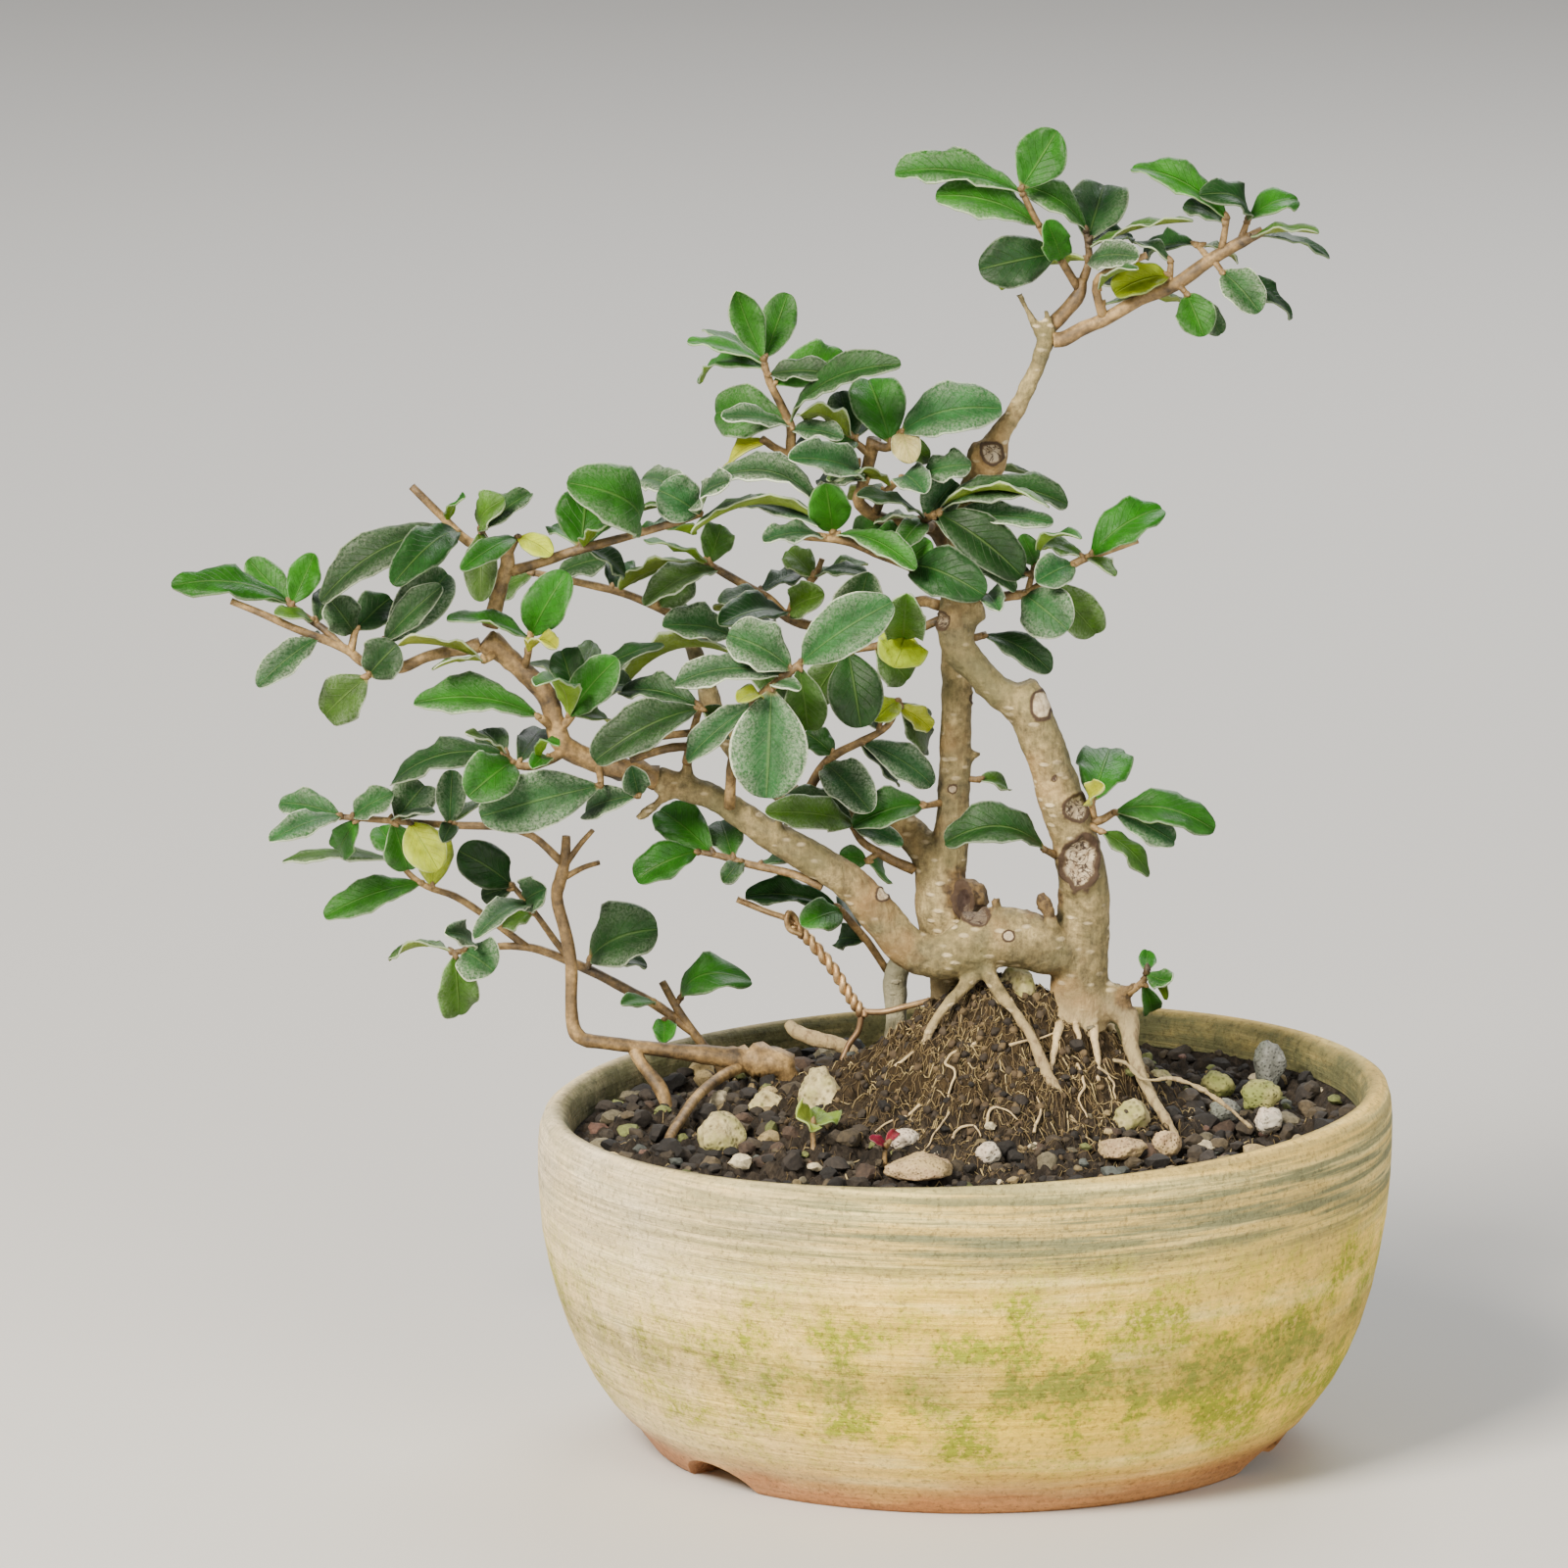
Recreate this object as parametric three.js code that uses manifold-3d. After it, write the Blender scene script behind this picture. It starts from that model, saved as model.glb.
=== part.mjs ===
// A wild privet bonsai, about 233 mm tall with its hand-thrown round stoneware pot.
// Millimetres, +Z up, X to the viewer's right, Y away from the viewer.
// The tree's routes and leaves are written as [x, y, seen height]: the height at which a point
// shows on the pot's middle plane to a viewer who looks down on it at VIEW_DOWN degrees.
import * as THREE from "three";
import { mergeVertices } from "three/addons/utils/BufferGeometryUtils.js";
import Module from "manifold-3d";

const wasm = await Module();
wasm.setup();

// Driving dimensions
const VIEW_DOWN = 11.5; // degrees
const GAP = 0.35; // between pieces that rest on or in each other
const POT_RADIUS = 75; // widest, just under the lip
const POT_HEIGHT = 62; // to the top of the lip, on the pot's axis
const POT_WALL = 5.7;
const LIP_RISE = 0.037; // the lip is higher on the right by this much per millimetre
const FOOT_RADIUS = 55;
const FOOT_WIDTH = 8;
const FOOT_RECESS = 4.5;
const NOTCH_WIDTH = 18;
const NOTCH_HEIGHT = 4.6;
const NOTCH_ANGLES = [-51, 69, 189]; // degrees from the front towards +X
const DRAIN_RADIUS = 8;
const FLOOR_TOP = 11;
const MESH_SIZE = 26;
const MESH_THICK = 0.9;
const SOIL_EDGE = 57; // soil level at the wall
const MOUND_RISE = 21; // the soil's rise under the trunks
const MOUND_AT = [6, 2];
const MOUND_SPREAD = { left: 22, right: 14, front: 17, back: 20 };
const LEAF_THICK = 0.72;
const STALK = 0.5; // half width of a leaf stalk

const LEAF_CLEAR = 2; // between the test points of two leaves
const WOOD_CLEAR = 1.1; // between a leaf's test points and the bark
const LEAF_WIDEST = 1.25; // above 1, a blade is widest beyond its middle
const LEAF_FULLNESS = 0.6; // below 1, a blade is fuller at its ends
const LEAF_BREADTH = 1.1; // a blade flattened out is this much wider than it shows
const SHORT_LEAF = 10; // blades under this length have no fold
const LONG_LEAF = 17; // blades from this length have a third ring
const TWO_RINGS = [0.24, 0.74]; // shares of the way from stalk to tip
const THREE_RINGS = [0.16, 0.46, 0.82];
const POT_FACETS = 36;
const MESH_HOLES = 3;
const SOIL_FACETS = 28;
const SOIL_RINGS = [0.17, 0.33, 0.5, 0.67, 0.84, 1]; // shares of the way to the wall
const NOTCH_FACETS = 14;
const LARGE_STONE = 4.7; // stones of this half width and over have finer faces
const WIRE_RADIUS = 0.62;
const WIRE_TURNS = 4;
const WIRE_STEPS = 24;
const SMALLEST_EDGE = 0.08;

const sight = Math.tan(THREE.MathUtils.degToRad(VIEW_DOWN));
const seen = (x, y, height) => new THREE.Vector3(x, y, height - sight * y);

// Wood that grew as one piece: each limb is its number of sides, then its route as
// [x, y, seen height, radius].
const woodLimbs = [
[8, [20, 2, 73, 4.4], [20, 2, 76, 5.3], [20.4, 2, 90, 5], [20.8, 1, 97, 4.6], [19.8, 1, 105, 4.3],
 [18, 0, 110, 3.9], [16.5, 0, 115, 4], [15, 0, 120, 3.8], [13.3, 0, 125, 3.7], [11.3, 0, 130, 3.8],
 [9.5, 0, 135.2, 3.1]],
[8, [11, 0, 129.5, 3], [8.5, 0, 132, 3], [5, 0, 134.3, 2.8], [1, 0, 138.5, 2.9], [-1.5, 0, 142, 3.1],
 [-1.8, 0, 146, 3.4], [-1.8, 1, 150, 2.8], [-1.7, 3, 155, 2.2], [-1.5, 4, 160, 2], [0.5, 3, 168, 2.1],
 [3.8, 1, 174.5, 3.3], [5.5, 0, 178.5, 2.2], [7, 0, 181, 1.7], [9.3, 0, 185, 1.6], [12, 0, 190.5, 1.5],
 [14, 0, 196.4, 1.7]],
[5, [13.5, 0, 195, 1.5], [14.5, 1.4, 198.2, 1.3]],
[6, [4, 1, 175, 2.6], [0.6, 0, 176.4, 2]],
[6, [-1, 0, 147, 2.4], [3, -1, 148.3, 1.9]],
[5, [12.8, 0, 196.6, 1], [11, -1, 200, 0.8], [9, -1, 204, 0.7]],
[5, [14.6, 0, 197, 1], [13.6, -1, 201.3, 0.7]],
[8, [-3, 12, 88, 4.2], [-4, 12, 95, 4.7], [-4, 12, 100, 4.4], [-2.5, 12, 105, 3.4],
   [-1.9, 12, 112, 2.9],
 [-1.7, 12, 135, 2.8], [-1.7, 12, 150, 2.6], [-2.2, 11.5, 156, 2.3]],
[6, [-3, 11, 92, 3.8], [0.6, 8, 96.5, 3.7], [1.6, 7, 99.5, 2.2]],
[6, [-5, 12, 99, 3.4], [-6.5, 13, 104.5, 3], [-10, 14, 109, 2.8], [-14, 15, 111.5, 2.6],
 [-20, 17, 112.6, 2.4], [-28, 19, 114, 2.3], [-36, 20, 119, 2.2], [-42, 21, 126, 2],
   [-45, 22, 133, 1.8],
 [-47, 23, 140, 1.6], [-49.5, 23, 146.5, 1.3]],
[8, [19, 1, 87, 4], [15, 0, 88, 5], [10, -1, 89.5, 5.2], [5, -1, 90, 5.4], [0, -1, 88, 4.7],
 [-5, -1, 86.5, 3.9], [-10, -1, 88, 3.7], [-14, -1, 92.5, 3.6], [-17, -1, 96.5, 3.4],
   [-20, -1, 99.5, 3.2],
 [-25, -1, 103, 3.1], [-30, -1, 106, 3], [-35, -1, 109, 2.7], [-40, -1, 112.3, 2.5],
   [-45, -1, 115.3, 2.4],
 [-50, -1, 117, 2.4], [-54, -1.4, 118.2, 2.3]],
[6, [-48.3, -1, 117.5, 1.3], [-48.6, -2, 121.5, 1]],
[5, [-32.5, -2, 108, 1.1], [-32.5, -4, 112.3, 0.8]],
[5, [-50.5, -1, 116, 1], [-54, -3, 113.6, 0.8], [-57.3, -4, 111, 0.9]],
[5, [5.5, -2, 94, 1.1], [5.2, -3, 97.3, 0.8]],
[5, [16.5, -2, 88.5, 1.3], [15, -4, 93, 1.1], [13, -4, 97.7, 0.9]],
[5, [0.5, 12, 121.5, 0.9], [2.6, 11, 123, 0.7]],
[6, [-4, 12, 90, 2.6], [-9, 17, 87.5, 2.3], [-12, 20, 83, 2.2], [-12, 20, 77, 2.1], [-12, 20, 70, 2.1],
 [-12, 20, 60, 1.6]],
[6, [20, 3, 76, 4.6], [18.5, 4, 68, 3.6], [16, 5, 58, 1.4]],
[6, [-1, 3, 88, 4.2], [-2.5, 10, 83, 3.8], [-3, 12, 62, 1.5]],
[6, [3, -3, 86, 1.6], [5, -5, 81.5, 1.4], [8, -8, 77.5, 1.3], [11.5, -12, 72, 1.2],
   [14.5, -15, 65, 1.2],
 [18.5, -19, 57, 1.1], [21.5, -22, 52.3, 0.9], [22, -23, 48, 0.7]],
[6, [3, -2, 84.5, 1.5], [-1, -4, 80.5, 1.2], [-4.5, -6, 76.5, 1.1], [-7, -8, 71.5, 0.8],
 [-8, -9, 66, 0.6]],
[6, [16.8, -1, 77, 1.5], [16.2, -4, 72, 1.1], [15.2, -6, 67, 0.8], [14.6, -7, 62, 0.6]],
[6, [19.5, -1, 76.5, 1.4], [19.2, -4, 72, 1], [19.5, -5, 65, 0.7]],
[6, [21.8, -1, 76.5, 1.5], [22.3, -4, 71, 1.1], [22.8, -6, 66, 0.8], [22.8, -7, 60, 0.6]],
[6, [24.5, 1, 78, 2.6], [28.4, 0, 76, 2.1], [29, -2, 71, 1.6], [30.3, -5, 66.5, 1.4],
 [32.5, -9, 61.5, 1.2], [35.5, -13, 56.5, 1], [37.4, -15, 52.5, 0.8], [38, -16, 47, 0.6]],
[6, [23.5, 2, 80, 2.4], [27.5, 0, 79.8, 1.6], [29.8, -1, 81.3, 0.9]],
[5, [22.5, -5, 68, 0.7], [28, -8, 67.6, 0.6], [31, -10, 64.6, 0.6], [36, -12, 65, 0.6],
 [42, -14, 62.5, 0.6], [50, -17, 56, 0.6]],
];

// Leafy stems: a name, the stem's limbs, and its leaves as [stalk x, stalk seen height, tip x,
// tip seen height, away, width, face, arch]. Away is how much further from the viewer the tip
// is than the stalk, face how far the upper side leans towards the viewer in degrees, and arch
// the rise of the blade's middle as a share of its length.
const leafyStems = [
["spray_apex",
 [[6, [14.6, 1.4, 198.3, 1.3], [17, 2, 200.8, 1.3], [19.5, 2, 204, 1.2], [20, 2.3, 206.8, 0.9]],
  [4, [19.3, 2, 205, 0.8], [16.5, 0, 209.5, 0.7], [14, -2, 213, 0.6], [11.5, -3, 217.5, 0.6],
   [9, -4, 222.5, 0.5]],
  [4, [20, 2.3, 206, 0.8], [21.2, 3, 210, 0.7], [20.6, 3, 215.5, 0.5]]],
 [[13, 216, -5.5, 221, -3, 8, 38, 0.14], [9.5, 221, -12.5, 225, 4, 7, 32, 0.13],
  [9, 222, 15.5, 232.5, 2, 8.5, 75, -0.08], [15.5, 211, 2, 208, -4, 8.5, 72, 0.1],
  [15.5, 210, 3, 206.8, 6, 4, 20, 0.05], [16.5, 210, 13.5, 216.5, -3, 5, 70, 0.1],
  [20.5, 215, 9, 223, -5, 6, 35, 0.17], [20, 213, 24, 223.5, 7, 9.5, 60, 0.1],
  [21, 212, 39, 216.5, -4, 5, 8, 0.06], [21, 213, 29, 214, 6, 4.5, 15, 0.05],
  [21, 210, 6, 205, -8, 7, -25, 0.1], [21, 209.5, 29.5, 210, -7, 5.5, 60, 0.1]]],
["spray_apex_right",
 [[6, [15, -0.4, 195.8, 1.4], [16.8, -0.4, 196, 1.4], [20, 0, 197.8, 1.3], [24, 0, 199.5, 1.2],
   [30, 0, 203, 1.2], [36, 0, 205.5, 1.2], [42, 0, 209.8, 1.2], [46.5, 0, 212.5, 1.1],
   [51.2, 0, 215, 0.9]],
  [4, [23.7, 0, 199.6, 0.9], [22.4, -2, 206, 0.7], [26, -4, 208.5, 0.7], [31, -5, 210.6, 0.55]],
  [4, [35, 0, 205.3, 0.7], [35.4, 2, 210, 0.5]], [4, [44, 0, 211.2, 0.7], [45, -1, 217.5, 0.5]],
  [4, [47.3, 0, 213, 0.7], [48.6, 2, 217, 0.5]], [4, [42.6, 0, 210, 0.6], [44.5, -2, 207.2, 0.5]],
  [4, [36.5, 0, 205.8, 0.6], [38.2, -2, 203.6, 0.5]], [4, [42, 0, 210, 0.6], [40, 3, 212.6, 0.5]]],
 [[23, 205.5, 34, 204.5, 5, 5.5, 20, 0.08], [35, 207, 25.5, 203.8, -6, 6.5, 42, 0.14],
  [35.4, 209.5, 29, 213, 5, 4, 10, 0.1], [24.5, 202, 39, 203, 7, 5.5, -20, 0.06],
  [22.5, 204.5, 29, 207.5, -2, 3, 40, 0.06],
  [45, 217, 28.5, 226, 4, 6.5, 32, 0.16], [48.6, 216.5, 40, 221, -4, 6, 40, 0.28],
  [48.6, 217, 57.5, 220.5, 5, 5.5, 30, 0.16], [44.8, 216, 37.5, 219.5, -5, 4, 25, 0.12],
  [48.4, 214.2, 60.5, 214.2, -5, 4.5, 12, 0.06], [47.8, 213.6, 63, 210.5, 6, 4.5, 5, 0.1],
  [40, 212.6, 31, 211, -2, 5, 45, 0.08], [40.2, 212.5, 47, 209.8, 6, 4.5, 10, 0.1],
  [44, 207.6, 50.5, 200.5, -5, 6.5, 60, 0.14], [44.2, 207.4, 56.5, 200, 7, 5.5, 30, 0.1],
  [38, 203.8, 41, 196.3, -5, 6.5, 78, 0.1], [38.2, 203.6, 44, 197, 5, 4, 60, 0.08]]],
["spray_left_shoot",
 [[6, [-18.4, 3, 174.3, 0.9], [-24, 2, 174.5, 0.9], [-30, 0, 175.5, 1], [-30.5, -1, 180.5, 0.85],
   [-32, -1, 184, 0.75], [-34.2, -2, 188.5, 0.7], [-35.3, -2, 192.5, 0.6]],
  [4, [-30, 0, 175.2, 0.8], [-33.5, -1, 177, 0.7], [-35.5, -2, 178.5, 0.6]]],
 [[-35.3, 192.3, -40, 204.3, -3, 5.5, 60, -0.1], [-35.2, 192.3, -31, 204.3, 3, 6, 72, -0.08],
  [-35, 191.5, -48.5, 195.5, -5, 4.5, 12, 0.06], [-35.2, 192, -45.5, 198, 6, 5, 15, 0.05],
  [-34.8, 190.5, -46, 189, 5, 6, 40, 0.14], [-34.5, 189.5, -23, 189.5, -4, 5, 42, 0.1],
  [-33.5, 188, -21, 193, 9, 7.5, 62, 0.1], [-30.5, 181, -11.5, 191, -6, 6.5, 38, 0.15],
  [-30.6, 181.5, -43.5, 183, 7, 9, 66, 0.22], [-30.5, 180.5, -42.5, 182, -6, 4.5, 35, 0.06],
  [-30.4, 179.8, -21.5, 178.3, -6, 4.5, 40, 0.1], [-34.5, 178, -41.5, 173.5, 5, 5, 35, 0.12],
  [-25, 174.5, -29.5, 178, 9, 5, 70, 0.1]]],
["branch_crown",
 [[6, [-2.3, 11.3, 157, 2], [-3, 11, 159.5, 2], [-6, 9, 163, 1.4], [-13, 7, 164, 1.2],
   [-18.5, 5, 167, 1.1],
   [-18, 4, 170.5, 1], [-17, 3, 174, 1.1], [-16, 2, 178.5, 1.3]],
  [5, [-16, 2, 177.5, 1], [-13.5, 0, 177, 0.8], [-11, -2, 179.8, 0.6]],
  [4, [-16.5, 2.5, 175.5, 0.8], [-20, 2, 178.5, 0.6]], [4, [-17.6, 3.6, 172, 0.8],
   [-17.5, -2, 171, 0.6]],
  [4, [-15.8, 6, 165.4, 0.9], [-14, 2, 169, 0.7], [-11, 0, 171.5, 0.6], [-8, -2, 171.8, 0.5]],
  [5, [-6, 9, 163, 1], [-7.5, 0, 163.8, 0.8], [-5, -4, 165.3, 0.6]]],
 [[-13.2, 177.5, -17, 189, 7, 9, 60, 0.14], [-11, 179, 6, 183.5, -4, 9.5, 52, 0.22],
  [-11.2, 178.6, 0.5, 182.3, 6, 5, -15, 0.1], [-11.2, 179.5, -9.5, 174, -8, 5, 85, 0.2],
  [-13, 177.2, -6.5, 175, 3, 4, 60, 0.12],
  [-19.8, 178.2, -22, 187, 6, 6, 45, 0.08], [-19.6, 178.4, -15, 184.5, 9, 5, 55, 0.08],
  [-20, 178.5, -29, 182.5, 6, 6.5, -18, 0.14], [-19.8, 177.5, -23.5, 176, -8, 4, 50, 0.08],
  [-17.3, 171.2, -25.5, 171.6, 10, 4.6, 60, 0.06], [-17.5, 171, -31, 174.5, -6, 6.5, 55, 0.1],
  [-17.4, 171.4, -23.8, 170.8, -10, 5, 5, 0.1],
  [-8.4, 172, 0.8, 173.6, -3, 5.5, 42, 0.1], [-11, 171.5, -7.3, 168.5, -7, 6, 62, 0.12],
  [-8.3, 171.8, 13, 172, 6, 4.5, 12, 0.05], [-5, 165.3, 17.5, 166.5, 2, 7, 26, 0.2],
  [-6.2, 164.6, 14, 166, -5, 5, -14, 0.16], [-7.2, 164, -2, 171, 7, 6.5, 65, 0.1],
  [-5, 165, 9.5, 154, -5, 8.5, 58, 0.16], [-6, 164.8, 8.5, 151.5, -9, 5, 50, 0.1],
  [-6.5, 164.2, 15, 163.5, 9, 5, 35, 0.05], [-7.5, 164, -16, 163.5, 3, 5, -10, 0.1],
  [-7.4, 163.6, -12, 158.5, -2, 4.5, 60, 0.1], [-14, 169, -20, 168, 3, 4, -12, 0.1],
  [-13.2, 170.2, -23.2, 170.6, -6, 4.6, -14, 0.12], [-7.2, 164.4, -19, 168, -5, 4.6, 30, 0.08],
  [-11.6, 163.6, -19.4, 161.6, -5, 4.6, 58, 0.1]]],
["spray_front_shoot",
 [[6, [-2.4, 0.4, 151.4, 1], [-6, -3, 153.5, 0.8], [-10, -6, 155.8, 0.8], [-16, -7, 158.3, 0.8],
   [-21, -8, 160.3, 0.8], [-28.5, -8, 161.3, 0.9]],
  [4, [-22.5, -8, 160.6, 0.8], [-23.7, -8.5, 163, 0.6]]],
 [[-23.5, 162, -44, 171, 5, 6.5, 18, 0.28], [-23.4, 162, -24.5, 170.3, -4, 7, 80, 0.06],
  [-24, 162, -47.8, 161.5, 3, 6.5, -16, 0.2], [-24.5, 161.3, -35.3, 160, -5, 5, 28, 0.1],
  [-22.5, 161.3, -9, 155, -8, 5, 25, 0.14], [-17.5, 158.8, -9.8, 161.2, -2, 4.5, 45, 0.1],
  [-10, 155.8, 3, 150.5, -5, 8.5, 62, 0.2], [-11, 156, -6, 160, 4, 4.5, 60, 0.08],
  [-23.2, 161.6, -40, 167.2, 9, 4.6, 30, 0.08], [-13, 157, -17.5, 162, 5, 4.8, 55, 0.1]]],
["spray_right",
 [[6, [1.2, 0.1, 150, 0.9], [8, -3, 150.7, 0.9], [11, -3, 151.3, 0.9], [15, -3, 154, 0.8],
   [20, -3, 157, 0.75], [25, -3, 158.8, 0.65], [29.8, -3, 160.5, 0.6]],
  [4, [10.6, -3, 151.2, 0.6], [12, -2, 157, 0.5]]],
 [[21.5, 157.5, 34, 166, 3, 7.5, 46, 0.2], [20.5, 157.2, 11.5, 159.5, 5, 4.5, 15, 0.1],
  [18.5, 156, 12, 153, -4, 6, 60, 0.1], [21, 157.3, 25.5, 154, -5, 3.5, 5, 0.08],
  [21.5, 157.5, 25, 156.5, 4, 3, 30, 0.06], [10, 151, 17.5, 144.5, -5, 9, 72, 0.08],
  [14, 153.2, 22.5, 144, 5, 7, 68, 0.1], [11.8, 156, 9.5, 161.5, 2, 3.5, 60, 0.1],
  [11.5, 154.5, 6.5, 153.5, 5, 4.5, 45, 0.1], [3.5, 150.2, 5.5, 147.7, -4, 4.5, 72, 0.08],
  [12, 157, 19.5, 160.5, 2, 4, 20, 0.14]]],
["spray_hanging",
 [[4, [1.2, 1.4, 143.2, 0.7], [3.6, 2, 143.9, 0.6]]],
 [[3, 143.8, 14.7, 137.2, -3, 5.5, 38, 0.16]]],
["spray_back_left",
 [[6, [-4.6, 2.4, 149, 1], [-8, 6, 149.8, 1], [-18, 11, 146.5, 0.9], [-26, 14, 145.5, 0.9],
   [-31, 15, 147, 0.9],
   [-34.5, 15, 150.5, 0.8], [-38, 16, 152.5, 0.8], [-45, 17, 156.6, 0.7]],
  [4, [-31, 15, 147, 0.7], [-29.5, 15, 151, 0.7], [-26.5, 15, 154, 0.6], [-25, 15, 157.5, 0.5]]],
 [[-44.5, 156.5, -60.5, 152, 4, 5.5, -16, 0.12], [-43, 155.5, -56, 149, -5, 7, 22, 0.12],
  [-45, 156.6, -56, 160.5, -3, 4.5, -8, 0.06], [-34.5, 150.8, -43, 149.5, -8, 5, 35, 0.1],
  [-36, 151.5, -27.5, 155, 9, 4.5, 20, 0.08], [-30.5, 148.2, -24.6, 151, -4, 6, 62, 0.1],
  [-32, 147.5, -44, 148.5, 5, 4.5, -12, 0.08], [-26.5, 154, -31, 159, 4, 5, 45, 0.06],
  [-27, 153.5, -17, 156.5, 5, 4, -10, 0.08], [-26, 154, -17.5, 154.5, -6, 4.5, 20, 0.1],
  [-19, 146.3, -17, 155, -7, 8.5, 65, 0.1], [-45, 156.3, -42.5, 163.5, 5, 5.5, 70, 0.08],
  [-31.5, 147.2, -43, 145.4, -5, 6.4, 50, 0.1]]],
["spray_back_low",
 [[6, [-46.6, 21.3, 143.2, 0.9], [-44, 19, 145, 0.8], [-40.5, 16, 143.5, 0.7],
   [-39.5, 13, 139.5, 0.6]]],
 [[-41, 144, -53, 145.5, -7, 7, 52, 0.12], [-39.6, 140, -59.5, 135, 5, 8, -20, 0.2],
  [-39.5, 139.8, -30.5, 133, 5, 6.5, 62, 0.1], [-40, 142, -34, 146.5, 2, 5, 30, 0.1]]],
["spray_front_mid",
 [[6, [-41.2, -4, 113.2, 1], [-40.5, -8, 122, 0.9], [-38, -11, 130, 0.9], [-33.5, -13, 134.8, 0.85],
   [-28.8, -14, 138.6, 0.7]]],
 [[-28.8, 138.5, -13, 149.3, -3, 9, 64, 0.16], [-33.8, 134.4, -34.8, 114.8, -4, 12.5, 84, 0.07],
  [-36.8, 132, -48.5, 121.5, -5, 5.5, 50, 0.1], [-31.5, 136.3, -50.5, 134.8, 2, 6.5, 38, 0.16],
  [-36, 133, -39.7, 131.7, -6, 4, 40, 0.14], [-34, 134.3, -29, 133.8, -7, 3, 35, 0.1],
  [-30.5, 137.5, -41.5, 143.5, 6, 9, 45, 0.14], [-31, 137, -37, 141.5, -4, 4.5, 60, 0.1],
  [-29, 138.2, -27.5, 127, 6, 7, 70, 0.1]]],
["spray_middle",
 [[6, [-27.5, 17, 116, 1], [-24.5, 12, 121, 0.8], [-22, 10, 123, 0.8], [-18, 8, 125, 0.7],
   [-13.5, 7, 127.8, 0.6], [-11.5, 7, 132.5, 0.5]]],
 [[-24.5, 121, -16.5, 112.3, -12, 7.5, 62, 0.1], [-18.5, 125, -5.8, 117, 0, 6, 48, 0.14],
  [-18.5, 124.6, -12, 117.5, 5, 6.5, 40, 0.08], [-11.5, 132, -16, 128.5, -5, 4.5, 60, 0.1],
  [-12, 131, -6.2, 127, -4, 4, 45, 0.1], [-12, 132, -6.5, 124, 4, 6.5, 60, 0.08],
  [-15, 127, -17.5, 131, 3, 4.5, 50, 0.08], [-23, 122.5, -28, 126.5, 3, 5, 45, 0.08]]],
["spray_middle_high",
 [[4, [-4.6, 1.6, 146.5, 0.8], [-10, 4, 144, 0.7], [-15, 5, 142, 0.7], [-21, 4, 141, 0.6]]],
 [[-10.5, 144, -12.7, 138, -7, 8.5, 84, 0.08], [-20.5, 141, -18.3, 127.3, -6, 9, 68, 0.08],
  [-16, 142, -10.3, 135.8, 4, 7, 60, 0.1], [-11, 143.5, -10.5, 151, -8, 7, 78, 0.1],
  [-20.8, 141, -26.5, 132, 5, 6.5, 62, 0.1]]],
["spray_below",
 [[4, [-4, 11, 114, 0.7], [-8, 6, 113.2, 0.5]]],
 [[-7, 113.5, -19.7, 109.7, -5, 7, 48, 0.16]]],
["spray_low_dark",
 [[6, [-9, 11.6, 102, 1], [-12.5, 10.5, 103.5, 0.9], [-15, 10, 105, 0.8], [-18, 9, 107, 0.7],
   [-19.8, 8, 110, 0.6]],
  [4, [-15, 10, 105, 0.6], [-17.5, 8, 103.5, 0.5]]],
 [[-19.6, 109.5, -31, 115.5, 8, 6.5, 38, 0.1], [-19.5, 109.3, -32, 109.5, -3, 3.5, 15, 0.1],
  [-19.7, 109.5, -11, 106.3, -5, 4, 40, 0.08], [-17.4, 103.6, -22, 104.5, -4, 4, 62, 0.1],
  [-17.3, 103.6, -14, 100.3, 4, 4.5, 60, 0.08], [-19.8, 109.8, -35, 112.3, -9, 6, 62, 0.12]]],
["spray_under",
 [[4, [-25, -0.4, 99, 0.8], [-30, 1, 101.2, 0.75], [-38, 2, 103, 0.7], [-43, 2, 104.5, 0.6],
   [-46.8, 2, 105.2, 0.5]]],
 [[-46.6, 105.2, -57.5, 100.2, -3, 6.5, 50, 0.14], [-44, 104.8, -53.5, 112.5, 5, 7.5, 60, 0.12],
  [-40.5, 103.8, -42.8, 110.6, 7, 6, 70, 0.08], [-39, 103.3, -42.3, 99.7, -4, 3.5, 45, 0.08],
  [-36, 102.6, -27.5, 103.5, -4.5, 4, 10, 0.06]]],
["spray_grey_root",
 [[4, [-13.6, 20, 83.8, 0.7], [-17, 19, 89, 0.7], [-19.5, 18, 92, 0.7], [-22, 17, 95, 0.6]]],
 [[-22, 95, -38.5, 97, 3, 5.5, 30, 0.1], [-21.5, 94.3, -28.7, 92, -5, 6, 60, 0.1],
  [-17.2, 89.3, -22, 89.3, -4, 4.5, 62, 0.1], [-18.5, 90.8, -20.5, 97, 5, 4.5, 60, 0.08]]],
["spray_c_front",
 [[4, [-48.6, -2.6, 121.2, 0.9], [-47.8, -6, 125.5, 0.7], [-46.3, -8, 131, 0.6]],
  [4, [-48.2, -4.6, 124, 0.8], [-52, -6, 123.6, 0.8], [-58.5, -6, 121.6, 0.7]],
  [4, [-47.6, -6.4, 126.4, 0.7], [-52, -4, 125.9, 0.7], [-57, -3, 125.2, 0.6]]],
 [[-46.3, 130.6, -64.5, 121.3, -5, 8, 52, 0.16], [-46.4, 131, -60, 133.5, 4, 6, 40, 0.14],
  [-46.3, 130.8, -41.5, 126, 5, 5, 45, 0.1]]],
["branch_left",
 [[8, [-54, -1.4, 118.2, 2.3], [-60, -2, 120, 2.1], [-65, -2, 121.5, 2], [-70, -3, 124, 1.9],
   [-71.5, -3, 128, 1.8], [-73, -3, 133, 1.8], [-76.5, -3, 136.8, 1.8], [-80, -3, 140, 1.8],
   [-83.6, -3, 143, 2.3]],
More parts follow.
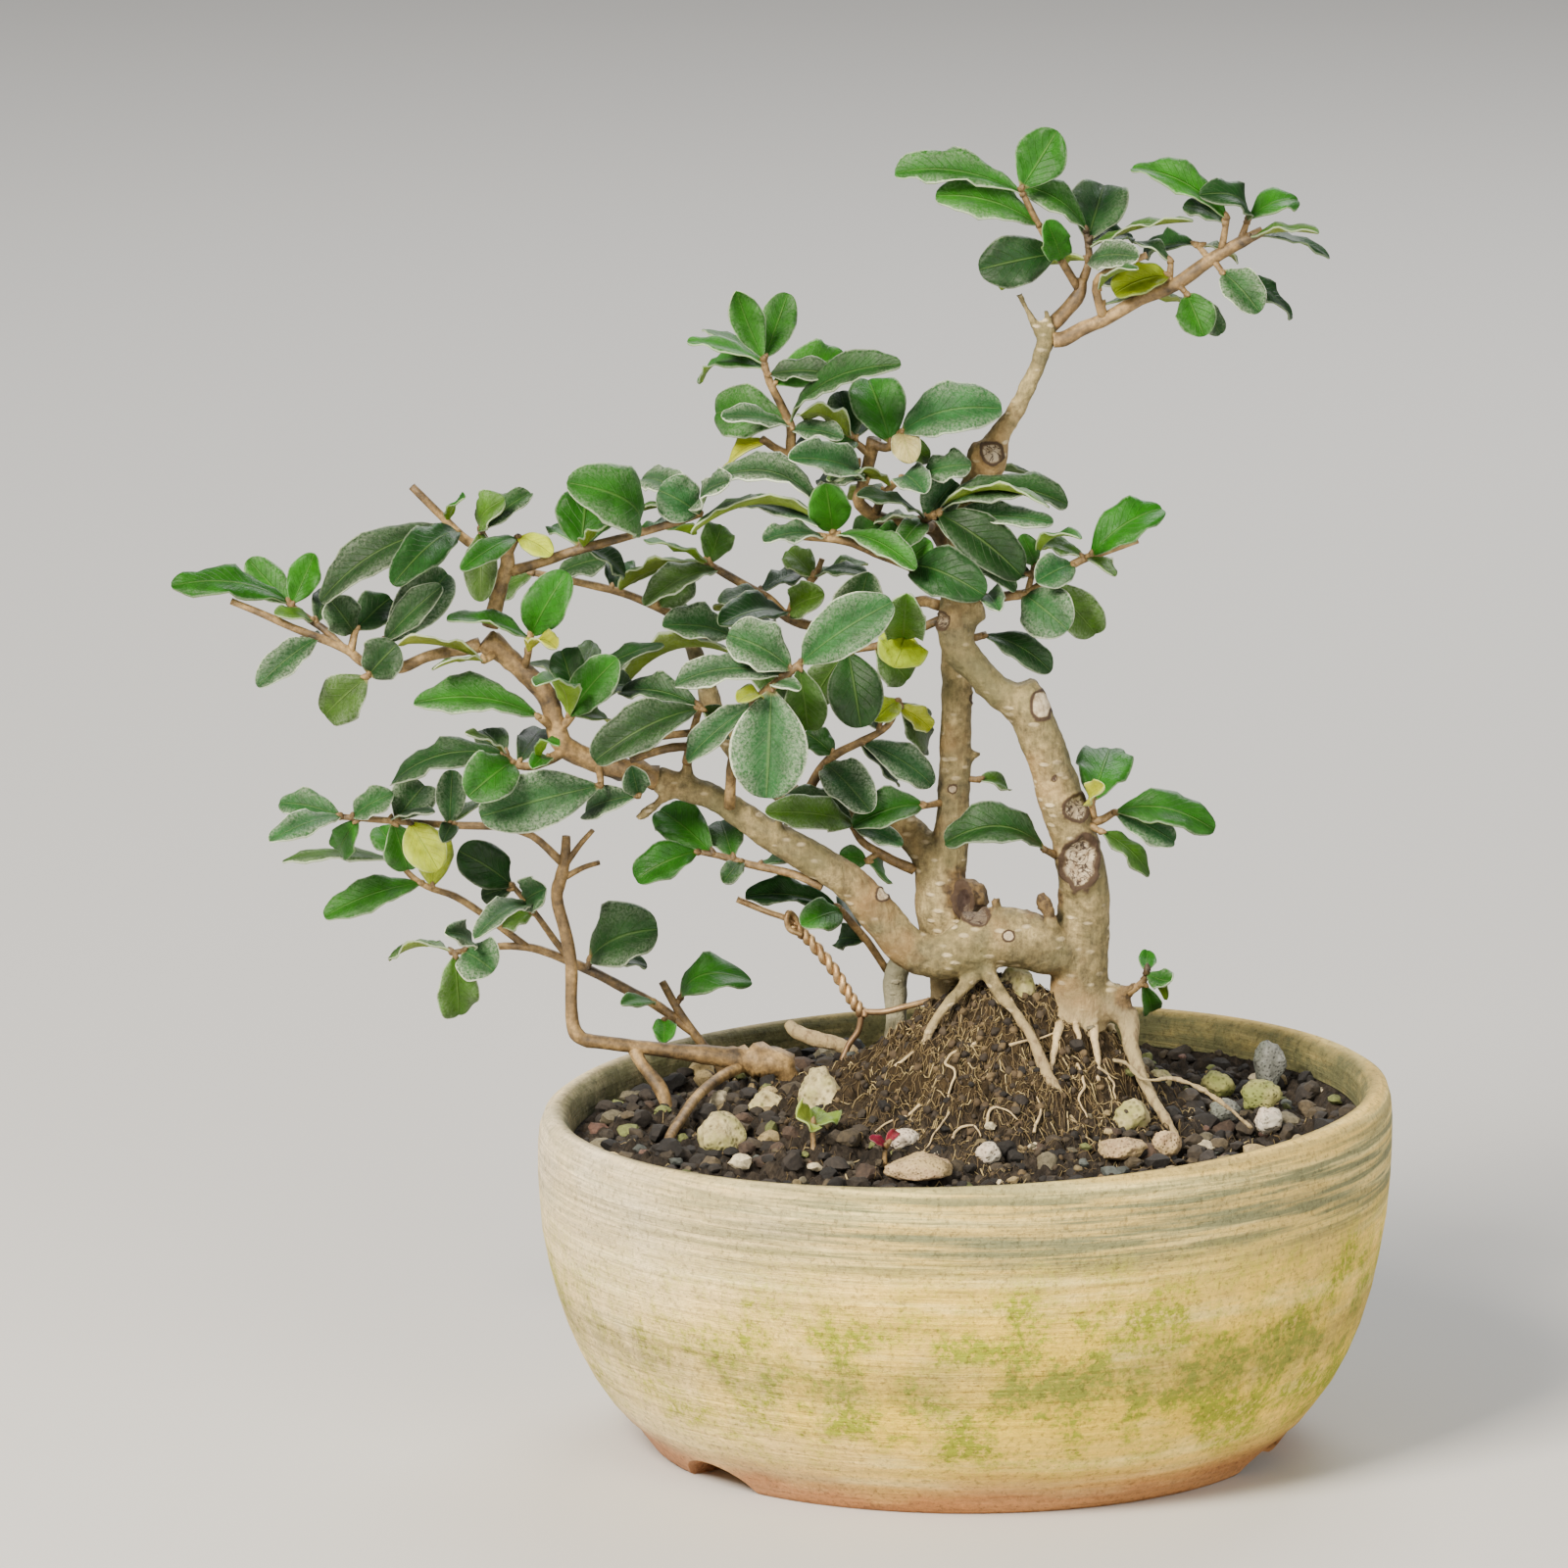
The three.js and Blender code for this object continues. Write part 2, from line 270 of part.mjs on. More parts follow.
  [5, [-71.5, -3, 127, 1], [-74.5, -6, 129.3, 0.6]], [5, [-71.3, -3, 126.5, 1], [-68.3, -4, 130, 0.7],
   [-67.8, -4, 133.8, 0.6]],
  [5, [-69.5, -3, 123.3, 1], [-75, -7, 120.6, 0.8], [-78.5, -8, 120.8, 0.7], [-80, -8, 122.5, 0.5]],
  [4, [-64, -2.5, 121, 0.8], [-63.5, -7, 117, 0.5]], [4, [-57.5, -2, 119, 0.8], [-57, -8, 115, 0.5]],
  [4, [-77, -3, 137.3, 0.9], [-76, -6, 141, 0.6], [-75.6, -6, 143.6, 0.5]], [4, [-81, -3, 141, 0.9],
   [-83.8, -7, 139, 0.5]]],
 [[-74.3, 129.2, -96, 131.5, -3, 8.5, 34, 0.14],
  [-69, 129.2, -60.5, 139.5, -6, 7, 55, 0.1], [-69.2, 129, -74.5, 134.5, -7, 6, 40, 0.14],
  [-68.6, 129.8, -57.5, 134.5, 4, 6, 35, 0.12], [-67.9, 133, -70.5, 141, 6, 6, 60, 0.08],
  [-67.9, 133.6, -52.6, 142, 5, 4.5, 28, 0.12], [-67.8, 133.8, -65, 142.5, 3, 4, 65, 0.08],
  [-67.9, 133.4, -78, 138.5, 3, 4.5, -10, 0.1], [-68.8, 129.5, -62, 127.5, 3, 4.5, 50, 0.1],
  [-79.8, 122.3, -100, 117.3, 3, 7, 38, 0.2], [-79, 121, -86.5, 115, -5, 8.5, 66, 0.12],
  [-79.9, 122.4, -84.3, 126.8, 2, 5.5, 50, 0.08], [-80, 122.5, -86.8, 126.2, -3, 2.5, 30, 0.05],
  [-72.5, 121.5, -75.3, 120, -6, 3.5, 45, 0.1], [-78, 120.8, -74, 127, 3, 5, 60, 0.08],
  [-63.6, 117, -84.5, 111.5, -5, 9.5, 72, 0.1], [-57, 115.5, -58.2, 120.5, -5, 4.5, 72, 0.06],
  [-57.1, 115.2, -66.3, 112.3, -3, 5.5, 62, 0.12], [-74.5, 120.6, -70.5, 124, -6, 2.5, 40, 0.1],
  [-75.6, 143.6, -69.3, 154.8, -3, 7.5, 64, 0.14], [-75.8, 142.8, -90.2, 146.3, -4, 5, 22, 0.1],
  [-84, 139.5, -98.5, 142, 7, 5.5, -14, 0.08], [-83.8, 139.2, -92.5, 137.5, -3, 5, -16, 0.08],
  [-76, 140.5, -71, 141, -3, 4, 30, 0.1]]],
["spray_tip",
 [[6, [-84.5, -3, 142, 1.4], [-87, -3, 141.3, 1.2], [-90, -3, 140.8, 1.1], [-94, -3, 139.8, 1],
   [-98, -3, 138, 1], [-101, -3, 137.8, 0.9], [-105, -4, 139, 0.9], [-107.5, -4, 141, 0.8],
   [-112, -5, 143, 0.75],
   [-117, -6, 145, 0.7], [-122, -6, 147.3, 0.65], [-127.7, -6, 149.7, 0.6]],
  [4, [-108.3, -4.2, 141.4, 0.7], [-111.5, -3, 144.6, 0.7], [-114, -2, 146.3, 0.6],
   [-117.7, -1, 149.3, 0.5]],
  [4, [-107, -4, 140.7, 0.8], [-106.2, -3, 145, 0.6]], [4, [-102.7, -3.4, 138.2, 0.7],
   [-104, -7, 136.3, 0.5]],
  [4, [-100.2, -3, 137.9, 0.7], [-101.2, -6, 142.5, 0.5]]],
 [[-117.7, 149.3, -138, 152.3, -3, 6.5, 34, 0.14], [-117.5, 149.2, -125, 157.3, 4, 6, 55, -0.06],
  [-117.4, 149, -113.3, 158.2, 4, 5.5, 62, -0.06], [-113.5, 146.2, -120, 147.3, -6, 4, 30, 0.1],
  [-113, 145.8, -111, 151.5, 5, 4, 60, 0.08], [-112.5, 143.2, -123, 134.5, -6, 5.5, 50, 0.1],
  [-111.5, 143, -117.5, 140.3, 4, 4, 20, 0.1],
  [-106.4, 144, -110.5, 150, -4, 6.5, 60, 0.05], [-106.3, 144.5, -100.2, 150.3, 5, 6.5, 55, 0.06],
  [-104, 136.5, -111.5, 129.5, 2, 8, 66, 0.1], [-103.8, 136.6, -98.8, 142, -5, 7.5, 68, 0.1],
  [-101.1, 142, -90.3, 154.6, -6, 8, 74, 0.08], [-101.2, 142.4, -91, 152.3, 7, 5.5, 50, 0.06]]],
["spray_top_left",
 [[6, [-82.8, -3, 145.2, 1.5], [-81.8, -3, 149, 1.4], [-80.8, -3, 153, 1.3], [-79.8, -3, 157.7, 1.3],
   [-83, -3, 159.3, 1], [-86.5, -3, 160.2, 0.9], [-91, -3, 164.6, 0.75], [-96.3, -3, 170, 0.7]],
  [4, [-83, -3, 159.3, 0.8], [-84.3, -6, 162.4, 0.5]], [4, [-79.8, -3, 157.5, 0.8],
   [-77.8, -4, 161.3, 0.5]]],
 [[-88.2, 161.9, -112, 149.5, -1, 7.5, 42, 0.22], [-88.3, 161.9, -99.2, 152.3, -6, 7, 56, 0.16],
  [-90, 163.8, -87, 167.8, -4, 3, 30, 0.08],
  [-84.2, 162.2, -80, 167.5, -4, 6.5, 40, 0.2], [-84, 162, -75.7, 168.8, 5, 5, 35, 0.08],
  [-84, 162.2, -84.3, 149.5, -6, 5.5, 72, 0.08], [-78, 161, -72, 157.7, -4, 4.5, 40, 0.1],
  [-78.2, 160.8, -87.5, 155, -9, 4, 60, 0.1]]],
["spray_top_mid",
 [[6, [-79.2, -3, 155, 1], [-74, -3, 156.5, 0.9], [-69, -3, 158.3, 0.9], [-62, -3, 160.3, 0.8],
   [-57.5, -3, 161.5, 0.7], [-51, -2, 163.5, 0.7], [-46, -1, 165.2, 0.6]]],
 [[-67, 159, -66, 168.8, 7, 9.5, 66, 0.08], [-66.5, 159.2, -60.8, 164, -4, 5.5, 30, 0.1],
  [-66.8, 159, -72.3, 163, -4, 4.5, 25, 0.1], [-57.6, 161.5, -69.2, 170.3, -3, 11, 54, 0.26],
  [-46.3, 165.1, -57, 165.6, 4, 4.5, -12, 0.1], [-46.2, 165.2, -41, 170.5, -4, 6.5, 55, 0.1],
  [-46.4, 165, -53.5, 169.3, -4, 8, 60, 0.14], [-46.1, 165.2, -56.7, 171.5, 6, 6, 50, 0.12],
  [-66.5, 159.3, -59.5, 154.5, 6, 5.5, 35, 0.08], [-57, 161.6, -47.5, 161.7, 6, 5, 10, 0.06]]],
["spray_back_twig",
 [[4, [-50, 23, 147, 0.9], [-54, 23, 149, 0.8], [-60, 23, 151.5, 0.7], [-69, 22, 153.7, 0.7],
   [-76, 21, 155.2, 0.6]]],
 [[-62, 152, -59.8, 157, 5, 5, 60, 0.08], [-72, 154.3, -63, 157.5, 4, 5.5, 30, 0.1],
  [-54, 149.2, -48, 155, -5, 7, 55, 0.1], [-55, 149.6, -48, 146, 5, 5.5, 40, 0.1],
  [-75.5, 155.2, -83.5, 150.5, 3, 5, 50, 0.08]]],
["stem_left",
 [[7, [-30, 22, 63, 1.6], [-32, 22, 66, 2.7], [-35, 22, 67.3, 3.3], [-38, 22, 67.5, 2.6],
   [-42, 21, 68, 1.9],
   [-50, 20, 69, 1.4], [-58, 19, 70, 1.2], [-64, 18, 70.8, 1.2], [-67, 18, 71.3, 1.3],
   [-68.6, 18, 72.8, 1.3],
   [-69.2, 18, 77, 1.1], [-69.2, 18, 85, 1.1], [-70.3, 18, 91, 1.1], [-71.7, 18, 97, 1.1],
   [-70.8, 18, 101, 1.1], [-70.2, 18, 104, 1], [-70, 18, 108, 0.7]],
  [4, [-70, 18, 103, 0.6], [-67.5, 17, 106.5, 0.5], [-65.3, 16, 109, 0.45]],
  [4, [-70.3, 18, 100.5, 0.6], [-67, 19, 102.3, 0.5], [-64.2, 20, 103.2, 0.45]],
  [5, [-58.5, 19, 69.8, 1.1], [-56.5, 17, 66.5, 1.1], [-53.5, 14, 62.5, 1.3], [-51.5, 12, 57, 1]],
  [5, [-39, 21, 66.5, 1.1], [-43, 14, 64.5, 1], [-47, 2, 61.3, 0.9], [-50, -10, 57, 0.9],
   [-52, -18, 53.6, 0.8], [-52.5, -21, 49, 0.7]],
  [4, [-70.8, 18, 103.2, 0.8], [-76, 18, 108, 0.7], [-81, 18, 109.5, 0.7], [-90, 18, 109.9, 0.7],
   [-96, 18, 110.3, 0.65], [-102, 18, 110.8, 0.6], [-109.5, 18, 111.4, 0.55]]],
 [[-109.5, 111.5, -120.5, 113.8, 3, 5.5, 50, 0.12], [-109.5, 111.2, -121.7, 107, -4, 5, 40, 0.08],
  [-107.5, 111.3, -100.3, 115.5, -3, 5, 55, 0.12], [-106.5, 111.2, -110, 105.2, -5, 5, 66, 0.12],
  [-100, 110.6, -95, 117, 5, 7.5, 62, 0.08], [-100.5, 110.7, -98, 102, 4, 6.5, 66, 0.08],
  [-97.5, 110.4, -92.5, 101.8, -4, 7, 74, 0.06], [-90.5, 110, -90, 119.8, 4, 5, 66, 0.08],
  [-90, 109.9, -91.5, 106.8, -3, 3, 70, 0.1], [-91, 110, -84.5, 114, -4, 3.5, 20, 0.08],
  [-101, 110.7, -93, 112.2, -5, 3, 15, 0.06]]],
["stem_low",
 [[6, [-42, 34, 61, 0.8], [-43, 34, 66, 0.95], [-46, 34, 69.8, 0.9], [-50, 34, 75.5, 0.8],
   [-53.3, 34, 81.5, 0.7]],
  [6, [-47.5, 34, 72, 0.8], [-54, 34, 77, 0.9], [-60, 33, 80.3, 0.9], [-66, 33, 83.5, 0.9],
   [-75, 33, 87.3, 0.8], [-80, 33, 88, 0.7], [-85, 33, 87.6, 0.6], [-90.5, 31, 86.8, 0.5]],
  [4, [-77, 33, 87.6, 0.7], [-84, 33, 93, 0.7], [-90, 33, 97, 0.65], [-95, 33, 98.8, 0.6],
   [-98.5, 33, 101.5, 0.55], [-100, 33, 104.5, 0.5]],
  [4, [-69, 33, 84.8, 0.7], [-72, 32, 88.6, 0.65], [-74, 31, 91.5, 0.6], [-76.5, 30, 95, 0.55],
   [-80, 29, 99.3, 0.5]],
  [4, [-66.5, 33, 83.8, 0.6], [-66, 29, 86, 0.5]], [4, [-51, 34, 77, 0.6], [-49.8, 34, 79, 0.5]],
  [4, [-51, 34, 74.8, 0.6], [-53, 31, 74.5, 0.5]]],
 [[-66.1, 85.5, -54, 91, -4, 11, 48, 0.2], [-66.3, 85, -56, 84.3, 4, 4, 15, 0.1],
  [-50, 78.5, -37.5, 81.5, -3, 8, 44, 0.4], [-54.5, 77.2, -60.5, 77.5, -5, 3, 40, 0.08],
  [-52.8, 74.5, -53, 70.5, -3, 4, 75, 0.08],
  [-99.5, 102.8, -120.6, 103.2, 3, 4.5, 14, 0.08], [-96, 99, -113, 93.3, -4, 6.5, 42, 0.1],
  [-94, 98.6, -93.5, 108.8, 6, 6.5, 66, 0.08], [-99.8, 104, -103.5, 109.5, 5, 5.5, 55, 0.06],
  [-79.8, 99, -89.2, 105.3, -3, 7.5, 62, 0.12], [-79.5, 98.6, -85.2, 97, -6, 4.5, 62, 0.1],
  [-77.5, 96.3, -73.6, 98.5, -6, 6, 70, 0.08], [-76.3, 94.8, -86, 89.5, -6, 5, 40, 0.12],
  [-75.8, 94, -81.5, 92, 4, 6, 30, 0.1],
  [-90.4, 86.8, -101.7, 85.3, 3, 6.5, -14, 0.16], [-88.5, 87.2, -83, 83.5, -5, 8, 62, 0.12],
  [-90, 86.9, -89.5, 75.5, 5, 7, 40, 0.1], [-87, 87.4, -91.5, 90.5, -6, 4.5, 60, 0.1]]],
["spray_trunk_right",
 [[5, [20, 0.5, 110.3, 1], [23.5, 0, 110.8, 0.75], [26, 0, 112.3, 0.6]],
  [4, [22.5, 0.3, 110.7, 0.7], [21.8, -1.5, 115, 0.5]], [4, [21, 0, 110.4, 0.7],
   [23.5, -2.5, 108.8, 0.5]]],
 [[21.8, 114, 25.5, 123.5, 4, 9, 64, 0.1], [22, 113.5, 24, 117, -4, 3.5, 60, 0.1],
  [25.8, 112.2, 43.3, 109, -4, 7.5, 38, 0.2], [25.9, 112.3, 36.5, 107, -8, 6, 58, 0.1],
  [23.3, 108.9, 32, 101, 4, 5, 30, 0.12]]],
["spray_trunk_left",
 [[4, [15.8, -1, 104.6, 0.8], [13.3, -4.5, 105.8, 0.5]]],
 [[13.8, 105.5, -3.6, 106.8, -2, 8, 40, 0.32]]],
["spray_trunk_b",
 [[4, [0.2, 11.5, 118.3, 0.6], [2.6, 11, 118, 0.5]]],
 [[2.2, 118, 7.5, 116.3, 0, 4, 35, 0.12]]],
["shoot_base",
 [[4, [28.6, -0.6, 80, 0.8], [31, -1.5, 82, 0.6], [31.8, -2, 84, 0.45]]],
 [[31.6, 83.5, 35.8, 82.2, -3, 4, 60, -0.1], [31.7, 84, 32, 87.5, 3, 3, 60, -0.1],
  [30.8, 82, 32.5, 76.5, -4, 3.5, 66, 0.1], [31.2, 82.3, 35.5, 78.6, 2, 2, 30, 0.1]]],
];
const ROOTED = ["stem_left", "stem_low"];
const GROWS_FROM = {
  spray_apex_right: "spray_apex",
  spray_tip: "branch_left",
  spray_top_left: "branch_left",
  spray_top_mid: "spray_top_left",
};

// A bare root that shows by itself on the left.
const looseRoots = [
["horn_root",
 [[6, [-31, 23, 74.2, 0.8], [-29.7, 22, 72.8, 1.3], [-26, 21, 71.3, 1.4], [-22, 21, 70.3, 1.3],
   [-19, 21, 68, 1.1], [-18, 20, 63, 0.8]]]],
];

const weeds = [
["weed_clover",
 [[4, [-26.6, -26, 49, 0.6], [-26.6, -25, 53, 0.6], [-26.8, -24.6, 57, 0.45]]],
 [[-26.8, 57, -29.6, 58.4, -4, 6, 45, 0.04], [-26.8, 57, -24.2, 58.8, -4, 6, 45, 0.04]]],
["weed_red",
 [[4, [-14.2, -36, 46.5, 0.55], [-14.3, -36, 51, 0.55], [-14.2, -36, 53.8, 0.5]]],
 [[-14.2, 53.4, -17, 55, -2, 1.8, 50, 0.1], [-14.3, 53.6, -12, 55.6, -2, 1.8, 50, 0.1]]],
];

// Stones: a name, [x, y, seen height] of the middle, and the half widths.
const stones = [
["stone_pumice_big", -25, -6, 61, 4.9, 4.2, 4.2],
["stone_pumice_left", -42.8, -20, 55, 4.6, 4, 3.6],
["stone_left_small", -34.3, 1, 60, 2.9, 2.6, 2.4],
["stone_flat_tan", -7.8, -43, 49.6, 6.2, 4, 2.2],
["stone_white_left", -11.2, -26, 54.4, 2.4, 2.2, 1.9],
["stone_white_front", 4.2, -34, 52.3, 2.6, 2.3, 2.2],
["stone_tan_right", 29, -15, 58, 3.3, 2.8, 2.8],
["stone_grey_back", 54, 27, 66.3, 3.8, 3.4, 4.2],
["stone_yellow_right", 52.5, 9, 61.4, 3.7, 3.3, 3],
["stone_right_low", 44.6, 17, 63, 2.8, 2.6, 2.6],
["stone_right_mid", 45.5, -1, 58.8, 2.9, 2.7, 2.3],
["stone_right_light", 34, 19, 64, 2.8, 2.6, 2.4],
["stone_flat_front", 26.4, -31, 52.6, 4.6, 3.2, 2],
["stone_pink_right", 34.6, -27, 53.8, 3.2, 2.8, 2.3],
["stone_edge_right", 53, -9, 57.4, 3, 2.6, 2.3],
["stone_under_trunk", 9.5, 3, 80, 3.8, 3.8, 4.4],
];

const WIRE_TWIST = [[-30, 17, 92], [-27, 17, 89], [-23, 16, 84], [-20, 15.5, 79], [-17.5, 15, 75.5]];
const WIRE_ENDS = [
  [[-40, 18, 96.6], [-35, 17.6, 94.5], [-30.6, 17.6, 92.8], [-28.5, 17.6, 90.5]],
  [[-28.5, 16.4, 90.3], [-30.8, 16.2, 91.4], [-31, 16.6, 94], [-30, 17.4, 93.6], [-28.6, 17.2, 91]],
  [[-18, 15.2, 76.3], [-18.6, 15, 73], [-20.5, 14.6, 70], [-22, 13, 64], [-16, 8, 45], [-6, 2, 20], [-5.2, 0, 13.4]],
  [[-18.2, 15, 76.4], [-14, 14.5, 76.4], [-10, 13.5, 77.4], [-5.5, 11, 78.6]],
];

// Bark, leaf and earth finishes
function finish(color, roughness, metalness = 0) {
  return new THREE.MeshStandardMaterial({ color, roughness, metalness });
}
const stoneware = finish(0xd9c79a, 0.85);
const plasticMesh = finish(0x2b2b2b, 0.6);
const darkSoil = finish(0x3b2f26, 0.95);
const bark = finish(0xa8946c, 0.85);
const greenLeaf = finish(0x3c7a37, 0.5);
const copperWire = finish(0xb08a5e, 0.45, 0.8);
const pumice = finish(0xb5a884, 0.95);
const greyStone = finish(0x8b8c85, 0.9);

// Solids: every mesh is made, joined and cut as a closed body.
function solidFrom(positions, triangles) {
  const mesh = new wasm.Mesh({
    numProp: 3,
    vertProperties: new Float32Array(positions),
    triVerts: new Uint32Array(triangles),
  });
  return new wasm.Manifold(mesh);
}

function solidOf(geometry) {
  const bare = geometry.clone();
  bare.deleteAttribute("normal");
  bare.deleteAttribute("uv");
  const merged = mergeVertices(bare, 1e-4);
  return solidFrom(merged.attributes.position.array, merged.index.array);
}

function geometryOf(solid) {
  const mesh = solid.getMesh();
  const geometry = new THREE.BufferGeometry();
  geometry.setAttribute("position", new THREE.BufferAttribute(mesh.vertProperties, 3));
  geometry.setIndex(new THREE.BufferAttribute(mesh.triVerts, 1));
  geometry.computeVertexNormals();
  return geometry;
}

// The largest body of a solid: scraps left by a cut are dropped.
function largest(solid) {
  const bodies = solid.decompose();
  return bodies.reduce((a, b) => (b.volume() > a.volume() ? b : a));
}

const joined = (solids) => wasm.Manifold.union(solids);

// Rings of points, each ring the same count, skinned into one closed body. A ring may name a
// point more than once, so that it narrows to an edge or a point. Faces in flipped columns are
// split along their other diagonal.
function skin(rings, flipped = []) {
  const positions = [];
  const index = new Map();
  const numbered = rings.map((ring) =>
    ring.map((point) => {
      if (!index.has(point)) {
        index.set(point, index.size);
        positions.push(point.x, point.y, point.z);
      }
      return index.get(point);
    }),
  );
  const triangles = [];
  const face = (a, b, c) => {
    if (a !== b && b !== c && a !== c) triangles.push(a, b, c);
  };
  const sides = rings[0].length;
  for (let i = 0; i + 1 < numbered.length; i++) {
    const [low, high] = [numbered[i], numbered[i + 1]];
    for (let k = 0; k < sides; k++) {
      const next = (k + 1) % sides;
      if (flipped.includes(k)) {
        face(low[k], low[next], high[next]);
        face(low[k], high[next], high[k]);
      } else {
        face(low[k], low[next], high[k]);
        face(low[next], high[next], high[k]);
      }
    }
  }
  const first = numbered[0];
  const last = numbered[numbered.length - 1];
  for (let k = 1; k + 1 < sides; k++) {
    face(first[0], first[k + 1], first[k]);
    face(last[0], last[k], last[k + 1]);
  }
  return solidFrom(positions, triangles);
}

// A limb: a tapered round of wood along a smooth route of [x, y, seen height, radius] points.
// Grown is how much fatter and longer it is made, for the clearance cut round it.
function limb([sides, ...route], grown = 0) {
  const points = route.map(([x, y, height]) => seen(x, y, height));
  if (grown > 0) {
    const out = (a, b) => a.clone().sub(b).normalize().multiplyScalar(grown);
    points[0].add(out(points[0], points[1]));
    points[points.length - 1].add(out(points[points.length - 1], points[points.length - 2]));
  }
  const curve = new THREE.CatmullRomCurve3(points, false, "centripetal");
  const steps = route.length - 1;
  const rings = [];
  let across = new THREE.Vector3(0, 1, 0);
  for (let i = 0; i <= steps; i++) {
    const u = i / steps;
    const along = curve.getTangent(u);
    across.addScaledVector(along, -across.dot(along)).normalize();
    const third = along.clone().cross(across);
    const radius = route[i][3] + grown;
    const centre = points[i];
    rings.push(
      Array.from({ length: sides }, (_, k) => {
        const turn = (k / sides) * 2 * Math.PI;
        return centre
          .clone()
          .addScaledVector(across, radius * Math.cos(turn))
          .addScaledVector(third, radius * Math.sin(turn));
      }),
    );
  }
  return skin(rings);
}

// A whole-number random sequence that repeats on every run.
let drawn = 20;
function between(low, high) {
  drawn = (Math.imul(drawn, 1664525) + 1013904223) >>> 0;
  return low + (high - low) * (drawn / 2 ** 32);
}

// The point of a group of routes that looks nearest to a place seen from the front.
function nearestOnRoutes(routes, x, height) {
  let best = null;
  for (const [, ...route] of routes)
    for (let i = 0; i + 1 < route.length; i++) {
      const [a, b] = [route[i], route[i + 1]];
      const [dx, dz] = [b[0] - a[0], b[2] - a[2]];
      const share = ((x - a[0]) * dx + (height - a[2]) * dz) / (dx * dx + dz * dz);
      const t = Math.min(1, Math.max(0, share));
      const [px, pz] = [a[0] + t * dx, a[2] + t * dz];
      const off = Math.hypot(x - px, height - pz);
      if (!best || off < best.off) best = { off, point: seen(px, a[1] + t * (b[1] - a[1]), pz) };
    }
  return best.point;
}

// A leaf's own axes and shape. Face is how far its upper side leans from straight up towards
// the viewer, in degrees; away is how much further from the viewer its tip is than its base.
function leafForm(base, [, , tipX, tipHeight, away, width, face, arch], traits, shift) {
  const tip = seen(tipX, base.y + away + shift, tipHeight);
  const along = tip.clone().sub(base);
  const length = along.length();
  along.normalize();
  const lean = THREE.MathUtils.degToRad(face);
  const up = new THREE.Vector3(0, -Math.sin(lean), Math.cos(lean));
  up.addScaledVector(along, -up.dot(along)).normalize();
  return { base, along, up, across: along.clone().cross(up), length, width, arch, ...traits };
}

// A point of the blade: t runs from stalk to tip, s from one edge (-1) to the other (1), and
// lift is the height over the blade's middle.
function bladePoint(leaf, t, s, lift) {
  const outline = Math.pow(Math.sin(Math.PI * Math.pow(t, LEAF_WIDEST)), LEAF_FULLNESS);
  const half = Math.max(STALK, (leaf.width / 2) * LEAF_BREADTH * outline);
  const slope = leaf.arch * 4 * (1 - 2 * t);
  const normal = leaf.up.clone().addScaledVector(leaf.along, -slope).normalize();
  const fold = leaf.fold * Math.abs(s) * half;
  const wave = leaf.wave * s * s * outline * Math.sin(2 * Math.PI * (leaf.waves * t + leaf.phase * s));
  return leaf.base
    .clone()
    .addScaledVector(leaf.along, leaf.length * t)
    .addScaledVector(leaf.up, leaf.length * leaf.arch * 4 * t * (1 - t))
    .addScaledVector(leaf.across, s * half)
    .addScaledVector(normal, fold + wave + lift);
}

// A blade: rings across it, more of them the longer it is, each two edges and, on all but the
// shortest, the fold between them. Both faces are split alike.
function blade(leaf) {
  const half = LEAF_THICK / 2;
  const across = leaf.length < SHORT_LEAF ? [-1, 1] : [-1, 0, 1];
  const places = leaf.length < LONG_LEAF ? TWO_RINGS : THREE_RINGS;
  const onAxis = (t, lift) =>
    leaf.base.clone().addScaledVector(leaf.along, leaf.length * t).addScaledVector(leaf.up, lift);
  const ends = [0, 1].map((t) => [half, -half].map((lift) => onAxis(t, lift)));
  const edge = ([top, low]) => [...across.map(() => top), ...across.map(() => low)];
  const ring = (t) => [
    ...across.map((s) => bladePoint(leaf, t, s, half)),
    ...across.toReversed().map((s) => bladePoint(leaf, t, s, -half)),
  ];
  const lowFace = across.slice(1).map((_, k) => across.length + k);
  return skin([edge(ends[0]), ...places.map(ring), edge(ends[1])], lowFace);
}

// Leaves keep clear of each other: a leaf that would touch an earlier one swings its tip to or
// from the viewer by the least of these steps that clears it.
const SWINGS = [0, 3, -3, 6, -6, 9, -9, 12, -12, 15, -15];
const TEST_ALONG = [0.3, 0.46, 0.62, 0.78, 0.94];
const TEST_ACROSS = [-0.9, -0.3, 0.3, 0.9];
const MIDDLE_TEST = 9; // the test point nearest the middle of the blade
const LEAF_REACH = 30; // leaves whose middles are further apart than this can't touch
const WOOD_REACH = 16;

function testPoints(leaf) {
  return TEST_ALONG.flatMap((t) => TEST_ACROSS.map((s) => bladePoint(leaf, t, s, 0)));
}

function wayToSegment(point, a, b) {
  const line = b.clone().sub(a);
  const t = Math.min(1, Math.max(0, point.clone().sub(a).dot(line) / line.lengthSq()));
  return point.distanceTo(a.clone().addScaledVector(line, t));
}

// Every stretch of wood as two ends and a radius.
function stretches(limbs) {
  return limbs.flatMap(([, ...route]) =>
    route.slice(1).map((end, i) => {
      const start = route[i];
      const [from, to] = [start, end].map(([x, y, height]) => seen(x, y, height));
      return [from, to, Math.max(start[3], end[3])];
    }),
  );
}

